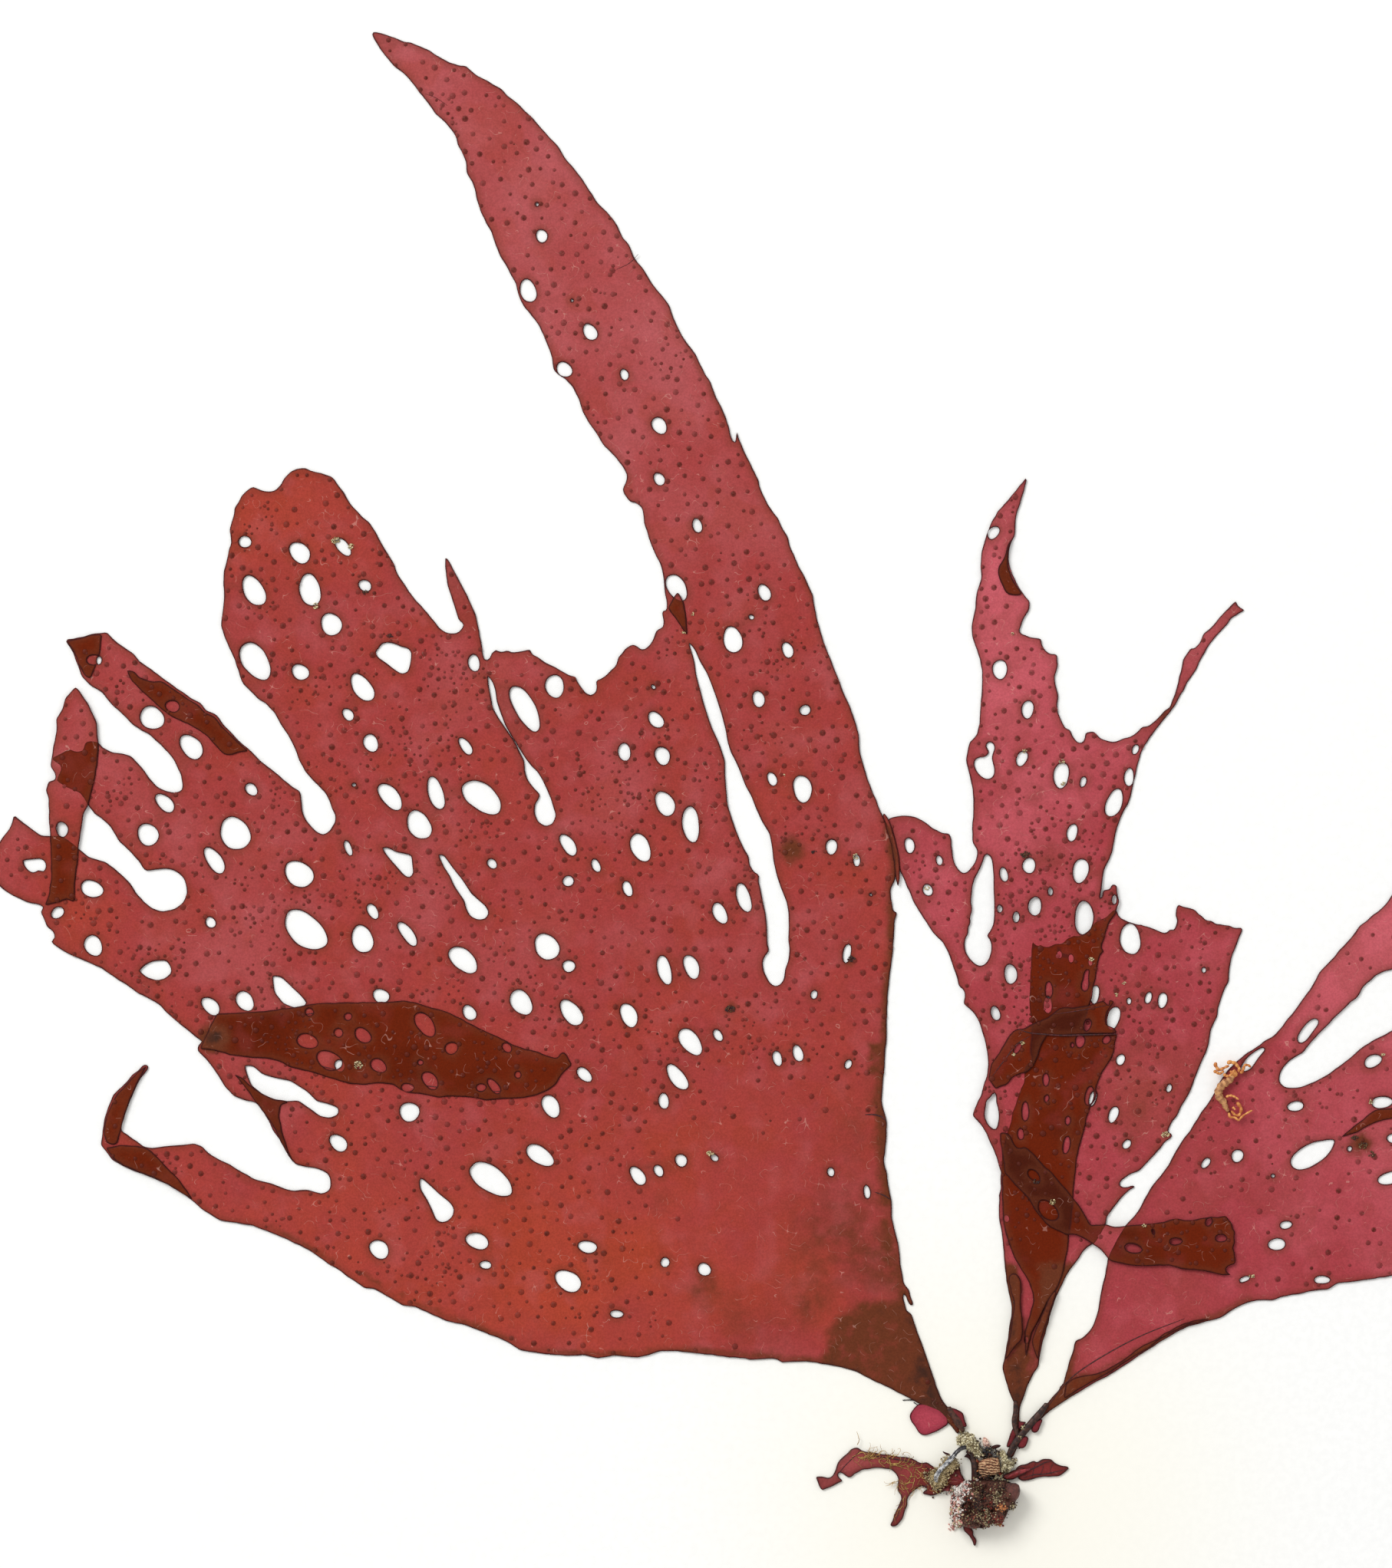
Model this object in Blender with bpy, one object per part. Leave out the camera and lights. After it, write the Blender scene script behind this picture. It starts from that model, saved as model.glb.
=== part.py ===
"""Perforated red seaweed, pressed flat: three holed fronds on their stipes, with the sandy holdfast they grow from.

The plant lies on its underside in the XY plane. The origin is under the middle of the holdfast, +Y runs up the plant
and +Z comes up off the surface it lies on. Outlines are in millimetres and the finished meshes are in metres.
"""

import math

import bmesh
import bpy
from mathutils import Matrix, Vector, noise

# Driving dimensions, in millimetres unless a name says otherwise.
UNITS_PER_MM = 0.001
BLADE_THICKNESS = 0.6
LAYER_STEP = 0.5
THIRD_LAYER = 2 * LAYER_STEP
OUTLINE_TOLERANCE = 0.13
HOLDFAST_HEIGHT = 5.5
LEFT_SAND_HEIGHT = 2.2
RIGHT_SAND_HEIGHT = 2.6
PLATE_HEIGHT = 2.0
CHIP_HEIGHT = 0.9
CRUST_BASE = 0.9
CRUST_HEIGHT = 1.0
STALK_THICKNESS = 0.9
SHRIMP_LEVEL = 1.35

# The front blade of the middle frond climbs onto the back blade between these lines and lies flat beyond them.
CLIMB_LEFT = (-5.0, 0.0)
CLIMB_TOP = (93.0, 99.0)


def pairs(text):
    """Returns the (x, y) points written in text as numbers in turn."""
    numbers = [float(word) for word in text.split()]
    return tuple(zip(numbers[0::2], numbers[1::2]))

# Outlines, holes and folds, in millimetres from the holdfast's centre, x to the right and y up the plant.

LEFT_OUTLINE = pairs("""
-4.2 10.4  -4.9 11.4  -5.4 12  -6.2 12.6  -7.6 13.6  -9 14.5  -11.4 15.9  -13.2 16.8  -15 17.8  -16.9 18.6
-18.5 19.4  -19.8 20.2  -22 20.8  -24.6 21.3  -27.2 21.7  -29.7 21.7  -31.5 21.5  -32 22  -32.9 22.2  -34.9 22.1
-36.5 21.9  -37.1 22.2  -39.7 22.4  -42.6 22.8  -44.5 23  -47.1 23.3  -49.9 23.4  -52.2 22.7  -53.8 22.3
-57.3 22.7  -59.9 22.2  -62.1 22.7  -64.6 22.6  -68.1 22.8  -70.1 23.2  -72 23.5  -73.4 24.4  -74.9 25.2
-76.8 25.9  -78.7 26.7  -80.6 27.4  -83.2 27.9  -85.1 28.8  -86.7 29.5  -88.3 30.2  -90.3 30.4  -91.9 31.5
-93.5 32.4  -94.7 33  -96 33.1  -97.6 34.2  -98.9 35  -99.9 35.9  -101.6 36.8  -103.1 37.9  -105 39.2
-107.6 40.4  -111.1 42  -113.4 42.8  -118.5 43.6  -121.2 45.3  -122.6 46.5  -124 47.6  -126.5 49.2  -128.8 50.1
-131 51  -133.5 52  -135.2 53  -136.2 54.4  -137 55.3  -136.7 57  -136.5 58.8  -136.2 60  -135.6 61.5
-135 63.1  -134 64  -133 65  -132 66.3  -131 67  -130.3 67.8  -129.5 67.7  -129.5 67.2  -131 65.2  -132 63
-133 60.5  -133.6 58.5  -133.8 57.5  -132.5 56.7  -131.5 55.9  -130.2 55  -129 54.8  -127 55.1  -125 55.3
-122.5 55.5  -121.2 55  -120 53.9  -118.3 52.9  -116.5 52  -115 51  -113 50  -110.5 49.3  -108.5 48.5  -107 48.2
-105 48.4  -103.6 47.9  -102.6 47.7  -101.6 48.2  -101.3 49  -101.4 50.1  -101.8 50.9  -102.6 51.3  -103.7 51.7
-105 51.9  -106.8 52.3  -107.8 53.5  -108.3 54.8  -109 55.8  -110.2 57.4  -110.7 58.7  -111.8 60.5  -112.8 61.8
-113.3 62  -115 62.3  -116.5 63  -117.8 64.4  -118.8 66.2  -120 67.8  -121 69  -122 70  -121.8 70.8  -121.1 71.3
-122 71.9  -123.5 73.1  -125 74.3  -126.5 75.6  -127.8 77  -129 77.7  -131 78.7  -132.8 80  -134.5 81.1
-137 82.8  -139.5 83.9  -142 85  -144 86.2  -144.7 86.8  -144 87.5  -144.3 88.4  -145.3 89.2  -145.6 90.1
-146.3 91.4  -145.7 92.2  -146.6 92.6  -148.4 92.9  -150.5 93.9  -152.2 95  -153.6 96.5  -154.2 98.5
-153.6 100.5  -152.5 102.5  -151.3 104  -150.8 105  -150.4 106.5  -149 105.3  -147.5 104.2  -146.2 103.3
-144.7 103.2  -143.2 103.2  -142 102.6  -140.3 101.2  -138.8 99.9  -136.2 99.2  -134 97.5  -132.5 96
-131.3 94.2  -130.2 92.9  -129 92  -127.3 91.5  -125.5 91.9  -124.2 92.9  -123.6 94.3  -123.7 95.5  -124 96.5
-124.9 97.5  -126 98  -127.4 98.1  -128.6 98  -129.8 97.8  -130.2 98  -130.9 99.2  -132.2 100.6  -134 102.3
-134.9 103.7  -135.7 105  -137 106.1  -138 106.7  -138.8 107.9  -140 109.8  -142.3 110.8  -143.8 111.8
-143.2 113  -143 114  -144.6 115.2  -143.2 115.9  -141.8 116.7  -140.8 116.2  -139.6 116.4  -139.3 117.8
-138.3 117.9  -137.2 117.7  -136.8 117  -135.2 116.2  -133.5 116  -132.3 115.6  -130.5 113.8  -129.5 112.3
-128.5 111  -127 110.2  -125.5 109.9  -124.4 110.2  -124.2 111  -124.6 112.8  -125.6 115  -127.3 117
-129.5 119  -131.7 120.2  -133.5 122  -135 123.4  -136.8 125.5  -138.5 126.5  -140 128  -140.5 129.5
-141.2 131.5  -142.4 133.6  -140 134  -138.5 134.5  -136 134.8  -135 133.8  -134 132.9  -131.8 131.4
-131 130.3  -129 129  -127.3 127.6  -125 126  -123 124.6  -121.5 123.9  -120.6 122.6  -119 122  -118 120.5
-116.5 119  -115.4 117.8  -113.8 116.5  -112 114.6  -110 113.2  -108 111.4  -106 110.1  -105.8 108.5
-105.7 107  -105 105.4  -103.6 103.9  -102.4 103.4  -101.5 104  -100.7 105.3  -100.5 106.3  -101.2 107.6
-101.5 108.7  -102.1 109.8  -103.1 110.9  -104 111.8  -105 112.8  -106 114.5  -107 117  -108 119  -109 120.5
-110 122.2  -111.2 123.6  -112.5 124.4  -114 125.9  -114.9 126.7  -115.5 128.3  -116.2 130.5  -117 132.3
-117.8 134.2  -118.3 135.7  -118.1 137.5  -117.9 139.8  -117.9 142  -117.9 144.3  -117.5 145.5  -117.2 147
-116.7 148.6  -116.8 150.1  -117 150.9  -116.6 152  -116.2 153.2  -116.2 154  -115.5 155.1  -115.2 155.9
-114.3 156.7  -113.4 157.4  -112.7 157  -111.7 156.6  -110.6 156.5  -109.8 156.8  -109 157.7  -108.3 158.9
-107.6 159.6  -106.5 160.1  -105.2 160.2  -104.5 159.8  -103.3 159.6  -102.2 159.2  -101.2 158.9  -100.2 157.7
-99.4 156.6  -98.6 155.2  -97.6 153.9  -96.4 152.6  -95.2 151.7  -94.4 150.3  -93.4 148.5  -92.3 146.7
-91.5 145.3  -91.1 144.1  -90.4 142.9  -89.5 141.6  -88.6 140.3  -87.6 139.2  -86.4 137.8  -85.3 136.6
-84.6 135.6  -83.8 134.9  -82.9 134.55  -82.1 134.6  -81.4 134.8  -80.9 135.4  -80.7 136  -81.1 136.4
-81.5 136.6  -81.8 137.7  -82.2 139  -82.7 140.5  -83.2 142.1  -83.5 143.8  -83.6 145.2  -83.6 146.5
-83.3 146.3  -82.6 145.1  -81.7 143.5  -80.5 141.2  -79.6 139.2  -78.8 137.3  -78.5 135.7  -78 133.5
-77.7 131.4  -77.5 130.5  -76.9 130.5  -76.5 131  -76.4 131.6  -75.9 131.8  -75.8 132.2  -75.3 131.8
-74.6 131.7  -73.9 132  -73.3 131.6  -71.2 131.9  -70.3 132.2  -70.2 131.4  -69.3 131  -68 130.1  -66.3 129.3
-64.8 128.3  -63.8 127.9  -63.4 128  -63.2 127.3  -62.6 126.4  -61.9 125.4  -61 124.9  -60.2 125.6
-60.1 126.4  -60.2 127.4  -59.7 127.4  -58.7 128  -58.1 128.8  -57.1 129.6  -56.8 131  -56.3 131.4
-55.7 132.2  -54.6 132.9  -53.9 132.7  -53.3 132.1  -52.6 132.1  -51.8 132.8  -51.2 133.8  -50.9 135
-50.4 135.2  -49.8 135.5  -49.7 136.4  -49.9 137.2  -50 138.1  -49.2 138.1  -49.2 139.6  -49.5 140.8
-49.7 143.1  -50.1 145  -50.9 146.6  -51.7 148.5  -52.2 150.1  -52.8 151.7  -52.8 153  -53.1 154.1
-53.9 154.9  -54.9 155  -55.9 156.2  -56.1 157  -55.6 158  -55.4 159.1  -56 160.4  -57.3 162.1  -59.1 163.8
-59.7 165  -61.2 167.1  -62.3 169  -62.9 171  -63.9 172.9  -65 174.1  -66 174.6  -66.8 175.4  -67 177.2
-67.5 178.8  -68.3 180.6  -69.2 182.6  -70.3 184  -71.4 185.3  -71.9 186.2  -72.3 187.3  -72.6 188.8
-73.3 190  -74.2 191.8  -75 193  -75.9 195  -76.3 196.6  -77.3 198.3  -78.1 200.1  -78.7 201.9  -78.9 203.1
-79.4 204.6  -80.2 206  -80.3 207.6  -81 209.2  -81.7 210.4  -81.9 211.5  -82.6 212.6  -83.7 214  -85.1 215.1
-86.1 216.6  -87.1 217.9  -88.2 219.3  -89.1 220.4  -90.1 221.5  -91.2 222.2  -92.5 223.7  -93.8 225.4
-94.6 226.7  -95 227.6  -94.7 227.9  -93.5 227.7  -92.2 227.2  -90.9 226.8  -89.9 226.3  -88.8 226.2
-87.7 225.7  -86.1 225  -84.8 224.1  -83.2 223.3  -81.4 222.6  -80.3 222.6  -79.7 221.9  -78.6 221
-77 220.3  -76.2 219.7  -74.9 219  -73.9 217.9  -72.3 216.8  -71.2 215.5  -69.9 214.4  -68.5 212.7
-67.2 211.3  -65.9 209.9  -65.1 208.4  -63.7 206.8  -62.4 205.1  -61.1 203.1  -60 201.3  -58.4 199.8
-56.9 197.9  -56.1 195.9  -55.2 195  -54.3 192.8  -52.8 191  -51.5 188.8  -50.3 187.3  -48.8 185.4
-48.3 183.8  -47.5 181.9  -46.2 179.8  -44.8 178  -43.5 175.1  -42.4 173.5  -41.8 171.6  -40.8 169.7
-40 167.9  -39.7 166.8  -39.4 165.4  -38.9 164.2  -38.6 164.1  -38.4 166  -38.1 164.9  -37.1 162.6
-36 160.4  -35 158.3  -34.7 156.9  -33.6 154.6  -32 152.4  -31.5 151.1  -30.4 149.5  -30.1 147.9
-28.8 145  -27.8 143.1  -26.7 140.8  -26.4 139.2  -25.9 136.7  -25.1 133.8  -24.1 131.2  -23.3 129.3
-22.5 127.1  -21.7 125.1  -20.6 122.6  -19.9 120.5  -19.5 119  -19.4 116.8  -18.9 114.5  -18.2 112.3
-17.4 110.2  -16.6 108.2  -15.8 106.2  -15 104.8  -14.5 103.4  -14.1 101.8  -13.8 100.2  -13.7 98.5
-13.8 96.9  -14 96.1  -14.5 95.2  -14.4 93  -14.2 91.5  -13.5 91.4  -13.9 90  -14 88  -14.2 85  -14.5 82.5
-14.8 80.5  -15 78  -15.1 75  -15.2 72  -15.4 68  -15.7 65  -15.9 62  -15.7 61  -15.2 59.2  -15.1 57
-15.3 55  -15.6 53  -15.5 52  -15 50.8  -15 49.5  -14.7 48  -14.4 46.8  -14.3 44  -13.8 41.5  -13.4 40
-13.1 38  -12.9 36  -12.5 34  -12.1 33.3  -11.7 33  -11.4 31.6  -10.9 30.5  -11.4 30.3  -11.9 31  -12.4 32.3
-12.6 32.2  -12.4 30.8  -12.1 29.6  -11.3 29.1  -10.9 27.8  -10.3 26  -9.7 24.6  -9 22.5  -8.2 20.3
-7.4 17.8  -6.8 16.3  -6.3 15.4  -5.8 14.8  -5.2 14.1  -4.6 13.2  -4.1 12.3  -3.5 11.3""")

LEFT_OVALS = (
    (-113.2, 141.2, 5.2, 2.9, 117), (-113, 130.3, 6.2, 3.9, 120), (-106, 128.6, 2.9, 2.2, 140),
    (-129, 121.5, 3.7, 3.5, 150), (-122.9, 117, 4.2, 2.9, 125), (-113.6, 110.4, 2.2, 1.6, 140),
    (-127, 108.3, 3.6, 2, 140), (-129.6, 103.4, 3.6, 3, 135), (-116.1, 103.6, 5.4, 4.2, 130),
    (-119.3, 99.4, 4.6, 2.2, 122), (-106.2, 97.3, 4.9, 3.5, 150), (-138.3, 95, 3.6, 2.4, 155),
    (-138.1, 86.2, 3.2, 2.7, 110), (-119.9, 89.8, 1.8, 1.5, 130), (-119.9, 76.8, 3.3, 2.1, 140),
    (-105.2, 88.6, 8, 4.4, 137), (-114.6, 148.8, 1.9, 1.9, 0), (-106.1, 147.1, 3.8, 2.6, 130),
    (-104.5, 141.3, 5.1, 3.1, 107), (-99.4, 148, 3.2, 1.7, 130), (-96, 142, 2.1, 1.7, 140),
    (-101.2, 136, 3.4, 3.2, 120), (-96.4, 126.2, 5, 2.6, 130), (-98.6, 122, 2.1, 1.5, 125),
    (-95.1, 117.6, 2.8, 2.2, 105), (-92.1, 109.3, 4.8, 2.6, 133), (-85, 109.8, 5.1, 2.3, 108),
    (-87.6, 104.9, 4.6, 3.4, 128), (-77.9, 109.2, 6.6, 4.1, 142), (-79.1, 130, 2.8, 1.7, 95),
    (-80.4, 117.1, 3.1, 1.4, 128), (-71.2, 123, 8.2, 2.9, 120), (-66.6, 126.4, 3.7, 2.7, 95),
    (-98.6, 101.3, 2.6, 1, 110), (-76.3, 98.9, 1.8, 1.3, 125), (-64.5, 101.8, 3.7, 1.9, 122),
    (-64.5, 96.2, 1.7, 1.7, 0), (-60.2, 98.6, 2.3, 1.2, 112), (-55.3, 95, 2.5, 1.4, 112),
    (-96.4, 87.2, 4.4, 3.1, 115), (-94.8, 91.5, 2.6, 1.5, 123), (-89.4, 88, 4.4, 1.7, 128),
    (-80.8, 84, 5.2, 3, 135), (-67.8, 86, 4.2, 3.5, 140), (-64.4, 83, 1.9, 1.9, 0),
    (-71.8, 77.4, 4.2, 3, 118), (-64, 75.8, 4.8, 2.5, 130), (-99.9, 67.6, 2, 1.5, 110),
    (-89.1, 60.4, 3.2, 2.8, 0), (-67.2, 61.3, 3.6, 2.5, 115), (-100.1, 55.6, 3.1, 2.2, 145),
    (-68.9, 53.7, 4.6, 2.6, 147), (-76.5, 50, 7.8, 3.6, 145), (-78.6, 40.4, 3.6, 2.4, 165),
    (-77.3, 36.7, 2, 1.2, 170), (-93.8, 39.1, 3.2, 2.6, 150), (-61.5, 39.5, 3, 1.8, 175),
    (-64.5, 34.2, 4.2, 3, 145), (-57, 29.1, 2.2, 1.1, 0), (-55.1, 75.4, 4, 2.3, 117),
    (-49.6, 82.4, 4.9, 1.9, 105), (-45.4, 82.9, 3.8, 2.2, 115), (-41, 91.2, 3.4, 2, 118),
    (-37.3, 93.6, 4.6, 2, 110), (-45.6, 71.3, 4.6, 2.8, 127), (-41.3, 72.3, 2.1, 1.2, 118),
    (-47.6, 65.8, 4.8, 2.1, 125), (-49.7, 62.1, 2.6, 1.5, 100), (-32.1, 68.7, 2.4, 1.4, 105),
    (-28.9, 69.5, 2.8, 1.4, 107), (-21.1, 67.8, 1.6, 1, 70), (-21.3, 85, 3, 1.2, 80),
    (-26.4, 78.6, 1.5, 1, 80), (-53.7, 50.5, 3.2, 1.9, 125), (-50.5, 51.3, 2.1, 1.3, 120),
    (-47, 52.9, 2.1, 1.7, 130), (-41.8, 53.3, 1.4, 1, 150), (-23.8, 51.1, 1.5, 1.1, 110),
    (-18.2, 48, 2.4, 0.9, 98), (-49.5, 37.1, 1.5, 1.5, 0), (-43.4, 36, 2.2, 1.8, 150),
    (-34.1, 140.9, 2.7, 1.8, 110), (-36.1, 137.1, 1, 0.7, 150), (-39, 133.6, 4.1, 2.8, 110),
    (-30.5, 132, 2.5, 1.6, 105), (-35, 124.4, 2.6, 1.8, 97), (-27.8, 122.7, 1.7, 1.6, 0),
    (-50.9, 121.2, 2.8, 2, 135), (-55.8, 116.2, 2.9, 1.8, 95), (-49.9, 115.6, 2.8, 2.3, 120),
    (-32.9, 112, 2.2, 1.4, 115), (-28.2, 110.5, 4.3, 2.7, 105), (-49.5, 108.2, 4.2, 2.6, 115),
    (-45.5, 105, 5.4, 2.6, 97), (-53.3, 101.4, 4.7, 2.7, 118), (-23.7, 101.5, 2.5, 1.7, 90),
    (-19.8, 99.4, 2.1, 1, 90), (-70.7, 187.7, 3.5, 2.5, 107), (-61.1, 181.3, 2.8, 1.9, 118),
    (-65.1, 175.5, 2.6, 2.1, 150), (-55.8, 174.7, 1.9, 1.2, 105), (-68.6, 196.2, 2.1, 1.7, 120),
    (-50.4, 166.8, 2.9, 2, 120), (-50.4, 158.5, 2.2, 1.5, 120), (-44.5, 151.3, 2.3, 1.4, 110),
    (-47.7, 141.7, 4.6, 2.6, 118), (-114.6, 77.6, 3.2, 2.5, 130), (-93.5, 78.4, 2.7, 2, 150),
    (-79.8, 75.8, 2.5, 1.9, 120), (-62, 66.2, 2.9, 1.6, 132), (-143.6, 91.3, 2.2, 1.6, 30),
)

LEFT_CUTS = tuple(pairs(text) for text in (
    """-45.8 133.2  -45.5 132.1  -45.1 130.9  -44.9 129.9  -44.7 128.3  -44.1 126  -43.5 123.8  -42.8 121.5
    -42.2 119.9  -41.4 118.2  -40.7 116.4  -40.2 114.8  -40.2 112.8  -40 110.3  -39.8 108  -39.1 105.8
    -38.3 103.5  -37.3 101.3  -36.5 100  -36.4 98.7  -35.7 97.6  -34.9 97.2  -35 96.1  -34.7 95  -34.4 93.4
    -33.9 91.2  -33.7 89.2  -33.6 86.3  -33.3 85.4  -34 84.6  -34.4 83.6  -34.2 82.2  -33.4 80.6  -32.6 79.9
    -31.8 80  -31.1 80.9  -30.9 82.5  -30.4 83.8  -30.2 85.7  -30.4 87.1  -30.3 89.2  -30.4 91.5  -30.7 93.1
    -31.5 95  -32.2 97.1  -32.7 99.3  -32.9 101.3  -33.3 103.5  -34.6 105.6  -35.4 107.4  -36.1 109.3
    -37 110.9  -38 113.5  -38.6 114.8  -39.3 116.1  -39.8 117.7  -40.1 119.6  -40.7 121.9  -41.5 124.4
    -42.2 126.4  -43.1 128.6  -44.1 130.2  -44.9 132.1""",
    """-77 128.1  -76.2 127  -75.8 125.7  -75.6 124.1  -75 122.2  -74.2 120.2  -73.2 118.5  -72.7 117.8
    -71.9 116.4  -70.9 114.9  -70 113.8  -69.3 113.2  -68.5 111.9  -67.9 110.6  -67.2 109  -66.8 107.5
    -66.4 106.4  -66.9 105.1  -68 104.7  -69.2 105.4  -69.7 106.7  -69.6 108.2  -69.2 108.7  -68.8 109.6
    -69.8 110.6  -70.8 111.9  -71.2 113.2  -71.3 114.8  -72 116.2  -72.9 118  -74 119.6  -75.1 121.2
    -76.2 123.1  -76.4 124.4  -76.8 126.3""",
    """-84.6 100.3  -83.8 100.2  -82.4 98.2  -81 96.5  -80 95  -79.6 94.3  -78.8 93.6  -77.3 92.3  -76.8 91.3
    -77.3 90.4  -78.4 90.2  -79.6 90.7  -80.3 91.9  -80.6 93.2  -81.6 94.6  -82.3 95.8  -82.8 97  -83.8 98.5""",
    """-114.6 67.6  -113.3 67.5  -112 66.3  -110 65.7  -107.5 65.2  -105 63.6  -103.5 62.1  -101.5 61.6
    -100.1 61  -100.2 60  -101.5 59.5  -103 59.8  -104.3 60.8  -106.3 62.2  -108 62.1  -110 62.3  -112 63.3
    -113.6 64.6  -114.2 66.2""",
    """-94.4 131.7  -93.8 132.3  -93.4 133  -92.4 133.2  -91.4 133  -90.4 132.5  -89.3 132.3  -88.8 131.6
    -88.9 130.4  -89.1 129.4  -89.4 128.6  -90.3 128.3  -91.4 129  -92.8 130.1  -94.1 131""",
    """-93.3 101.4  -92.3 101.3  -91.2 100.7  -88.8 100.2  -88.7 99  -88.5 97.4  -89.1 96.7  -89.9 97.1
    -91.2 98.6  -92.6 100.2""",
    """-87.4 50.2  -86.9 49.9  -85.8 48.9  -84.5 47.7  -82.9 46.4  -82.2 45.4  -82.4 44.3  -83.2 43.5
    -84.2 43.3  -85 43.8  -85.6 45.3  -86.4 46.9  -87.4 48.5  -87.5 49.6""",
    """-110.3 81.5  -109 81.3  -108 80.4  -106 78.5  -105 77.3  -105.5 76.8  -107 76.6  -108.7 77.3  -110 79""",
    """-131 82.3  -130 83.2  -128.8 83.8  -126.8 83.9  -126.1 82.9  -126 82  -127 81.1  -128.2 80.8  -129.8 81.3""",
    """-149 99.4  -148.7 98.5  -148 97.7  -147.2 97.5  -146.6 98  -145.8 97.6  -145.4 98.4  -145.6 99.3
    -146.3 99.7  -147.2 99.6""",
))

LEFT_FLAPS = tuple(pairs(text) for text in (
    """-140.8 126.3  -142.4 124.6  -142.8 122.9  -143.8 121.3  -143.7 119.6  -144.2 117.5  -144.5 115.2
    -144.7 114  -143.9 112.8  -143.9 111.9  -145 111.6  -145.5 110.3  -145 109  -144.9 105  -144.7 101
    -144.6 97  -145 94  -145.6 92.4  -143.5 92.9  -142.2 93.4  -141 92.9  -140.9 96  -140.5 99  -140.3 102
    -139.8 105.3  -139.5 106.8  -138.8 107.9  -138.2 110.5  -137.5 114  -137.2 117  -137.6 121  -139 123.9
    -140.2 125.6""",
    """-119 75.7  -115 75.8  -110 76.2  -107.5 76.6  -105 77.05  -103.1 77.3  -97 77.4  -92.2 77.5  -89.9 77.7
    -88.3 77.4  -86.4 76.8  -84.5 76.3  -82.6 75.6  -80.6 74.6  -78.7 73.6  -76.8 72.7  -74.9 71.9  -72.9 70.8
    -71 70.2  -69.1 69.7  -67.2 68.9  -66.2 68.7  -65.7 69.5  -65.3 69.8  -64.8 69.4  -64.3 68.4  -63.8 67.8
    -64.6 67.1  -65.7 66  -66.4 64.7  -67.5 63.8  -69.7 62.9  -71.7 62.6  -75.8 62.4  -77.4 62.2  -78.7 62.6
    -82.6 62.9  -84.5 62.6  -87.4 63.3  -89.3 63.4  -90.6 63.9  -91.5 64.6  -93.8 64.9  -96 64.6  -98.6 64.8
    -100.5 65.4  -102.4 66  -105 66.8  -107.5 67.3  -109 68.2  -111 68.7  -114.5 68.9  -117 69.3  -119.3 70
    -121.6 70.2""",
    """-142.2 133.4  -140 133.9  -138.5 134.4  -136.7 134.5  -137 131.5  -137.8 129.2  -138.5 127.6
    -139.3 127.9  -140.3 129.6  -141 131.5""",
    """-132.9 128.9  -132.3 127.4  -131 126  -129 124.2  -127.5 122.8  -125.8 121.6  -123.5 120.6  -121.8 119.6
    -120.3 118.6  -118.8 116.8  -117.8 115.8  -116.8 115.7  -115.8 116.1  -114 116.4  -115.4 117.6
    -116.7 118.8  -118.2 120.3  -119.2 121.7  -120.8 122.4  -121.8 123.5  -123.2 124.3  -125.2 125.7
    -127.5 127.2  -129.3 127.2  -131 127.8  -131.7 128.7""",
    """-129.8 67.6  -131 66.8  -132.3 65.5  -133.4 64.2  -134.5 63.2  -135.3 61.5  -136 60  -136.3 58.6
    -136.5 57  -136 55.6  -134.9 55.3  -134.3 55.6  -133.9 57.4  -133.3 59.5  -132.3 62.4  -131.3 64.8""",
    """-136.2 54.9  -133.5 55.3  -130.2 55  -129 54.3  -127 52.2  -125 50.2  -123.5 48.2  -122.6 46.8
    -124.3 47.7  -126.7 49.3  -129 50.3  -131.2 51.2  -133.6 52.2  -135 53.2""",
))

LENS_OVALS = (
    (-98.6, 75.2, 1.2, 1.2, 0), (-100.1, 72.7, 1.4, 1.4, 0), (-96.3, 72.3, 3, 1.8, 140),
    (-86.7, 74, 4.2, 2.4, 130), (-82.6, 70.3, 2, 1.8, 0), (-74, 70.4, 1.8, 1.2, 140),
    (-101.5, 68.4, 4.2, 2.6, 150), (-93.9, 67.6, 2.6, 1.9, 150), (-85.9, 65.3, 3, 2, 130),
    (-76, 64.4, 2.8, 1.3, 130), (-104.9, 71.4, 3.2, 2.2, 160),
)

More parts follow.
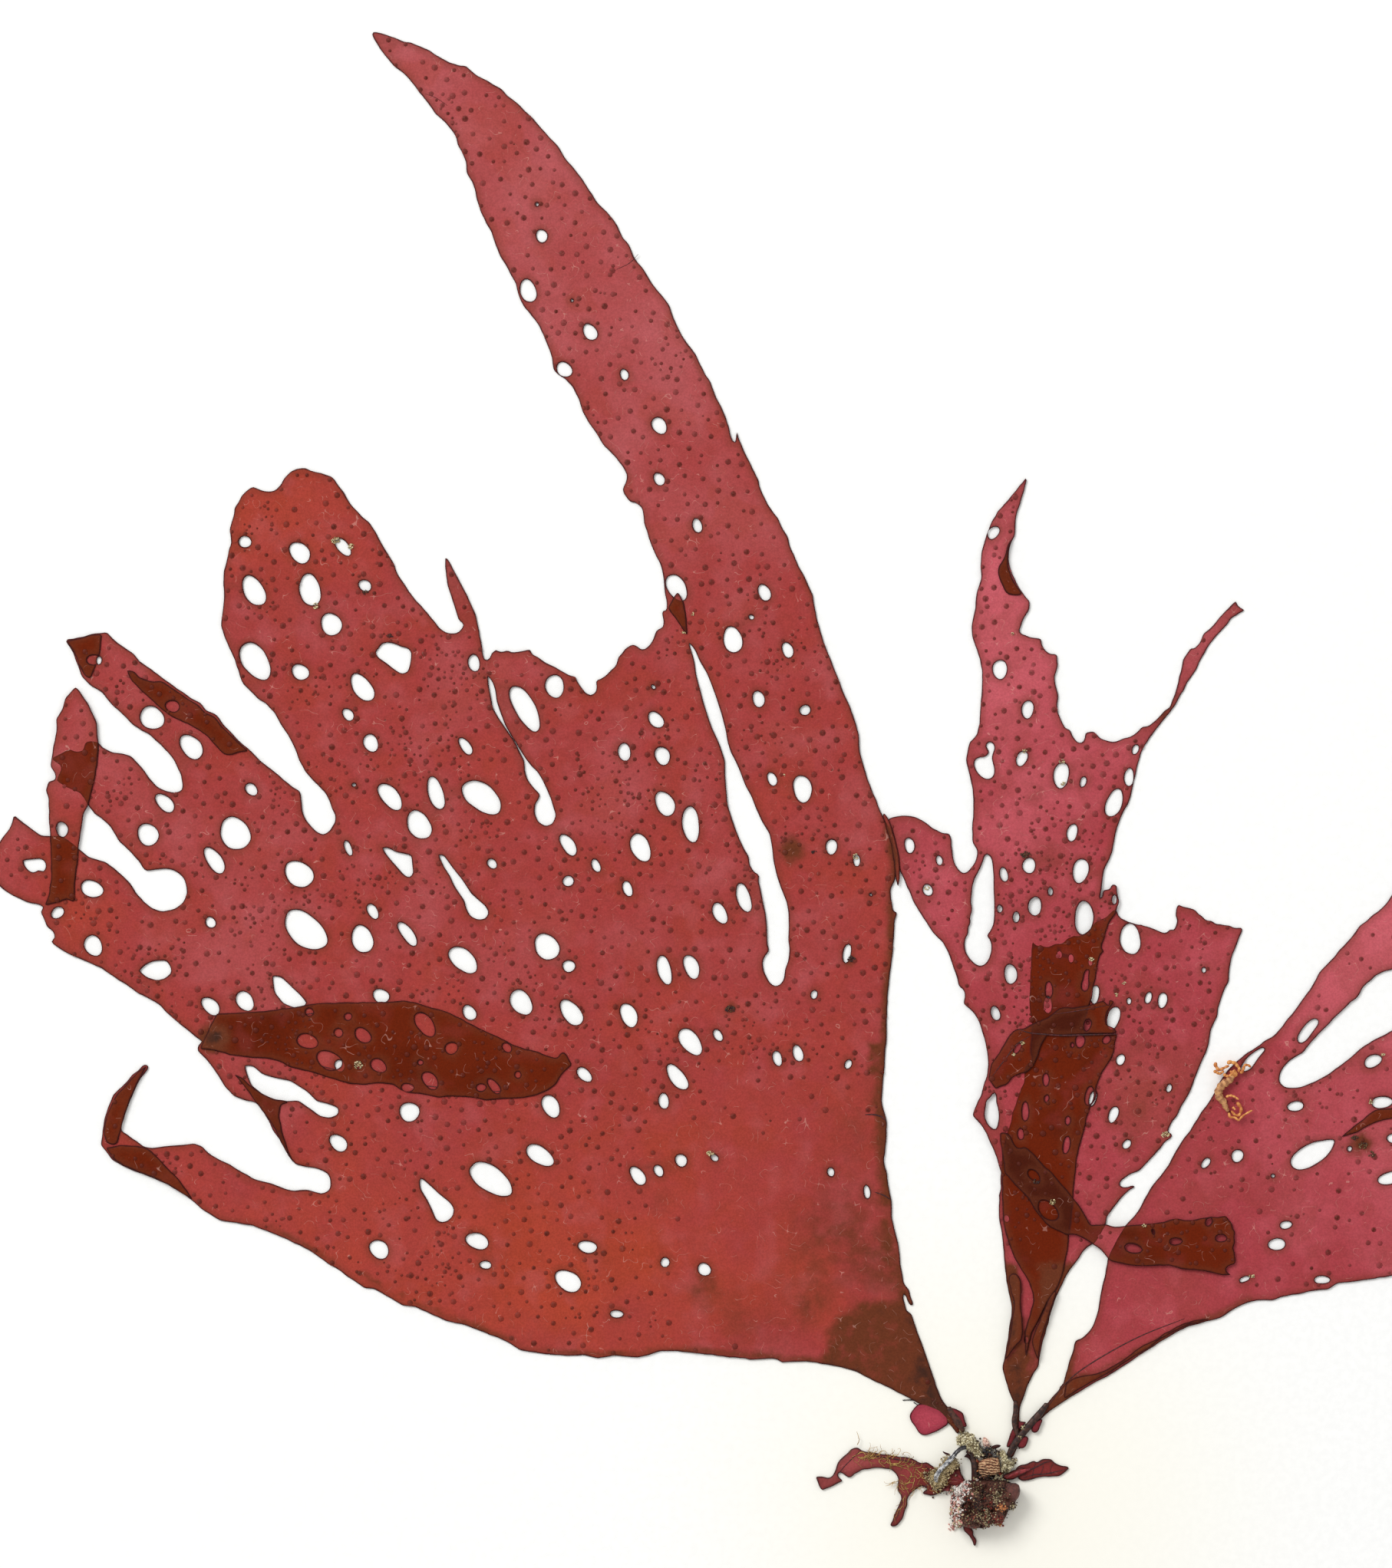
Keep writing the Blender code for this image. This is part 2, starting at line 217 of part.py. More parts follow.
MIDDLE_BACK = pairs("""
3.5 6.9  3.6 7.8  4 8.7  4.3 9.5  4.6 10.2  4.8 11.2  4.85 12.5  4.8 13.6  4.7 14.8  4.3 16  3.7 17.3  3.2 19
2.8 20.5  2.8 21.1  3.1 22  3.4 24  3.8 26.5  4.1 28.5  4.3 30  4 31.5  3.6 33  3.4 34.5  3.2 36  3 38  2.85 40
2.6 42  2.3 43.5  2.2 45  2.25 46.5  2.2 47.5  2.5 48.5  2.5 50  2.6 51.5  2.7 53  2.8 54.6  3.2 55.8  3.5 57.2
3.9 58.2  4.2 59  4.3 60.2  4.8 61.3  5.1 62.5  5.6 64  6.1 65  6.2 66.3  6.4 67.4  6.9 67.9  7.3 68.2
7.35 68.9  7.1 69.7  7.2 71  7.3 72.5  7.35 74  7.2 75  7 76  6.9 77.5  7 79  7.1 81  7.2 83.5  7.3 85.5
7.4 86.9  7.8 86.3  8.3 86.1  9 86.2  9.8 85.9  10.4 86.2  11 86.5  11.8 86.4  12.5 86.8  12.7 87.3  13.3 87.4
13.9 87.8  14.4 87.6  15 87.8  15.8 88.2  16.6 89  17.1 89.8  17.5 90.1  18.1 90.3  18.7 90.5  19.4 91.2
20 91.8  20.5 91.7  20.7 91  21.2 90.4  21.9 90.05  22.8 89.8  23.4 89.6  24 89.4  24.2 89.6  24.6 89.3
25.4 89.1  26.2 88.9  26.9 88.5  27.8 88.2  28.4 88.3  28.8 88.9  29.2 88.5  29.5 88.9  29.8 89.7  29.9 90.2
29.5 90.8  29.7 91.5  29.8 92.2  30.1 92.7  30.5 92.3  31.3 92.1  32.2 91.9  32.8 91.6  33.1 91  33.7 90.8
34.2 90.2  34.8 90  35.3 90  35.8 89.5  36.6 89.5  37.3 89.3  38 89.3  38.5 89  39.3 88.9  40 89  39.9 88.3
39.5 87.3  39.1 86.3  38.6 85.3  38.2 84  38 82.5  37.9 81.5  38 80.8  37.5 80  37 79  36.6 77.8  36.2 76.5
36 75  35.2 73.5  34.9 72  34.7 70.8  34.4 69.8  33.9 68.8  33.4 67.7  32.8 66.2  32.4 65  32 63.8  31.5 62.9
30.9 62  30.4 61  29.9 59.9  29.5 59.4  29 58.8  28.6 58  28.4 57.4  28.6 57  29 57.2  29.1 56.6  28.7 56.2
28 55.8  27.4 55  26.6 54.1  25.7 53  24.8 52.1  24.1 51.3  23.3 51.1  22.4 50.6  21.5 50.1  20.9 49.4
21 48.9  21.6 48.6  22.3 48.8  23 49.1  23.5 48.8  22.6 48.4  21.8 47.8  21.1 47  20.5 46.2  20 45.5
19.6 45  19.1 44.4  18.9 43.6  18.8 43  18.4 42.4  18 41.6  17.6 40.9  17.2 40.3  16.8 39.9  16.1 39.6
15.4 38.9  14.8 38  14.1 37.1  13.3 36  12.6 35  12.2 34  11.7 33  11.2 32  10.8 31  10.5 29.8  10.1 28.7
9.9 27.6  9.5 26.4  9.1 25  8.8 23.5  8.5 22  8.4 21  7.8 20.2  7.3 19.2  6.8 18.2  6.4 17.2  6 16  5.6 15
5.45 14  5.45 12.8  5.5 11.8  5.6 10.6  5.4 9.4  5 8.3  4.6 7.4  4.3 6.8""")

MIDDLE_BACK_OVALS = (
    (17.1, 78.6, 2.9, 1.3, 80), (20, 75, 3.5, 1.9, 75), (22.4, 77.6, 1.2, 0.7, 85), (25.4, 78.1, 1.9, 1, 75),
    (27.6, 77.7, 2.6, 1.3, 80), (34, 82.4, 1, 0.7, 80), (22.6, 87.2, 4.6, 3.2, 95), (21.1, 68.5, 1.8, 1.3, 75),
    (20, 60, 2.6, 1.4, 70), (28.6, 64.1, 1.5, 0.8, 70), (22.05, 55.4, 1.7, 1.1, 55), (16.8, 62.5, 2.6, 1, 75),
    (11.6, 84.8, 1.3, 0.8, 90), (13.4, 84.2, 1.5, 0.8, 90), (16.4, 83.6, 1.3, 0.7, 90), (9.8, 77, 2.8, 1.2, 88),
    (3.4, 43.9, 1.3, 0.8, 100), (6.5, 25.1, 1.2, 0.6, 90),
)

MIDDLE_FRONT = pairs("""
6.4 22.5  6.2 26.5  7.6 31  7.4 32.5  6.9 34  6.2 35.2  5.3 36.6  4.5 38  3.8 40  3.1 42  2.9 44  2.8 46
2.7 48  2.7 50.5  2.2 52  1.8 53.5  1.2 55  0.3 57  -0.6 58.6  -1.9 59.9  -1.5 61  -0.6 63  0 65  0.5 66.3
0.6 68.2  0.4 70  0 71.6  -0.4 73  -0.8 74.2  -1.2 75  -1.8 75.9  -2.5 76.6  -3.2 77.1  -3.3 77.3  -3 78.2
-3 78.8  -3.3 79.5  -4 79.9  -4.2 81  -4.7 82.5  -5.2 84  -5.8 85.5  -6.7 87  -7.8 88  -8.4 88.8  -8.9 89.7
-9.6 90.6  -10.3 91.8  -11 93  -11.7 94.6  -12.2 95.8  -12.7 97  -13.1 97.7  -13.35 98.5  -13.45 99.9
-13.8 101.6  -14.2 103.3  -14.7 104.7  -15.1 105.6  -14.8 105.9  -14 106.2  -12.7 106.4  -11.5 106.3  -10.2 105.9  -9 105.2
-7.8 104.3  -6.6 103.7  -5.4 103.6  -5.1 102.5  -5 101  -4.9 100  -4.6 98.8  -4 97.9  -3.3 97.4  -2.6 97.6
-1.9 98.4  -1.3 99.4  -1.1 100.4  -1.2 101.2  -1.9 102.3  -1.9 104  -1.8 106  -1.7 108  -1.8 110
-2.1 111.8  -2.5 113.5  -2.9 115  -2.7 116  -2.4 117.2  -2.3 117.8  -1.6 118.4  -1.1 119  -0.9 120
-0.7 121.5  -0.6 123.5  -0.4 125.5  -0.3 127.5  -0.4 129  -0.7 130.5  -1.2 132  -1.7 133.5  -2 135
-2 135.8  -1.7 137  -1.4 138.5  -1.3 140  -1.2 141  -0.8 142  -0.5 143.5  -0.6 145  -0.5 147  -0.2 148.2
0 149  0.3 150  0.8 151  1.2 152  1.7 152.8  2 153.5  2.9 154.4  3.7 155.3  4.5 156.3  5.3 157.3  6 158.2
6.3 158.8  6.7 158.5  6.4 157.6  6.2 156.8  5.9 155.9  5.6 155  5.4 154.1  5.1 153.5  4.9 152.5  4.8 151.3
4.8 150  4.7 149.7  4.3 149  4 148.3  3.8 147.3  3.75 146.3  3.9 145  4.3 143.8  5 142.3  5.7 141.2
6.4 140.2  7 139.6  7 139  6.95 138.2  6.3 137.2  5.7 136  5.4 135  5.7 134.5  6.3 134.3  7.2 134  8 133.9
8.8 133.8  8.8 132.9  9.2 132.2  10 131.4  10.8 131.3  11.2 131.4  11.3 130.7  11.2 130.2  11.5 129.8
11.2 129  10.9 128  11 126.8  11.3 125.5  11.5 125  11.3 123.5  11.4 122.5  11.8 121.2  12.3 120.2
12.6 119.8  13.3 119.7  13.5 119  14 118.1  14.6 117.6  15.2 117.7  15.6 118.4  15.6 119.2  16.3 119.4
17 119.4  17.4 118.9  18 118.3  19 117.9  20.2 117.8  20.9 118  21.6 118.4  22.4 118.5  23.3 119  24 119.6
24.5 120.2  25 120.1  25.7 120.4  26.4 121  27.2 121.9  28 122.7  28.7 123.1  29 124  29.5 125.3  30 127
30.5 129  30.8 130.6  31.3 131.4  32 132.4  32.5 132.2  33.2 132.9  33.6 133.7  34 134.6  34.8 135.2
35.6 136  36.5 137.1  37.5 138.2  38.4 139.1  39 139.7  39.1 139  39.6 138.5  40.4 138.2  39.3 137.6
38.2 136.9  37.7 136  36.8 135.1  35.8 134  34.8 132.8  34 131.4  33.3 130.2  32.9 129  32.2 128.1
31.5 127  30.9 125.8  30.2 124.6  29.5 123.4  28.7 122.3  27.9 121.3  27 120.2  26.2 119.2  25.4 118.1
24.7 117  24.1 115.5  23.7 114  23.4 112.5  23 110.8  22.7 109.3  22.3 108.2  21.7 107.2  21.2 106.2
20.6 104.6  20.2 103  19.9 101.3  19.5 99.8  19 98.8  18.5 97.8  18.3 96.6  18.2 95.3  17.8 93.4
18.2 93.6  18.4 94.9  19 94.8  19.6 95.1  19.7 95.7  20.5 95.6  20.6 94.5  20.7 93.7  20.9 93  20.6 92.3
20.4 91.3  19.9 90.6  19.2 89.5  18.8 88.4  18.6 87.3  18.2 86.5  18.1 85.7  18.6 85.4  17.9 84.7
17.5 83.5  17.3 81.5  16.9 79.8  16.6 78  16.2 77  15.8 75.8  15.4 74.2  15.4 72.8  17.5 72.6  20.6 72.5
20.2 71  20 69.6  19.5 68.5  18.8 67.5  18.2 66.4  17.6 65.2  17.3 64.3  17.35 63.2  17.1 62.2  16.4 61.3
16.2 60.6  15.8 59.4  15.5 58  15.3 57.2  15 56  14.6 54.6  14.3 53  14.1 51.5  13.9 50  13.8 48.5
13.7 47  13.5 45  13.3 43.4  13.1 41.5  13 40  12.7 38.3  12.4 36.5  12 34.9  11.5 33.6  10.8 32.3
10 31.3  9.3 30  8.6 28.6  8 27.5  7.3 26  7 25""")

MIDDLE_FRONT_OVALS = (
    (1.4, 150.2, 2.3, 1.5, 55), (2.4, 129, 3.1, 2.1, 92), (6.7, 122.8, 2.8, 1.8, 88), (5.8, 115.2, 2.5, 1.6, 70),
    (11.9, 112.6, 3.8, 2.4, 83), (15.3, 111.6, 1.8, 0.9, 72), (23.4, 116.6, 1.7, 1, 65),
    (22.4, 112.3, 2.9, 1.4, 83), (20.1, 108.3, 4.4, 2.4, 72), (13.6, 103.7, 2.7, 1.6, 75),
    (14.9, 97.8, 3.9, 2.3, 82), (-11.6, 101.7, 2.4, 1.5, 95), (-7, 99.4, 1.6, 1, 100),
    (-8.8, 94.8, 1.8, 1.5, 110), (3, 97.2, 2.3, 1.2, 105), (6.9, 98.6, 2.5, 1.9, 90),
    (10.2, 94.6, 1.4, 0.8, 95), (2.35, 91.9, 1.4, 0.8, 97), (4.9, 90.6, 1.8, 1, 90), (7.8, 92.3, 3.1, 1.9, 88),
    (15.4, 90.5, 5, 2.9, 85), (4.05, 81.8, 3.1, 1.9, 100), (1.7, 75.7, 2.4, 1.3, 105),
    (20.1, 93.3, 1.7, 0.7, 88), (9.95, 79.3, 2.7, 1.1, 88), (14.8, 71.4, 2, 1.4, 90), (13.6, 70.8, 0.9, 0.5, 90),
    (18.9, 71.6, 1.5, 1.1, 40), (9.5, 65.4, 2.2, 0.9, 92), (9.6, 62.5, 1.4, 0.7, 80), (6.3, 60.5, 3.1, 1, 88),
    (5.6, 57, 1.8, 1, 95), (12.9, 59.1, 1.5, 0.8, 88), (12.7, 55.3, 2.8, 1, 80), (16.25, 62.9, 3, 1.3, 78),
)

MIDDLE_FRONT_CUTS = tuple(pairs(text) for text in (
    """0.9 117.8  1.4 117.5  1.6 116.8  1.3 116  1.1 115.3  1.3 114.5  1.55 113.6  1.5 112.7  1 112.1  0.3 112
    -0.5 112.4  -1.2 113.2  -1.6 114.2  -1.5 115  -0.8 115.4  0 115.4  0.5 115.7  0.8 116.2  0.5 116.7
    0.2 117.1  0.4 117.6""",
    """0.4 100.4  0.1 100.3  -0.2 99.3  -0.6 98.3  -1.2 97.2  -1.6 96.4  -1.9 95.2  -2 94  -2.1 93  -1.9 92
    -2 91.3  -2.3 90.6  -2.1 89.8  -2.5 89  -2.5 88  -2.9 87.5  -3.1 86.5  -2.9 85.2  -2.3 84.2  -1.5 83.4
    -0.7 83  0.1 83.3  0.7 84.2  1 85.2  1.1 86.3  0.8 87.2  0.3 87.7  0.9 88.5  1.4 89.6  1.5 91  1.5 93
    1.4 95  1.4 97  1.3 98.3  1.2 99.3  0.9 100.1""",
    """0 60.1  0.25 61.5  0.3 62.2  0.9 62.6  1.2 63.1  1.6 63.5  1.8 62.8  1.8 61.8  2 61.3  2.2 60.3
    2.2 59.3  2 58.3  1.8 57.7  1.3 57.8  0.6 58.4  0.1 59.4""",
    """16.2 82.5  15.8 82.6  15.4 81.7  15.4 81.1  15.1 80.4  15 79.5  15.5 79.1  16 79.3  16.1 80.3  16.05 81.3""",
))

CROSS_FLAP = pairs("""
0.6 65.6  0.8 66.8  1.1 68  2.2 69.5  3 71  3.9 72.4  4.6 73.1  5.1 73.3  6 73.3  7.2 74.1  8.7 74.6  9.9 75.1
10.8 75.8  11.6 76.5  12.5 76.65  14 76.6  15.2 76.85  16 76.95  17 77.2  18.2 77.7  18.7 77.6  18.8 77.2
19.1 76.9  19.3 76.9  19.2 77.9  20.2 77.6  19.6 76.8  19.2 76.2  18.9 75.4  18.7 74.6  18.8 74  19.6 73.6
20.2 73.4  20.6 72.6  16 72.5  12 72.3  9.8 72.4  8.9 71  8.2 69  7.6 67.5  6.9 66.8  6.3 66.5  5.6 66.4
5 66.2  4.2 65.6  3.6 64.8  3.2 64.5  2.6 64.4  1.7 63.9  1.2 64.6""")

CROSS_OVALS = ((5.1, 70.3, 2.2, 0.8, 60), (15.9, 73.9, 2.1, 1, 75))

DIAGONAL_STRIP = pairs("""
2.3 57.2  2.9 57.3  3.5 57.2  4.1 56.5  4.5 55.6  5 54.9  5.5 54.9  6.4 54.95  7 54.4  7.8 53.7  8.5 52.9
8.9 52.4  9.4 51.8  10 51.5  10.6 50.9  11.2 50.1  11.7 49.4  12.2 48.9  12.9 48.1  13.5 47.3  14.2 46.5
14.8 45.7  15.3 44.9  15.9 43.8  16.4 42.9  17.7 43  18.9 43.1  19.8 42.65  20.8 42.65  21.8 42.8  23.5 42.95
25 43.1  26.5 43.2  27.8 43.4  28.8 43.8  29.8 44  31 43.7  32.2 43.7  33.5 44  35 44.2  36.3 44.2
37.5 44.4  37.8 43.8  38.4 43.2  38.4 42.4  38.8 42  38.6 41  38.8 40.2  38.4 39.3  38.8 38.8  38.7 38
38.9 37.4  38.8 36.9  38 36.7  37.4 36.3  37.3 35.9  37.8 35.4  38.3 35.2  37.3 35.1  36 35.3  34.8 35.6
33.5 35.9  32 36  30.5 36.1  29.5 36.4  28.5 36.7  27 36.7  25.5 36.6  24 36.6  22.5 36.7  21 37  20 37.2
19.2 37.5  18.8 38.1  18.2 38.9  17.6 39.4  17 39.8  16.6 40  15.8 40.5  15.1 41  14.3 41.3  13.5 41.5
12.9 41.3  12.4 41.4  11.9 41.8  11 42.1  10.2 42.6  9.5 43.1  8.9 43.8  8.2 44.6  7.6 45.4  7.2 46.3
6.7 47  6.1 47.8  5.5 48.3  4.9 48.9  4.3 49.7  3.7 50.4  3.1 51  3 52  2.8 53.6  2.5 55.2""")

DIAGONAL_OVALS = (
    (7.6, 50.6, 2.4, 1.3, -40), (9.8, 45.2, 3.9, 2.2, -50), (34.7, 43.4, 1.5, 0.9, 60),
    (26.1, 41.9, 1.2, 0.35, -75), (29.6, 40.4, 2.1, 1, 0), (36.6, 40.9, 2, 1.1, 0), (23, 39.3, 2.9, 1.3, -10),
)

MIDDLE_FLAPS = tuple(pairs(text) for text in (
    """2.2 145  2.7 145.7  3.1 146.5  3.35 147.5  3.6 148.4  4 148.9  4.3 149.3  4.1 148.8  3.75 147.5  3.6 146
    3.7 144.9  4.2 143.4  5 141.9  5.9 140.7  5.3 140.5  4.2 140.5  3.6 140.7  3.1 141.2  2.7 142.2
    2.3 143  2.1 144""",
    """3.1 21.9  4.7 24  5.8 25.1  6 26.4  5.9 28  5.6 31  5.7 33  5.7 34.2  5.3 35.1  4.7 35.5  4.1 35.4
    3.7 34.7  3.8 33.8  4.2 32.3  4.6 31  4.5 30  4.2 28.5  4 26.6  3.6 24.2""",
    """8.3 21.9  8.5 23.7  8.8 25.2  9.3 26.8  9.7 28  10.1 29.3  10.5 30.6  10.9 31.7  11.3 32.8  10.7 32.7
    10 31.7  9.5 30.5  8.9 29  8.3 27.6  7.6 26  7.3 24.9  7.6 23.6""",
))

RIGHT_OUTLINE = pairs("""
6 11.3  7 12.3  7.8 13.1  8.5 13.9  9.3 14.8  10.2 15.8  11 16.8  11.7 17.5  11.6 17.8  12.2 18.2  12.5 19.3
12.9 20.8  13.3 22.3  13.8 23.8  14.1 25  14.9 25.2  15.6 25.8  16.4 26.6  17 27.5  17.4 28.8  17.7 30.2
17.9 31.8  18.2 33.3  18.6 34.8  18.9 36.2  19.1 37.5  19.4 38.5  20.1 39.9  20.8 41.2  21.6 42.5  22.3 43.3
23.1 44.2  23.9 45.2  24.5 46.3  25.1 47.5  26 49  26.9 50.1  27.7 51  28.5 52.2  29.1 53.3  29.7 54.5
30.4 55.6  31.1 56.6  31.9 57.6  32.6 58.7  33.2 59.7  33.8 60.7  34.5 61.5  35 62.4  35.6 63.3  36.1 64.3
36.6 65.3  37.1 66  37.8 66.9  38.5 67.7  39.2 68.3  40 69  40.9 69.7  41.9 70.3  42.8 70.9  43.6 71.6
44.5 72  45.4 72.8  46.2 73.7  46.8 74.6  47.3 75.2  48.2 76.4  49.1 77.6  50 78.9  50.7 79.8  51.3 80.9
51.8 82  52.4 82.6  53.2 83.4  54.1 84.4  55 85.5  55.9 86.5  56.8 87.4  57.5 88.4  58.3 89.4  59.1 89.95
60 90.8  60.9 91.4  61.7 92.1  62.4 92.9  63.1 94  63.9 95.2  65 96.6  66.3 97.6  67.8 98  69.2 97.5
70.3 96.2  70.9 94.4  70.8 92.3  70.2 90  69.2 87.8  67.9 85.9  66.4 84.4  64.9 83.2  63.1 82.4  62 82.2
61.3 81.9  60.5 81.5  59.9 80.8  59.3 80.4  58.6 79.7  58.2 78.8  57.5 78  56.6 77.3  55.9 76.5  55 75.7
54.2 75  53.5 74.2  52.7 73.4  52.2 73  51.6 72.3  50.8 71.5  50.1 70.6  49.3 69.6  48.4 69.1  47.4 68.4
46.5 67.6  45.9 66.6  45.6 65.6  45.8 64.8  46.5 64.3  47.6 64.1  48.8 64.2  50 64.6  51.3 65.1  52.5 65.8
53.7 66.6  54.8 67.4  55.9 68.2  57 69.1  58 70  59 70.8  60 71.4  61.2 72  62.2 72.5  63.1 73  64.7 74
66.6 75  68.6 75.7  70.5 75.6  72.2 74.7  73.3 73.2  73.6 71.4  73.2 69.4  72.2 67.6  71.9 66.4  72.6 65.4
74.2 64.6  76.4 63.2  78.6 61.2  80.4 58.6  81.6 55.6  82 52.4  81.5 49  80.2 45.6  78.1 42.4  75.4 39.8
72.4 37.8  69.2 36.4  66.1 35.5  63.1 35  62.2 34.8  61 34.7  60 34.5  58.8 34.3  57.5 34.2  56 34
54.8 33.9  54.1 33.5  53.5 33  52.5 32.8  51.3 32.7  50.1 32.5  49 32.2  47.5 32  46.6 31.85  45.8 31.6
45 31.3  44.3 31.15  43.6 31.25  42.8 31.2  41.7 31.1  40.8 30.9  39.9 30.5  38.8 29.9  37.8 29.3
37 28.7  36.3 28.4  35.5 28.2  34.2 27.9  33 27.5  31.8 27.2  30.6 26.7  29.4 26.1  28.2 25.3  27 24.7
26 23.9  24.5 23  23 22  21.5 21  20 20  18.5 19.2  17 18.4  15.5 17.5  14 16.6  12.5 15.7  11.2 14.8
10 13.9  9 13  8 12.1  7 11.1  6.4 10.6""")

RIGHT_OVALS = (
    (48.2, 61.3, 2.7, 1.4, 10), (60.2, 68.3, 2.8, 1.8, 20), (61.6, 61.9, 3.4, 1.7, 8), (63.3, 56.3, 1.9, 1.4, 0),
    (62.9, 50.2, 4, 1.8, 15), (56.6, 54.7, 0.9, 0.8, 60), (34.3, 52.5, 1.9, 1.1, 50), (39.2, 53.6, 2.1, 1.7, 70),
    (44.7, 50.5, 0.8, 0.6, 0), (46.7, 42.9, 2, 1.2, 5), (45.3, 39.9, 2.7, 1.8, 10), (52.3, 34.4, 2.5, 1.2, 0),
    (40.3, 34.5, 2, 0.7, 20), (70.4, 57.2, 2.6, 1.7, 70), (72.8, 48.6, 2.2, 1.5, 110), (68.4, 42.2, 2.9, 1.7, 30),
    (69, 70.4, 2, 1.4, 60), (66.8, 91.6, 2.4, 1.5, 60),
)

RIGHT_CUTS = tuple(pairs(text) for text in (
    """39.6 66.8  40.1 68  40.8 68.9  41.7 69.6  42.6 70.2  43.4 70.45  43.5 70.1  43 69.5  42.4 68.8  41.8 67.9
    41.3 67.2  40.5 66.7""",
    """48.5 71.5  48.6 72.2  49.2 73.2  50 74.2  50.8 74.8  51.5 74.9  51.8 74.5  51.6 73.9  51.1 73.2
    50.5 72.4  49.9 71.6  49.3 71.15  48.8 71.1""",
    """54.3 56.1  53.5 56.1  52.2 55.9  51 55.7  49.9 55.2  48.8 54.5  47.9 53.7  47.4 52.8  47.6 52  48.4 51.5
    49.3 51.5  50.3 51.8  51.2 52.3  52.2 52.9  53 53.6  53.7 54.5  54.1 55.4""",
))

RIGHT_FLAPS = tuple(pairs(text) for text in (
    """55.2 56.5  56.5 57.6  57.5 58.5  58.5 59.1  59.5 60  60.6 60.75  61.8 60.9  63.1 61  65.2 61.6
    67.4 62.6  69.6 64  68.6 62.2  66.9 60.7  65 59.9  63.1 59.4  62 59.2  60.8 58.9  59.8 58.4  58.7 57.9
    57.6 57.2""",
    """12.6 18.2  13.3 18.9  14.3 19.3  15.5 19.6  17 19.8  18.5 20.3  20 21.1  21.5 22  23 23.1  24.5 24.2
    26.6 25.2  27.3 25.8  28.5 26.4  29.8 27.1  31 27.7  32.2 28  33.5 28.3  35 28.4  33 27.8  31.7 27.5
    30.5 27  29.3 26.4  28 25.6  26.8 24.9  25.7 24  24.3 23.2  22.8 22.3  21.3 21.3  19.8 20.3  18.3 19.5
    16.8 18.7  15.3 17.8  13.8 16.9  12.3 16""",
))

ROSE_TAB = pairs("""
-10.4 15.1  -11 14.4  -11.5 13.6  -11.6 13.1  -11.3 12.4  -10.7 11.5  -10.2 10.8  -9.8 10.4  -9.2 10.3
-8.4 10.5  -7.5 10.8  -6.8 11.2  -6.1 11.6  -5.6 12  -5.6 13  -6.8 14.2  -8.2 14.9  -9.4 15.3""")

STIPE_LEAF = pairs("""
-5.9 14.6  -5 14.6  -4 14.2  -3.4 13.9  -3.2 13.4  -3.1 12.7  -2.8 12  -2.75 11.6  -3.4 11.6  -4.3 12  -5.3 13.4""")

JOINT_LEAVES = tuple(pairs(text) for text in (
    "5 12.7  4.6 12  4.2 11  3.8 10  3.5 9.2  3.3 8.5  3.6 8.3  4.4 9  4.9 10.2  5.2 11.4",
    "5 8.5  5.9 8.2  6.3 8.4  6.6 9.2  6.9 9.9  6.6 10.2  6.1 10.2  5.4 9.9",
    "5.2 12.6  5.9 12.4  6.2 12.5  6.6 12.5  6.3 12.1  5.6 11.4  5.2 11.2",
))

RIGHT_LEAF = pairs("7.9 12.5  8.5 12.8  9.1 12.9  8.9 12.3  8.6 11.7  8.4 11.1  8.1 10.7  7.6 10.7  7.2 10.9  7.3 11.7")

FRILL = pairs("""
-26.2 3.9  -25.3 3.9  -24.7 3.8  -24 3.7  -23.5 4  -23.2 4.6  -23 5.4  -22.7 6.1  -22 6.9  -21.2 7.5
-20.5 8.2  -19.9 8.4  -19.6 8.4  -19 8  -18.4 7.8  -17.5 7.7  -16.5 7.5  -15.7 7.3  -15.2 7.5  -14.4 7.3
-13.4 7.1  -13.1 6.9  -12.2 6.9  -11.5 6.8  -11 6.5  -10.4 6.2  -9.9 6  -9.4 6  -8.9 6.1  -8.5 5.8
-7.9 5.4  -7.2 5.2  -6.5 5  -5.6 4.8  -4.6 5  -4 4.6  -3.8 4  -4.1 3.6  -4.8 3  -5.4 2.1  -5.4 1.8
-6.2 1.7  -7 1.3  -7.6 1  -8.3 0.9  -9 1.1  -9.7 1.25  -9.2 1.7  -8.7 2  -9.2 2.3  -9.7 2.5  -10.2 2.2
-10.8 1.9  -11.3 1.4  -11.7 0.9  -12 0.3  -11.9 -0.3  -12.2 -1  -12.4 -1.8  -12.7 -2.6  -13.2 -3.2
-13.6 -3.7  -14.2 -3.9  -14.7 -3.7  -14.4 -3.2  -14.2 -2.6  -13.8 -1.6  -13.3 -0.6  -13 0.2  -12.7 0.8
-13 1  -13.4 1.6  -13.4 2.2  -13.3 3  -13.4 3.6  -13.7 4.2  -14.1 4.6  -14.6 5  -15.2 5.1  -16 5.2
-17 5.2  -18 5  -18.9 4.9  -19.5 4.5  -20.2 4.3  -20.6 3.9  -21.1 3.8  -21.5 4.1  -21.9 4.4  -22.3 4.6
-22.7 4.5  -22.7 3.9  -22.2 3.5  -21.9 3.2  -22.6 2.9  -23.2 2.6  -23.8 2.3  -24.3 2.1  -24.8 2
-25.1 1.7  -25.5 2.2  -25.8 3""")

SPINDLE = pairs("""
4.7 4.9  5.2 5.6  5.7 5.8  6.2 5.8  6.8 6  7.3 6.2  7.8 6.4  7.95 6  8.4 6.2  8.9 6.5  9.6 6.6  10.4 6.6
10.7 6.2  11.1 5.9  11.6 5.6  12 5.5  12.6 5.5  13.2 5.3  12.8 4.8  12.3 4.4  11.7 4  11.2 3.9  10.3 3.9
9.3 3.9  8.6 3.8  8 3.7  7.3 3.4  6.5 3.3  5.9 3.2  5.3 3.6""")

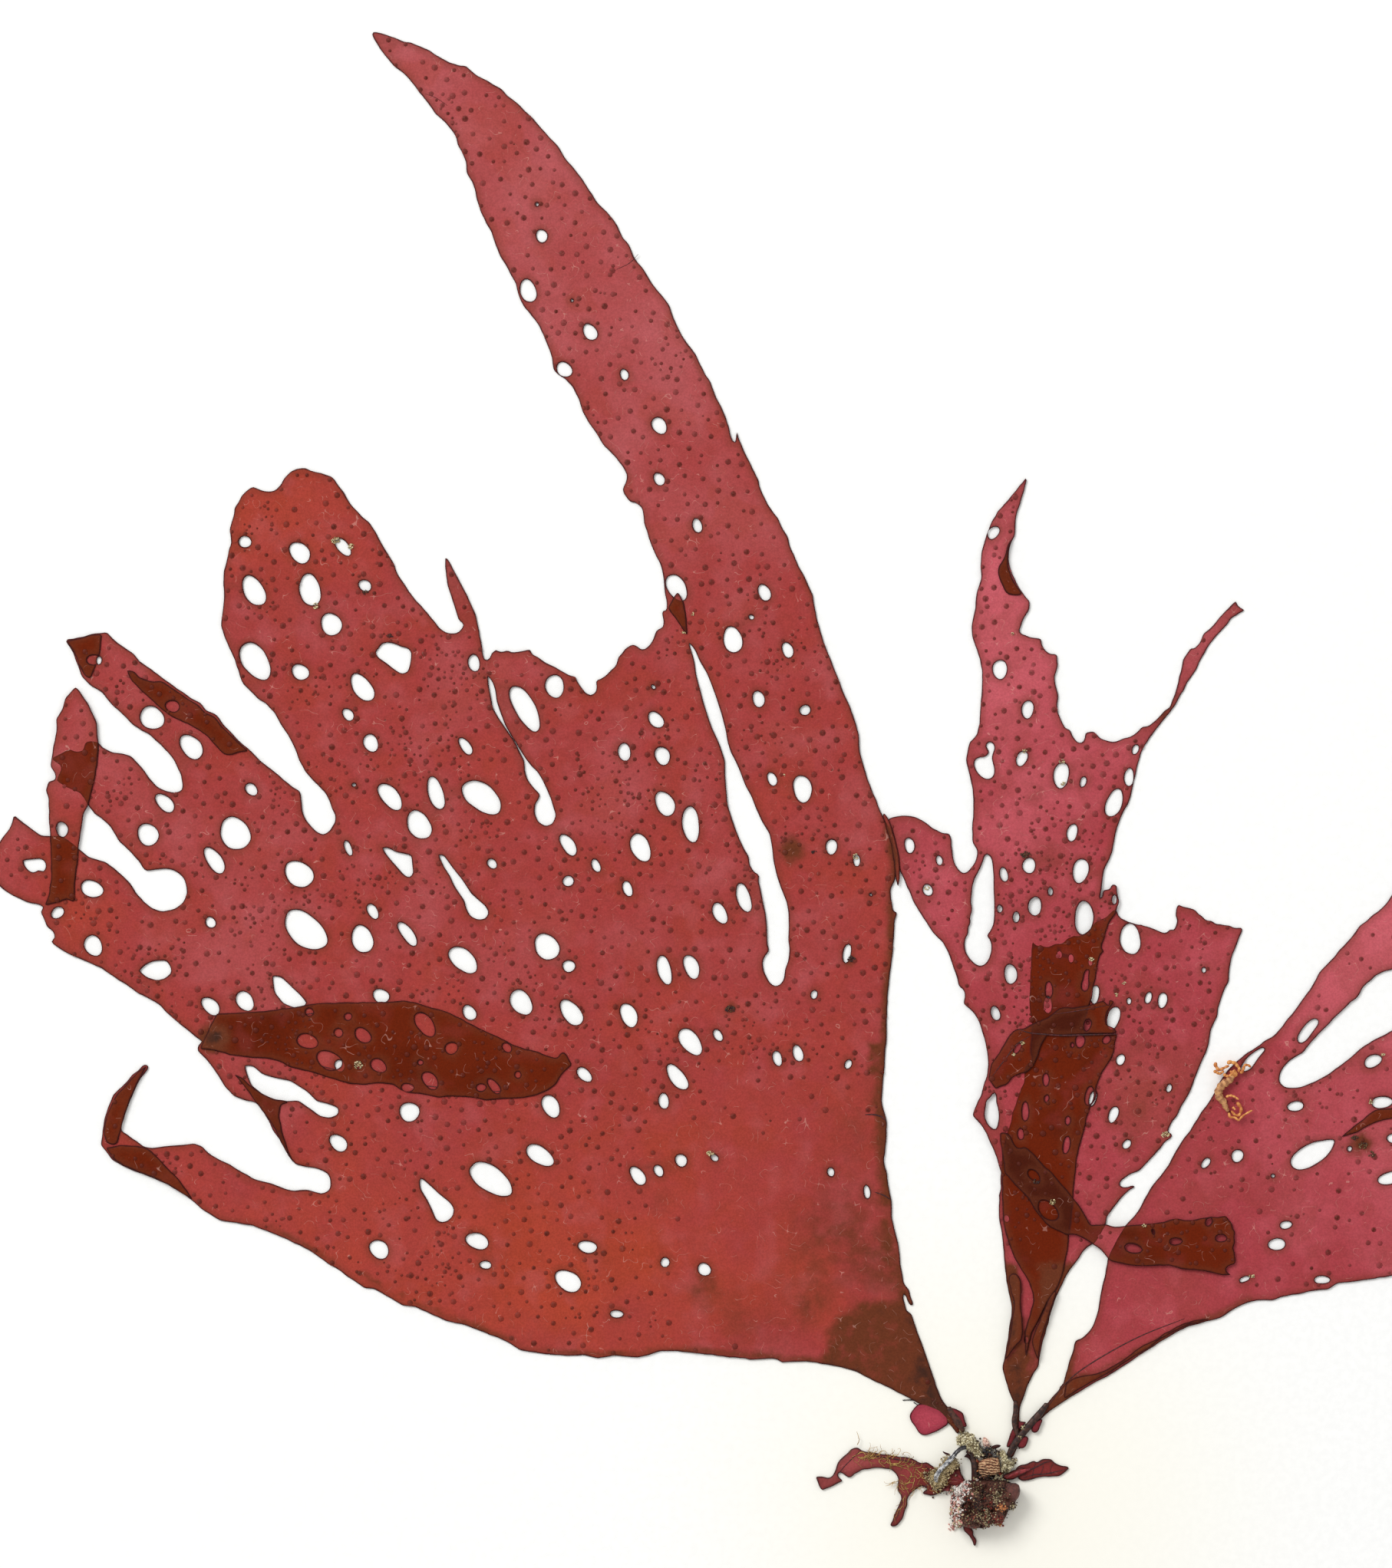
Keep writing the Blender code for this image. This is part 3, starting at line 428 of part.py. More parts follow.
HOLDFAST = pairs("""
-4.3 2.7  -3.6 3.1  -2.7 3.3  -1.9 3.4  -1 3.5  0 3.4  1 3.5  2 3.4  2.9 3.4  3.6 3.3  4.3 2.9  5.1 3
5.5 2.4  5.5 1.3  5.1 0.6  4.8 0  5 -0.5  4.5 -0.9  3.8 -1.4  3.4 -2.2  2.9 -3.1  2.2 -3.6  1.2 -3.5
0.6 -3.9  -0.2 -4.2  -1 -4  -1.6 -4.2  -2.6 -4.1  -3.3 -3.8  -4.1 -3.9  -4.9 -3.4  -4.8 -2.6  -5.6 -2.2
-5.4 -1.5  -5.1 -0.8  -5.2 0  -5 1  -4.8 1.9""")

SCRAP = pairs("""
-3.4 -3.2  -3.4 -4  -3.2 -4.7  -2.6 -5.2  -2.2 -5.7  -1.9 -6.1  -1.8 -6.6  -1.4 -7  -1.35 -6.4  -1.2 -6
-1.3 -5.5  -1.7 -5.1  -1.6 -4.7  -1.9 -4.2  -2.2 -3.4""")

STALK = pairs("""
-3.3 6.9  -2.7 7  -2.3 6.5  -2 5.6  -1.95 4.7  -1.95 2.6  -1.4 2.6  -1.45 5  -1.6 5.9  -1.9 6.6  -2.2 7.3  -2.5 7.6""")

SAND_LEFT = pairs("""
-4.5 9.5  -4.1 10  -3.4 10.3  -2.9 10.6  -2.4 10.5  -1.9 10.2  -1.5 9.7  -1.4 9  -0.8 8.8  -0.6 8.2
-0.4 7.6  -0.4 7.1  -0.8 7.0  -1.3 7.1  -1.6 7.6  -2.2 8  -2.9 8.4  -3.6 8.8  -4.2 9.1""")

SAND_RIGHT = pairs("""
2.6 7.7  3 8  3.1 7.6  3.1 6.7  3.9 6.2  4.3 6  4.3 5.3  3.8 4.9  3.3 4.6  2.9 4.7  2.9 5.6  2.8 6.6""")

BARNACLE_PLATE = pairs("""
-1 6.2  -0.5 6.5  0.2 6.6  0.9 6.8  1.6 7  2.2 7  2.4 6.4  2.5 5.5  2.4 4.7  1.9 4.3  1 4.1  0.2 4.05
-0.5 4.1  -0.9 4.5  -1 5.2""")

SHELL_CHIP = pairs("-0.2 9.9  0.3 9.8  0.8 9.2  0.9 8.5  0.5 8.2  0.1 8.4  -0.2 9.2")

SPONGE = pairs("""
-8.6 4.7  -8.8 3.6  -8.3 2.8  -7.8 2.2  -7 2  -6.4 2.3  -6 3  -6.2 3.9  -5.6 4.5  -5 5.1  -4.3 5.4  -4 5.9
-4.2 6.4  -4.7 6.8  -5.4 6.9  -6 7.1  -6.3 6.7  -6.4 5.8  -6.9 5.1  -7.6 4.9""")

RED_TIP = pairs("-6.65 8  -6.4 7.6  -6.2 7.4  -5.6 7.2  -5.1 7.2  -5.5 7.6  -6 7.65")

# The small dried shrimp on the right frond's margin, body first: (radius, path).
SHRIMP_PARTS = tuple((radius, pairs(text)) for radius, text in (
    (0.55, "38.4 66.2  38.1 65.6  37.5 65.1  36.9 64.7  36.4 64.1  36.2 63.4  36.4 62.7  37 62  37.3 61.2  37.7 60.6"),
    (0.3, "36.9 66.7  36.3 66.4  35.6 66.8  35.8 67.6  36.5 67.2  37.2 67.4  37.9 67.9  38.7 68  39.2 67.3  38.8 66.3"),
    (0.3, "38.4 66.4  37.6 66  36.9 66.5"),
    (0.3, "38.6 66.4  39.5 66.5  40.1 67.2  40.6 67.7  41.2 67.4"),
    (0.3, "36.9 62.4  37.8 63  38.7 62.8  39.3 62.3  39.7 61.2  39.4 60.1  38.6 60.1  37.8 60.5"),
    (0.3, "37.7 60.6  38 59.7  38.7 59.5  39.4 59.2  40.3 60.1  41.3 60.7"),
))

COLOURS = {
    "frond_left": ((0.36, 0.045, 0.03, 1.0), 0.45),
    "frond_middle": ((0.4, 0.05, 0.045, 1.0), 0.45),
    "frond_right": ((0.42, 0.06, 0.05, 1.0), 0.45),
    "bladelet_left": ((0.33, 0.1, 0.05, 1.0), 0.5),
    "bladelet_right": ((0.25, 0.04, 0.03, 1.0), 0.5),
    "holdfast": ((0.3, 0.2, 0.13, 1.0), 0.9),
    "sand_left": ((0.42, 0.3, 0.2, 1.0), 0.9),
    "sand_right": ((0.4, 0.3, 0.22, 1.0), 0.9),
    "barnacle_plate": ((0.6, 0.34, 0.24, 1.0), 0.6),
    "shell_chip": ((0.62, 0.5, 0.38, 1.0), 0.5),
    "sponge_crust": ((0.5, 0.38, 0.24, 1.0), 0.9),
    "dried_shrimp": ((0.7, 0.32, 0.12, 1.0), 0.5),
}


def thinned(ring, tolerance=OUTLINE_TOLERANCE):
    """Returns the closed ring without the points that lie within tolerance of the line between their neighbours."""

    def keep(first, last):
        start, end = Vector(ring[first]), Vector(ring[last % len(ring)])
        along = end - start
        worst, index = 0.0, None
        for i in range(first + 1, last):
            off = Vector(ring[i]) - start
            t = max(0.0, min(1.0, off.dot(along) / max(along.length_squared, 1e-9)))
            distance = (off - along * t).length
            if distance > worst:
                worst, index = distance, i
        if index is None or worst <= tolerance:
            return []
        return keep(first, index) + [index] + keep(index, last)

    far = max(range(len(ring)), key=lambda i: (Vector(ring[i]) - Vector(ring[0])).length)
    kept = [0] + keep(0, far) + [far] + keep(far, len(ring))
    return tuple(ring[i] for i in kept)


def oval(cx, cy, length, width, angle):
    """Returns the ring of a small oval hole whose long axis is turned by angle degrees from +X."""
    count = 6 if length < 2.3 else 8 if length < 5.0 else 10
    turn = math.radians(angle)
    ring = []
    for i in range(count):
        phase = 2 * math.pi * i / count
        u, v = 0.5 * length * math.cos(phase), 0.5 * width * math.sin(phase)
        ring.append((cx + u * math.cos(turn) - v * math.sin(turn), cy + u * math.sin(turn) + v * math.cos(turn)))
    return tuple(ring)


def mesh_of_curve(curve, name):
    """Replaces a curve object by a welded mesh object in the same place."""
    bpy.context.view_layer.update()
    graph = bpy.context.evaluated_depsgraph_get()
    mesh = bpy.data.meshes.new_from_object(curve.evaluated_get(graph))
    solid = bpy.data.objects.new(name, mesh)
    solid.matrix_world = curve.matrix_world
    parts.objects.link(solid)
    data = curve.data
    bpy.data.objects.remove(curve)
    bpy.data.curves.remove(data)
    solid.name = name
    shape = bmesh.new()
    shape.from_mesh(mesh)
    bmesh.ops.remove_doubles(shape, verts=shape.verts, dist=0.001)
    bmesh.ops.recalc_face_normals(shape, faces=shape.faces)
    shape.to_mesh(mesh)
    shape.free()
    return solid


def slab(name, outline, holes=(), low=0.0, high=BLADE_THICKNESS):
    """Makes a flat sheet with its holes, from a filled 2D curve extruded to both sides."""
    data = bpy.data.curves.new(name, "CURVE")
    data.dimensions = "2D"
    data.fill_mode = "BOTH"
    data.extrude = 0.5 * (high - low)
    for ring in (thinned(outline), *holes):
        spline = data.splines.new("POLY")
        spline.points.add(len(ring) - 1)
        for point, (x, y) in zip(spline.points, ring):
            point.co = (x, y, 0.0, 1.0)
        spline.use_cyclic_u = True
    curve = bpy.data.objects.new(name, data)
    parts.objects.link(curve)
    curve.location.z = 0.5 * (low + high)
    solid = mesh_of_curve(curve, name)
    solid.data.transform(solid.matrix_world)
    solid.matrix_world = Matrix()
    return solid


def tube(name, path, radius, level):
    """Makes a round tube along path, from a bevelled curve with filled caps."""
    data = bpy.data.curves.new(name, "CURVE")
    data.dimensions = "3D"
    data.bevel_depth = radius
    data.bevel_resolution = 1
    data.use_fill_caps = True
    spline = data.splines.new("POLY")
    spline.points.add(len(path) - 1)
    for point, (x, y) in zip(spline.points, path):
        point.co = (x, y, level, 1.0)
    curve = bpy.data.objects.new(name, data)
    parts.objects.link(curve)
    return mesh_of_curve(curve, name)


def mound(name, outline, low, height, lumps=0.12):
    """Makes a lumpy clump: its outline, lofted upwards through shrinking, uneven rings to a blunt top."""
    ring = thinned(outline, 0.08)
    middle = Vector((sum(x for x, _ in ring) / len(ring), sum(y for _, y in ring) / len(ring)))
    shape = bmesh.new()
    rings = []
    for rise, size in ((0.0, 0.97), (0.25, 1.0), (0.55, 0.9), (0.82, 0.62), (1.0, 0.3)):
        row = []
        for x, y in ring:
            out = Vector((x, y)) - middle
            bump = 1.0 + (lumps * noise.noise(Vector((x, y, 9.0 * rise)) * 0.9) if rise else 0.0)
            spot = middle + out * size * min(bump, 1.0 / size)
            lift = height * rise * (1.0 + (0.5 * lumps * noise.noise(Vector((y, x, 3.0))) if rise else 0.0))
            row.append(shape.verts.new((spot.x, spot.y, low + lift)))
        rings.append(row)
    shape.faces.new(rings[0])
    shape.faces.new(rings[-1])
    count = len(ring)
    for lower, upper in zip(rings, rings[1:]):
        for i in range(count):
            j = (i + 1) % count
            shape.faces.new((lower[i], lower[j], upper[j], upper[i]))
    bmesh.ops.triangulate(shape, faces=shape.faces)
    bmesh.ops.recalc_face_normals(shape, faces=shape.faces)
    mesh = bpy.data.meshes.new(name)
    shape.to_mesh(mesh)
    shape.free()
    solid = bpy.data.objects.new(name, mesh)
    parts.objects.link(solid)
    return solid


def creased(solid, lines, rise):
    """Bends a flat sheet: it is scored along straight lines, then each point is lifted by rise(x, y)."""
    shape = bmesh.new()
    shape.from_mesh(solid.data)
    for point, normal in lines:
        everything = shape.verts[:] + shape.edges[:] + shape.faces[:]
        bmesh.ops.bisect_plane(shape, geom=everything, plane_co=point, plane_no=normal, dist=1e-5)
    bmesh.ops.triangulate(shape, faces=shape.faces)
    for vert in shape.verts:
        vert.co.z += rise(vert.co.x, vert.co.y)
    shape.to_mesh(solid.data)
    shape.free()
    return solid


def front_rise(x, y):
    """Returns how far the front blade is lifted by the back blade under it."""
    across = min(1.0, max(0.0, (x - CLIMB_LEFT[0]) / (CLIMB_LEFT[1] - CLIMB_LEFT[0])))
    upwards = min(1.0, max(0.0, (CLIMB_TOP[1] - y) / (CLIMB_TOP[1] - CLIMB_TOP[0])))
    return LAYER_STEP * across * upwards


def joined(base, others):
    """Joins the other solids to base with one exact Boolean union."""
    group = bpy.data.collections.new(base.name + "_joined")
    cutters.children.link(group)
    for other in others:
        parts.objects.unlink(other)
        group.objects.link(other)
    modifier = base.modifiers.new("Grown together", "BOOLEAN")
    modifier.operation = "UNION"
    modifier.solver = "EXACT"
    modifier.operand_type = "COLLECTION"
    modifier.collection = group
    bpy.context.view_layer.update()
    graph = bpy.context.evaluated_depsgraph_get()
    mesh = bpy.data.meshes.new_from_object(base.evaluated_get(graph))
    base.modifiers.clear()
    base.data = mesh
    for other in others:
        bpy.data.objects.remove(other)
    bpy.data.collections.remove(group)
    return base


def coloured(solid):
    """Gives the solid its own material and brings its mesh to metres."""
    colour, roughness = COLOURS[solid.name]
    material = bpy.data.materials.new(solid.name)
    material.use_nodes = True
    shader = material.node_tree.nodes["Principled BSDF"]
    shader.inputs["Base Color"].default_value = colour
    shader.inputs["Roughness"].default_value = roughness
    shader.inputs["Metallic"].default_value = 0.0
    material.diffuse_color = colour
    solid.data.materials.clear()
    solid.data.materials.append(material)
    solid.data.transform(Matrix.Scale(UNITS_PER_MM, 4))
    solid.parent = plant
    return solid


def frond_left():
    """The widest frond: one holed blade with its folded flaps and the young leaves on its stipe."""
    holes = tuple(oval(*row) for row in LEFT_OVALS) + LEFT_CUTS
    blade = slab("frond_left", LEFT_OUTLINE, holes)
    laid = []
    for i, flap in enumerate(LEFT_FLAPS):
        holes = tuple(oval(*row) for row in LENS_OVALS) if i == 1 else ()
        laid.append(slab(f"left_flap_{i}", flap, holes, LAYER_STEP, LAYER_STEP + BLADE_THICKNESS))
    laid.append(slab("rose_tab", ROSE_TAB, (), 0.05, 0.05 + BLADE_THICKNESS))
    laid.append(slab("stipe_leaf", STIPE_LEAF, (), 0.1, 0.1 + BLADE_THICKNESS))
    return joined(blade, laid)


def frond_middle():
    """The tall frond: a back blade, the front blade on it, and the folds that cross both."""
    back = slab("frond_middle", MIDDLE_BACK, tuple(oval(*row) for row in MIDDLE_BACK_OVALS))
    holes = tuple(oval(*row) for row in MIDDLE_FRONT_OVALS) + MIDDLE_FRONT_CUTS
    front = slab("front_blade", MIDDLE_FRONT, holes)
    lines = [((CLIMB_LEFT[0], 0, 0), (1, 0, 0)), ((CLIMB_LEFT[1], 0, 0), (1, 0, 0))]
    lines += [((0, CLIMB_TOP[0], 0), (0, 1, 0)), ((0, CLIMB_TOP[1], 0), (0, 1, 0))]
    front = creased(front, lines, front_rise)
    top = THIRD_LAYER + BLADE_THICKNESS
    cross = slab("cross_flap", CROSS_FLAP, tuple(oval(*row) for row in CROSS_OVALS), THIRD_LAYER, top)
    strip = slab("diagonal_strip", DIAGONAL_STRIP, tuple(oval(*row) for row in DIAGONAL_OVALS), THIRD_LAYER, top)
    laid = [front, cross, strip]
    laid.append(slab("tip_flap", MIDDLE_FLAPS[0], (), 0.45, 0.45 + BLADE_THICKNESS))
    for i, flap in enumerate(MIDDLE_FLAPS[1:]):
        laid.append(slab(f"margin_fold_{i}", flap, (), 0.45, 1.2))
    for i, leaf in enumerate(JOINT_LEAVES):
        laid.append(slab(f"joint_leaf_{i}", leaf, (), 0.15 + 0.1 * i, 0.75 + 0.1 * i))
    return joined(back, laid)


def frond_right():
    """The frond that leans to the right, with its folded lower margin."""
    holes = tuple(oval(*row) for row in RIGHT_OVALS) + RIGHT_CUTS
    blade = slab("frond_right", RIGHT_OUTLINE, holes)
    top = LAYER_STEP + BLADE_THICKNESS
    laid = [slab(f"right_flap_{i}", flap, (), LAYER_STEP, top) for i, flap in enumerate(RIGHT_FLAPS)]
    laid.append(slab("right_leaf", RIGHT_LEAF, (), 0.4, 1.0))
    return joined(blade, laid)


def holdfast():
    """The sandy clump that the stipes grow from, with a scrap of weed below it and a bare stalk above it."""
    clump = mound("holdfast", HOLDFAST, 0.0, HOLDFAST_HEIGHT, 0.2)
    scrap = slab("scrap", SCRAP, (), 0.05, 0.05 + BLADE_THICKNESS)
    stalk = slab("stalk", STALK, (), 0.1, 0.1 + STALK_THICKNESS)
    return joined(clump, [scrap, stalk])


def dried_shrimp():
    """The small dried shrimp stuck on the right frond's margin: its body, legs and feelers."""
    rows = [tube(f"limb_{i}", path, radius, SHRIMP_LEVEL + 0.05 * i) for i, (radius, path) in enumerate(SHRIMP_PARTS)]
    rows[0].name = "dried_shrimp"
    return joined(rows[0], rows[1:])


for old in list(bpy.data.objects):
    bpy.data.objects.remove(old)
parts = bpy.data.collections.new("Perforated red seaweed")
cutters = bpy.data.collections.new("Cutters")
bpy.context.scene.collection.children.link(parts)
bpy.context.scene.collection.children.link(cutters)
cutters.hide_render = True
plant = bpy.data.objects.new("plant", None)
parts.objects.link(plant)

coloured(frond_left())
coloured(frond_middle())
coloured(frond_right())
coloured(slab("bladelet_left", FRILL))
coloured(slab("bladelet_right", SPINDLE))
coloured(holdfast())
coloured(mound("sand_left", SAND_LEFT, 0.0, LEFT_SAND_HEIGHT, 0.2))
coloured(mound("sand_right", SAND_RIGHT, 0.0, RIGHT_SAND_HEIGHT, 0.2))
coloured(mound("barnacle_plate", BARNACLE_PLATE, 0.0, PLATE_HEIGHT, 0.05))
coloured(mound("shell_chip", SHELL_CHIP, 0.0, CHIP_HEIGHT, 0.0))
coloured(mound("sponge_crust", SPONGE, CRUST_BASE, CRUST_HEIGHT, 0.15))
coloured(dried_shrimp())
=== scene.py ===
"""Looks for the perforated red seaweed: fine holed sheets, warts, sandy holdfast and small growths.

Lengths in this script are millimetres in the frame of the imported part, with the origin under the holdfast,
until Piece.place brings a finished mesh to metres.
"""

import logging
import math
from dataclasses import dataclass, field
from enum import Enum
from functools import cache
from itertools import chain

import bpy
import numpy as np
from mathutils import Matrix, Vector
from mathutils.geometry import delaunay_2d_cdt


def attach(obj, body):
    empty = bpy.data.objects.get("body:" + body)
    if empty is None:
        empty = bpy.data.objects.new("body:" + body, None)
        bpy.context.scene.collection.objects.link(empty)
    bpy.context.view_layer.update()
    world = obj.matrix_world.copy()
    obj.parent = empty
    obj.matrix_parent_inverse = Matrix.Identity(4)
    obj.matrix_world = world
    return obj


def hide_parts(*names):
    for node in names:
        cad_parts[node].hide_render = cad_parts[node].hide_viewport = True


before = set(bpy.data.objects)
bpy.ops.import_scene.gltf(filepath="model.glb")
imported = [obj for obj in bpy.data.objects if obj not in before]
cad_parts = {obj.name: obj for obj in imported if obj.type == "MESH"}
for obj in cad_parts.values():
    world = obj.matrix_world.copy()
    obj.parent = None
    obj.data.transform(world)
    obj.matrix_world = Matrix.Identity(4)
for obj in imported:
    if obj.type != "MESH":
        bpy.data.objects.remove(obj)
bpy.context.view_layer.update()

MM = 0.001
BODY = "root"
TINY = 1e-9
LATTICE = 64
LATTICE_SHIFT = 4096.0
RING_STEP = 0.2
SOFTENINGS = 3
FAR = 99.0
GAP_BLOCK, INSIDE_BLOCK = 256, 512
CLUMP_TOP = 0.985
SENSOR = 36.0
PAPER_HALF, PAPER_DROP = 1.5, 0.00003
log = logging.getLogger("seaweed")

Names = tuple[str, ...]
Row = tuple[float, ...]
Patches = tuple[tuple[float, float, float, float], ...]
Lines = tuple[tuple[str, float, float], ...]
Colour = tuple[int, int, int]
Socket = bpy.types.NodeSocket


def pairs(text: str) -> np.ndarray:
    """Turns numbers written in turn into rows of x and y.

    Args:
        text: the numbers, in millimetres, parted by spaces.

    Returns:
        An array with one point a row.
    """
    return np.array([float(word) for word in text.split()]).reshape(-1, 2)


# Outlines, holes and folds, in millimetres from the holdfast's centre, x to the right and y up the plant.

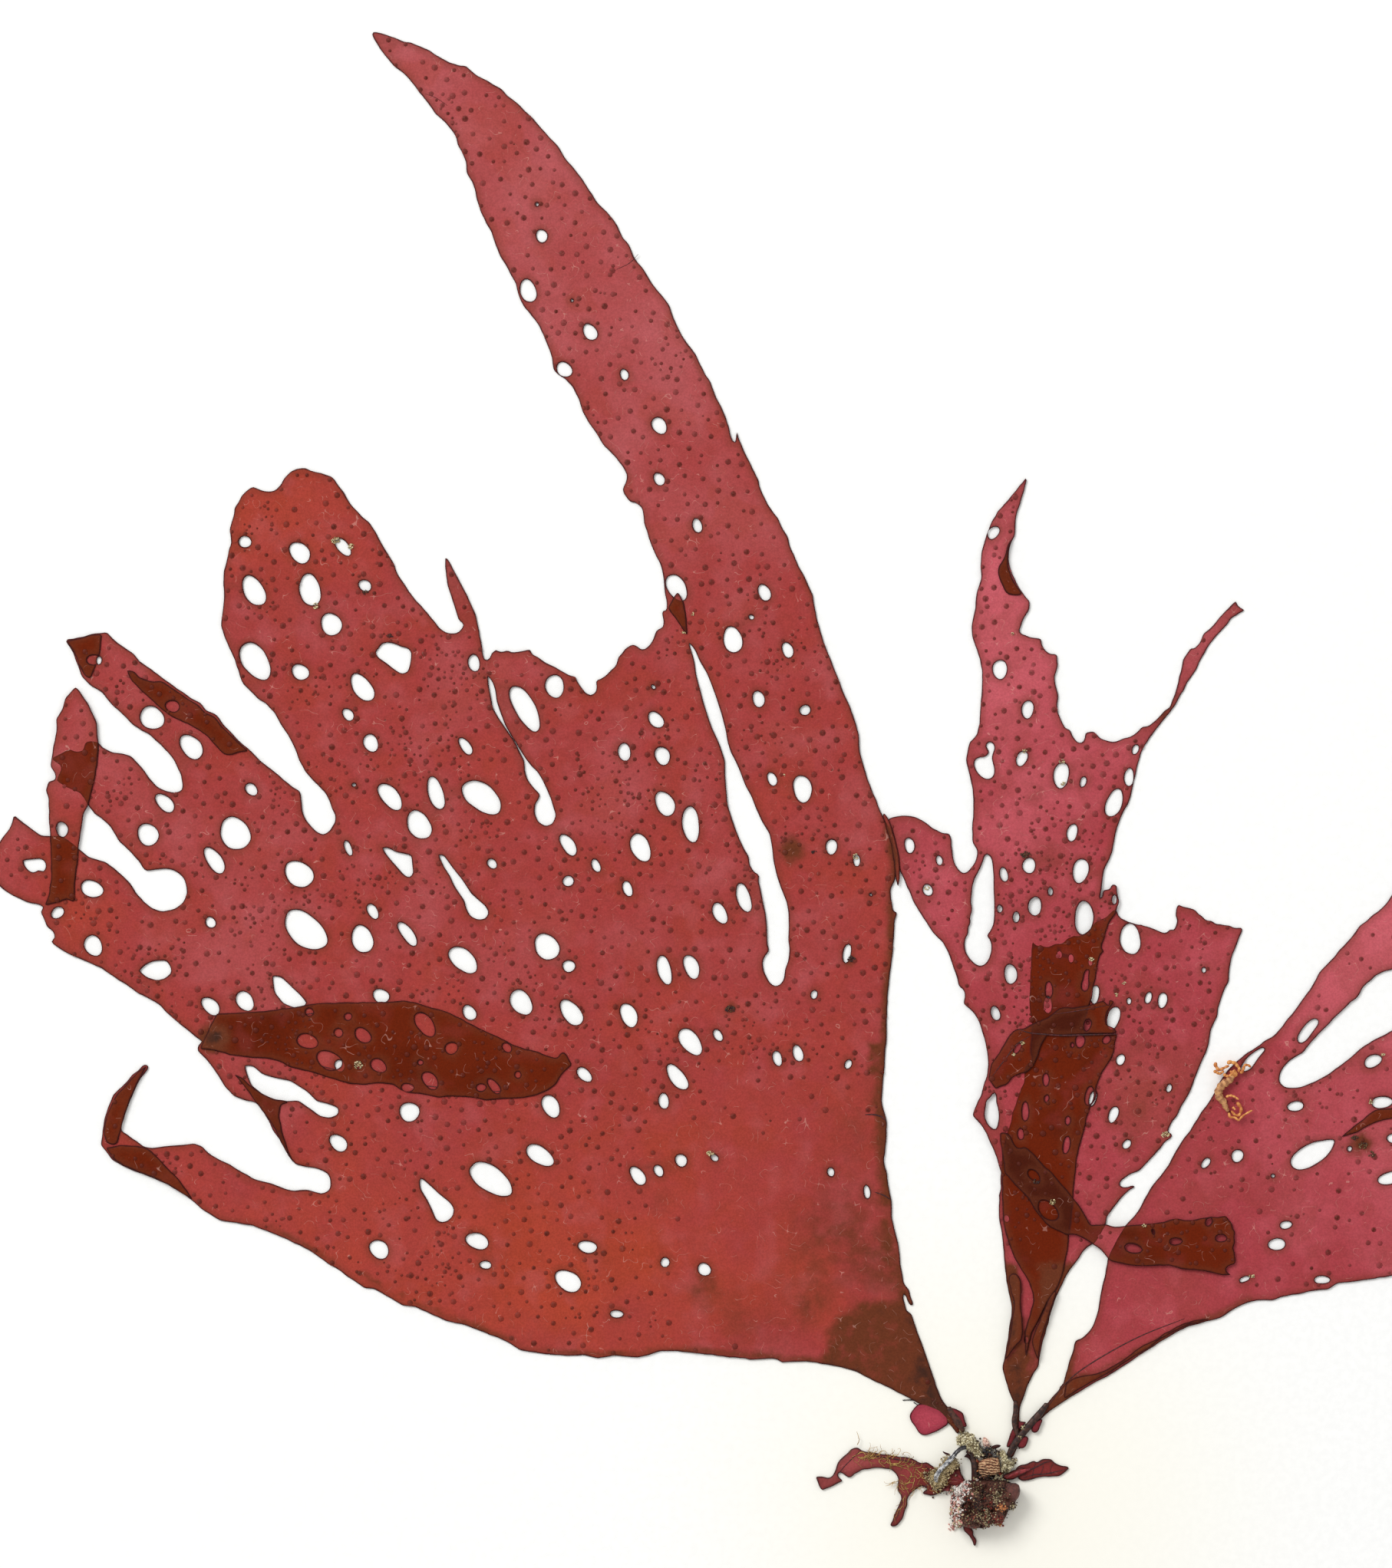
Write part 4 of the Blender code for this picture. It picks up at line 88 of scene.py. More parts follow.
LEFT_OUTLINE = pairs("""
-4.2 10.4  -4.9 11.4  -5.4 12  -6.2 12.6  -7.6 13.6  -9 14.5  -11.4 15.9  -13.2 16.8  -15 17.8
-16.9 18.6  -18.5 19.4  -19.8 20.2  -22 20.8  -24.6 21.3  -27.2 21.7  -29.7 21.7  -31.5 21.5  -32 22
-32.9 22.2  -34.9 22.1  -36.5 21.9  -37.1 22.2  -39.7 22.4  -42.6 22.8  -44.5 23  -47.1 23.3
-49.9 23.4  -52.2 22.7  -53.8 22.3  -57.3 22.7  -59.9 22.2  -62.1 22.7  -64.6 22.6  -68.1 22.8
-70.1 23.2  -72 23.5  -73.4 24.4  -74.9 25.2  -76.8 25.9  -78.7 26.7  -80.6 27.4  -83.2 27.9
-85.1 28.8  -86.7 29.5  -88.3 30.2  -90.3 30.4  -91.9 31.5  -93.5 32.4  -94.7 33  -96 33.1  -97.6 34.2
-98.9 35  -99.9 35.9  -101.6 36.8  -103.1 37.9  -105 39.2  -107.6 40.4  -111.1 42  -113.4 42.8
-118.5 43.6  -121.2 45.3  -122.6 46.5  -124 47.6  -126.5 49.2  -128.8 50.1  -131 51  -133.5 52
-135.2 53  -136.2 54.4  -137 55.3  -136.7 57  -136.5 58.8  -136.2 60  -135.6 61.5  -135 63.1  -134 64
-133 65  -132 66.3  -131 67  -130.3 67.8  -129.5 67.7  -129.5 67.2  -131 65.2  -132 63  -133 60.5
-133.6 58.5  -133.8 57.5  -132.5 56.7  -131.5 55.9  -130.2 55  -129 54.8  -127 55.1  -125 55.3
-122.5 55.5  -121.2 55  -120 53.9  -118.3 52.9  -116.5 52  -115 51  -113 50  -110.5 49.3  -108.5 48.5
-107 48.2  -105 48.4  -103.6 47.9  -102.6 47.7  -101.6 48.2  -101.3 49  -101.4 50.1  -101.8 50.9
-102.6 51.3  -103.7 51.7  -105 51.9  -106.8 52.3  -107.8 53.5  -108.3 54.8  -109 55.8  -110.2 57.4
-110.7 58.7  -111.8 60.5  -112.8 61.8  -113.3 62  -115 62.3  -116.5 63  -117.8 64.4  -118.8 66.2
-120 67.8  -121 69  -122 70  -121.8 70.8  -121.1 71.3  -122 71.9  -123.5 73.1  -125 74.3  -126.5 75.6
-127.8 77  -129 77.7  -131 78.7  -132.8 80  -134.5 81.1  -137 82.8  -139.5 83.9  -142 85  -144 86.2
-144.7 86.8  -144 87.5  -144.3 88.4  -145.3 89.2  -145.6 90.1  -146.3 91.4  -145.7 92.2  -146.6 92.6
-148.4 92.9  -150.5 93.9  -152.2 95  -153.6 96.5  -154.2 98.5  -153.6 100.5  -152.5 102.5  -151.3 104
-150.8 105  -150.4 106.5  -149 105.3  -147.5 104.2  -146.2 103.3  -144.7 103.2  -143.2 103.2
-142 102.6  -140.3 101.2  -138.8 99.9  -136.2 99.2  -134 97.5  -132.5 96  -131.3 94.2  -130.2 92.9
-129 92  -127.3 91.5  -125.5 91.9  -124.2 92.9  -123.6 94.3  -123.7 95.5  -124 96.5  -124.9 97.5
-126 98  -127.4 98.1  -128.6 98  -129.8 97.8  -130.2 98  -130.9 99.2  -132.2 100.6  -134 102.3
-134.9 103.7  -135.7 105  -137 106.1  -138 106.7  -138.8 107.9  -140 109.8  -142.3 110.8  -143.8 111.8
-143.2 113  -143 114  -144.6 115.2  -143.2 115.9  -141.8 116.7  -140.8 116.2  -139.6 116.4
-139.3 117.8  -138.3 117.9  -137.2 117.7  -136.8 117  -135.2 116.2  -133.5 116  -132.3 115.6
-130.5 113.8  -129.5 112.3  -128.5 111  -127 110.2  -125.5 109.9  -124.4 110.2  -124.2 111
-124.6 112.8  -125.6 115  -127.3 117  -129.5 119  -131.7 120.2  -133.5 122  -135 123.4  -136.8 125.5
-138.5 126.5  -140 128  -140.5 129.5  -141.2 131.5  -142.4 133.6  -140 134  -138.5 134.5  -136 134.8
-135 133.8  -134 132.9  -131.8 131.4  -131 130.3  -129 129  -127.3 127.6  -125 126  -123 124.6
-121.5 123.9  -120.6 122.6  -119 122  -118 120.5  -116.5 119  -115.4 117.8  -113.8 116.5  -112 114.6
-110 113.2  -108 111.4  -106 110.1  -105.8 108.5  -105.7 107  -105 105.4  -103.6 103.9  -102.4 103.4
-101.5 104  -100.7 105.3  -100.5 106.3  -101.2 107.6  -101.5 108.7  -102.1 109.8  -103.1 110.9
-104 111.8  -105 112.8  -106 114.5  -107 117  -108 119  -109 120.5  -110 122.2  -111.2 123.6
-112.5 124.4  -114 125.9  -114.9 126.7  -115.5 128.3  -116.2 130.5  -117 132.3  -117.8 134.2
-118.3 135.7  -118.1 137.5  -117.9 139.8  -117.9 142  -117.9 144.3  -117.5 145.5  -117.2 147
-116.7 148.6  -116.8 150.1  -117 150.9  -116.6 152  -116.2 153.2  -116.2 154  -115.5 155.1
-115.2 155.9  -114.3 156.7  -113.4 157.4  -112.7 157  -111.7 156.6  -110.6 156.5  -109.8 156.8
-109 157.7  -108.3 158.9  -107.6 159.6  -106.5 160.1  -105.2 160.2  -104.5 159.8  -103.3 159.6
-102.2 159.2  -101.2 158.9  -100.2 157.7  -99.4 156.6  -98.6 155.2  -97.6 153.9  -96.4 152.6
-95.2 151.7  -94.4 150.3  -93.4 148.5  -92.3 146.7  -91.5 145.3  -91.1 144.1  -90.4 142.9  -89.5 141.6
-88.6 140.3  -87.6 139.2  -86.4 137.8  -85.3 136.6  -84.6 135.6  -83.8 134.9  -82.9 134.55  -82.1 134.6
-81.4 134.8  -80.9 135.4  -80.7 136  -81.1 136.4  -81.5 136.6  -81.8 137.7  -82.2 139  -82.7 140.5
-83.2 142.1  -83.5 143.8  -83.6 145.2  -83.6 146.5  -83.3 146.3  -82.6 145.1  -81.7 143.5  -80.5 141.2
-79.6 139.2  -78.8 137.3  -78.5 135.7  -78 133.5  -77.7 131.4  -77.5 130.5  -76.9 130.5  -76.5 131
-76.4 131.6  -75.9 131.8  -75.8 132.2  -75.3 131.8  -74.6 131.7  -73.9 132  -73.3 131.6  -71.2 131.9
-70.3 132.2  -70.2 131.4  -69.3 131  -68 130.1  -66.3 129.3  -64.8 128.3  -63.8 127.9  -63.4 128
-63.2 127.3  -62.6 126.4  -61.9 125.4  -61 124.9  -60.2 125.6  -60.1 126.4  -60.2 127.4  -59.7 127.4
-58.7 128  -58.1 128.8  -57.1 129.6  -56.8 131  -56.3 131.4  -55.7 132.2  -54.6 132.9  -53.9 132.7
-53.3 132.1  -52.6 132.1  -51.8 132.8  -51.2 133.8  -50.9 135  -50.4 135.2  -49.8 135.5  -49.7 136.4
-49.9 137.2  -50 138.1  -49.2 138.1  -49.2 139.6  -49.5 140.8  -49.7 143.1  -50.1 145  -50.9 146.6
-51.7 148.5  -52.2 150.1  -52.8 151.7  -52.8 153  -53.1 154.1  -53.9 154.9  -54.9 155  -55.9 156.2
-56.1 157  -55.6 158  -55.4 159.1  -56 160.4  -57.3 162.1  -59.1 163.8  -59.7 165  -61.2 167.1
-62.3 169  -62.9 171  -63.9 172.9  -65 174.1  -66 174.6  -66.8 175.4  -67 177.2  -67.5 178.8
-68.3 180.6  -69.2 182.6  -70.3 184  -71.4 185.3  -71.9 186.2  -72.3 187.3  -72.6 188.8  -73.3 190
-74.2 191.8  -75 193  -75.9 195  -76.3 196.6  -77.3 198.3  -78.1 200.1  -78.7 201.9  -78.9 203.1
-79.4 204.6  -80.2 206  -80.3 207.6  -81 209.2  -81.7 210.4  -81.9 211.5  -82.6 212.6  -83.7 214
-85.1 215.1  -86.1 216.6  -87.1 217.9  -88.2 219.3  -89.1 220.4  -90.1 221.5  -91.2 222.2  -92.5 223.7
-93.8 225.4  -94.6 226.7  -95 227.6  -94.7 227.9  -93.5 227.7  -92.2 227.2  -90.9 226.8  -89.9 226.3
-88.8 226.2  -87.7 225.7  -86.1 225  -84.8 224.1  -83.2 223.3  -81.4 222.6  -80.3 222.6  -79.7 221.9
-78.6 221  -77 220.3  -76.2 219.7  -74.9 219  -73.9 217.9  -72.3 216.8  -71.2 215.5  -69.9 214.4
-68.5 212.7  -67.2 211.3  -65.9 209.9  -65.1 208.4  -63.7 206.8  -62.4 205.1  -61.1 203.1  -60 201.3
-58.4 199.8  -56.9 197.9  -56.1 195.9  -55.2 195  -54.3 192.8  -52.8 191  -51.5 188.8  -50.3 187.3
-48.8 185.4  -48.3 183.8  -47.5 181.9  -46.2 179.8  -44.8 178  -43.5 175.1  -42.4 173.5  -41.8 171.6
-40.8 169.7  -40 167.9  -39.7 166.8  -39.4 165.4  -38.9 164.2  -38.6 164.1  -38.4 166  -38.1 164.9
-37.1 162.6  -36 160.4  -35 158.3  -34.7 156.9  -33.6 154.6  -32 152.4  -31.5 151.1  -30.4 149.5
-30.1 147.9  -28.8 145  -27.8 143.1  -26.7 140.8  -26.4 139.2  -25.9 136.7  -25.1 133.8  -24.1 131.2
-23.3 129.3  -22.5 127.1  -21.7 125.1  -20.6 122.6  -19.9 120.5  -19.5 119  -19.4 116.8  -18.9 114.5
-18.2 112.3  -17.4 110.2  -16.6 108.2  -15.8 106.2  -15 104.8  -14.5 103.4  -14.1 101.8  -13.8 100.2
-13.7 98.5  -13.8 96.9  -14 96.1  -14.5 95.2  -14.4 93  -14.2 91.5  -13.5 91.4  -13.9 90  -14 88
-14.2 85  -14.5 82.5  -14.8 80.5  -15 78  -15.1 75  -15.2 72  -15.4 68  -15.7 65  -15.9 62  -15.7 61
-15.2 59.2  -15.1 57  -15.3 55  -15.6 53  -15.5 52  -15 50.8  -15 49.5  -14.7 48  -14.4 46.8  -14.3 44
-13.8 41.5  -13.4 40  -13.1 38  -12.9 36  -12.5 34  -12.1 33.3  -11.7 33  -11.4 31.6  -10.9 30.5
-11.4 30.3  -11.9 31  -12.4 32.3  -12.6 32.2  -12.4 30.8  -12.1 29.6  -11.3 29.1  -10.9 27.8  -10.3 26
-9.7 24.6  -9 22.5  -8.2 20.3  -7.4 17.8  -6.8 16.3  -6.3 15.4  -5.8 14.8  -5.2 14.1  -4.6 13.2
-4.1 12.3  -3.5 11.3""")

LEFT_OVALS = (
    (-113.2, 141.2, 5.2, 2.9, 117), (-113, 130.3, 6.2, 3.9, 120), (-106, 128.6, 2.9, 2.2, 140),
    (-129, 121.5, 3.7, 3.5, 150), (-122.9, 117, 4.2, 2.9, 125), (-113.6, 110.4, 2.2, 1.6, 140),
    (-127, 108.3, 3.6, 2, 140), (-129.6, 103.4, 3.6, 3, 135), (-116.1, 103.6, 5.4, 4.2, 130),
    (-119.3, 99.4, 4.6, 2.2, 122), (-106.2, 97.3, 4.9, 3.5, 150), (-138.3, 95, 3.6, 2.4, 155),
    (-138.1, 86.2, 3.2, 2.7, 110), (-119.9, 89.8, 1.8, 1.5, 130), (-119.9, 76.8, 3.3, 2.1, 140),
    (-105.2, 88.6, 8, 4.4, 137), (-114.6, 148.8, 1.9, 1.9, 0), (-106.1, 147.1, 3.8, 2.6, 130),
    (-104.5, 141.3, 5.1, 3.1, 107), (-99.4, 148, 3.2, 1.7, 130), (-96, 142, 2.1, 1.7, 140),
    (-101.2, 136, 3.4, 3.2, 120), (-96.4, 126.2, 5, 2.6, 130), (-98.6, 122, 2.1, 1.5, 125),
    (-95.1, 117.6, 2.8, 2.2, 105), (-92.1, 109.3, 4.8, 2.6, 133), (-85, 109.8, 5.1, 2.3, 108),
    (-87.6, 104.9, 4.6, 3.4, 128), (-77.9, 109.2, 6.6, 4.1, 142), (-79.1, 130, 2.8, 1.7, 95),
    (-80.4, 117.1, 3.1, 1.4, 128), (-71.2, 123, 8.2, 2.9, 120), (-66.6, 126.4, 3.7, 2.7, 95),
    (-98.6, 101.3, 2.6, 1, 110), (-76.3, 98.9, 1.8, 1.3, 125), (-64.5, 101.8, 3.7, 1.9, 122),
    (-64.5, 96.2, 1.7, 1.7, 0), (-60.2, 98.6, 2.3, 1.2, 112), (-55.3, 95, 2.5, 1.4, 112),
    (-96.4, 87.2, 4.4, 3.1, 115), (-94.8, 91.5, 2.6, 1.5, 123), (-89.4, 88, 4.4, 1.7, 128),
    (-80.8, 84, 5.2, 3, 135), (-67.8, 86, 4.2, 3.5, 140), (-64.4, 83, 1.9, 1.9, 0),
    (-71.8, 77.4, 4.2, 3, 118), (-64, 75.8, 4.8, 2.5, 130), (-99.9, 67.6, 2, 1.5, 110),
    (-89.1, 60.4, 3.2, 2.8, 0), (-67.2, 61.3, 3.6, 2.5, 115), (-100.1, 55.6, 3.1, 2.2, 145),
    (-68.9, 53.7, 4.6, 2.6, 147), (-76.5, 50, 7.8, 3.6, 145), (-78.6, 40.4, 3.6, 2.4, 165),
    (-77.3, 36.7, 2, 1.2, 170), (-93.8, 39.1, 3.2, 2.6, 150), (-61.5, 39.5, 3, 1.8, 175),
    (-64.5, 34.2, 4.2, 3, 145), (-57, 29.1, 2.2, 1.1, 0), (-55.1, 75.4, 4, 2.3, 117),
    (-49.6, 82.4, 4.9, 1.9, 105), (-45.4, 82.9, 3.8, 2.2, 115), (-41, 91.2, 3.4, 2, 118),
    (-37.3, 93.6, 4.6, 2, 110), (-45.6, 71.3, 4.6, 2.8, 127), (-41.3, 72.3, 2.1, 1.2, 118),
    (-47.6, 65.8, 4.8, 2.1, 125), (-49.7, 62.1, 2.6, 1.5, 100), (-32.1, 68.7, 2.4, 1.4, 105),
    (-28.9, 69.5, 2.8, 1.4, 107), (-21.1, 67.8, 1.6, 1, 70), (-21.3, 85, 3, 1.2, 80),
    (-26.4, 78.6, 1.5, 1, 80), (-53.7, 50.5, 3.2, 1.9, 125), (-50.5, 51.3, 2.1, 1.3, 120),
    (-47, 52.9, 2.1, 1.7, 130), (-41.8, 53.3, 1.4, 1, 150), (-23.8, 51.1, 1.5, 1.1, 110),
    (-18.2, 48, 2.4, 0.9, 98), (-49.5, 37.1, 1.5, 1.5, 0), (-43.4, 36, 2.2, 1.8, 150),
    (-34.1, 140.9, 2.7, 1.8, 110), (-36.1, 137.1, 1, 0.7, 150), (-39, 133.6, 4.1, 2.8, 110),
    (-30.5, 132, 2.5, 1.6, 105), (-35, 124.4, 2.6, 1.8, 97), (-27.8, 122.7, 1.7, 1.6, 0),
    (-50.9, 121.2, 2.8, 2, 135), (-55.8, 116.2, 2.9, 1.8, 95), (-49.9, 115.6, 2.8, 2.3, 120),
    (-32.9, 112, 2.2, 1.4, 115), (-28.2, 110.5, 4.3, 2.7, 105), (-49.5, 108.2, 4.2, 2.6, 115),
    (-45.5, 105, 5.4, 2.6, 97), (-53.3, 101.4, 4.7, 2.7, 118), (-23.7, 101.5, 2.5, 1.7, 90),
    (-19.8, 99.4, 2.1, 1, 90), (-70.7, 187.7, 3.5, 2.5, 107), (-61.1, 181.3, 2.8, 1.9, 118),
    (-65.1, 175.5, 2.6, 2.1, 150), (-55.8, 174.7, 1.9, 1.2, 105), (-68.6, 196.2, 2.1, 1.7, 120),
    (-50.4, 166.8, 2.9, 2, 120), (-50.4, 158.5, 2.2, 1.5, 120), (-44.5, 151.3, 2.3, 1.4, 110),
    (-47.7, 141.7, 4.6, 2.6, 118), (-114.6, 77.6, 3.2, 2.5, 130), (-93.5, 78.4, 2.7, 2, 150),
    (-79.8, 75.8, 2.5, 1.9, 120), (-62, 66.2, 2.9, 1.6, 132), (-143.6, 91.3, 2.2, 1.6, 30),
)

LEFT_CUTS = tuple(pairs(text) for text in (
    """-45.8 133.2  -45.5 132.1  -45.1 130.9  -44.9 129.9  -44.7 128.3  -44.1 126  -43.5 123.8
    -42.8 121.5  -42.2 119.9  -41.4 118.2  -40.7 116.4  -40.2 114.8  -40.2 112.8  -40 110.3  -39.8 108
    -39.1 105.8  -38.3 103.5  -37.3 101.3  -36.5 100  -36.4 98.7  -35.7 97.6  -34.9 97.2  -35 96.1
    -34.7 95  -34.4 93.4  -33.9 91.2  -33.7 89.2  -33.6 86.3  -33.3 85.4  -34 84.6  -34.4 83.6
    -34.2 82.2  -33.4 80.6  -32.6 79.9  -31.8 80  -31.1 80.9  -30.9 82.5  -30.4 83.8  -30.2 85.7
    -30.4 87.1  -30.3 89.2  -30.4 91.5  -30.7 93.1  -31.5 95  -32.2 97.1  -32.7 99.3  -32.9 101.3
    -33.3 103.5  -34.6 105.6  -35.4 107.4  -36.1 109.3  -37 110.9  -38 113.5  -38.6 114.8  -39.3 116.1
    -39.8 117.7  -40.1 119.6  -40.7 121.9  -41.5 124.4  -42.2 126.4  -43.1 128.6  -44.1 130.2
    -44.9 132.1""",
    """-77 128.1  -76.2 127  -75.8 125.7  -75.6 124.1  -75 122.2  -74.2 120.2  -73.2 118.5  -72.7 117.8
    -71.9 116.4  -70.9 114.9  -70 113.8  -69.3 113.2  -68.5 111.9  -67.9 110.6  -67.2 109  -66.8 107.5
    -66.4 106.4  -66.9 105.1  -68 104.7  -69.2 105.4  -69.7 106.7  -69.6 108.2  -69.2 108.7
    -68.8 109.6  -69.8 110.6  -70.8 111.9  -71.2 113.2  -71.3 114.8  -72 116.2  -72.9 118  -74 119.6
    -75.1 121.2  -76.2 123.1  -76.4 124.4  -76.8 126.3""",
    """-84.6 100.3  -83.8 100.2  -82.4 98.2  -81 96.5  -80 95  -79.6 94.3  -78.8 93.6  -77.3 92.3
    -76.8 91.3  -77.3 90.4  -78.4 90.2  -79.6 90.7  -80.3 91.9  -80.6 93.2  -81.6 94.6  -82.3 95.8
    -82.8 97  -83.8 98.5""",
    """-114.6 67.6  -113.3 67.5  -112 66.3  -110 65.7  -107.5 65.2  -105 63.6  -103.5 62.1  -101.5 61.6
    -100.1 61  -100.2 60  -101.5 59.5  -103 59.8  -104.3 60.8  -106.3 62.2  -108 62.1  -110 62.3
    -112 63.3  -113.6 64.6  -114.2 66.2""",
    """-94.4 131.7  -93.8 132.3  -93.4 133  -92.4 133.2  -91.4 133  -90.4 132.5  -89.3 132.3
    -88.8 131.6  -88.9 130.4  -89.1 129.4  -89.4 128.6  -90.3 128.3  -91.4 129  -92.8 130.1  -94.1 131""",
    """-93.3 101.4  -92.3 101.3  -91.2 100.7  -88.8 100.2  -88.7 99  -88.5 97.4  -89.1 96.7  -89.9 97.1
    -91.2 98.6  -92.6 100.2""",
    """-87.4 50.2  -86.9 49.9  -85.8 48.9  -84.5 47.7  -82.9 46.4  -82.2 45.4  -82.4 44.3  -83.2 43.5
    -84.2 43.3  -85 43.8  -85.6 45.3  -86.4 46.9  -87.4 48.5  -87.5 49.6""",
    """-110.3 81.5  -109 81.3  -108 80.4  -106 78.5  -105 77.3  -105.5 76.8  -107 76.6  -108.7 77.3
    -110 79""",
    """-131 82.3  -130 83.2  -128.8 83.8  -126.8 83.9  -126.1 82.9  -126 82  -127 81.1
    -128.2 80.8  -129.8 81.3""",
    """-149 99.4  -148.7 98.5  -148 97.7  -147.2 97.5  -146.6 98  -145.8 97.6  -145.4 98.4  -145.6 99.3
    -146.3 99.7  -147.2 99.6""",
))

LEFT_FLAPS = tuple(pairs(text) for text in (
    """-140.8 126.3  -142.4 124.6  -142.8 122.9  -143.8 121.3  -143.7 119.6  -144.2 117.5  -144.5 115.2
    -144.7 114  -143.9 112.8  -143.9 111.9  -145 111.6  -145.5 110.3  -145 109  -144.9 105  -144.7 101
    -144.6 97  -145 94  -145.6 92.4  -143.5 92.9  -142.2 93.4  -141 92.9  -140.9 96  -140.5 99
    -140.3 102  -139.8 105.3  -139.5 106.8  -138.8 107.9  -138.2 110.5  -137.5 114  -137.2 117
    -137.6 121  -139 123.9  -140.2 125.6""",
    """-119 75.7  -115 75.8  -110 76.2  -107.5 76.6  -105 77.05  -103.1 77.3  -97 77.4  -92.2 77.5
    -89.9 77.7  -88.3 77.4  -86.4 76.8  -84.5 76.3  -82.6 75.6  -80.6 74.6  -78.7 73.6  -76.8 72.7
    -74.9 71.9  -72.9 70.8  -71 70.2  -69.1 69.7  -67.2 68.9  -66.2 68.7  -65.7 69.5  -65.3 69.8
    -64.8 69.4  -64.3 68.4  -63.8 67.8  -64.6 67.1  -65.7 66  -66.4 64.7  -67.5 63.8  -69.7 62.9
    -71.7 62.6  -75.8 62.4  -77.4 62.2  -78.7 62.6  -82.6 62.9  -84.5 62.6  -87.4 63.3  -89.3 63.4
    -90.6 63.9  -91.5 64.6  -93.8 64.9  -96 64.6  -98.6 64.8  -100.5 65.4  -102.4 66  -105 66.8
    -107.5 67.3  -109 68.2  -111 68.7  -114.5 68.9  -117 69.3  -119.3 70  -121.6 70.2""",
    """-142.2 133.4  -140 133.9  -138.5 134.4  -136.7 134.5  -137 131.5  -137.8 129.2  -138.5 127.6
    -139.3 127.9  -140.3 129.6  -141 131.5""",
    """-132.9 128.9  -132.3 127.4  -131 126  -129 124.2  -127.5 122.8  -125.8 121.6  -123.5 120.6
    -121.8 119.6  -120.3 118.6  -118.8 116.8  -117.8 115.8  -116.8 115.7  -115.8 116.1  -114 116.4
    -115.4 117.6  -116.7 118.8  -118.2 120.3  -119.2 121.7  -120.8 122.4  -121.8 123.5  -123.2 124.3
    -125.2 125.7  -127.5 127.2  -129.3 127.2  -131 127.8  -131.7 128.7""",
    """-129.8 67.6  -131 66.8  -132.3 65.5  -133.4 64.2  -134.5 63.2  -135.3 61.5  -136 60  -136.3 58.6
    -136.5 57  -136 55.6  -134.9 55.3  -134.3 55.6  -133.9 57.4  -133.3 59.5  -132.3 62.4  -131.3 64.8""",
    """-136.2 54.9  -133.5 55.3  -130.2 55  -129 54.3  -127 52.2  -125 50.2  -123.5 48.2  -122.6 46.8
    -124.3 47.7  -126.7 49.3  -129 50.3  -131.2 51.2  -133.6 52.2  -135 53.2""",
))

LENS_OVALS = (
    (-98.6, 75.2, 1.2, 1.2, 0), (-100.1, 72.7, 1.4, 1.4, 0), (-96.3, 72.3, 3, 1.8, 140),
    (-86.7, 74, 4.2, 2.4, 130), (-82.6, 70.3, 2, 1.8, 0), (-74, 70.4, 1.8, 1.2, 140),
    (-101.5, 68.4, 4.2, 2.6, 150), (-93.9, 67.6, 2.6, 1.9, 150), (-85.9, 65.3, 3, 2, 130),
    (-76, 64.4, 2.8, 1.3, 130), (-104.9, 71.4, 3.2, 2.2, 160),
)

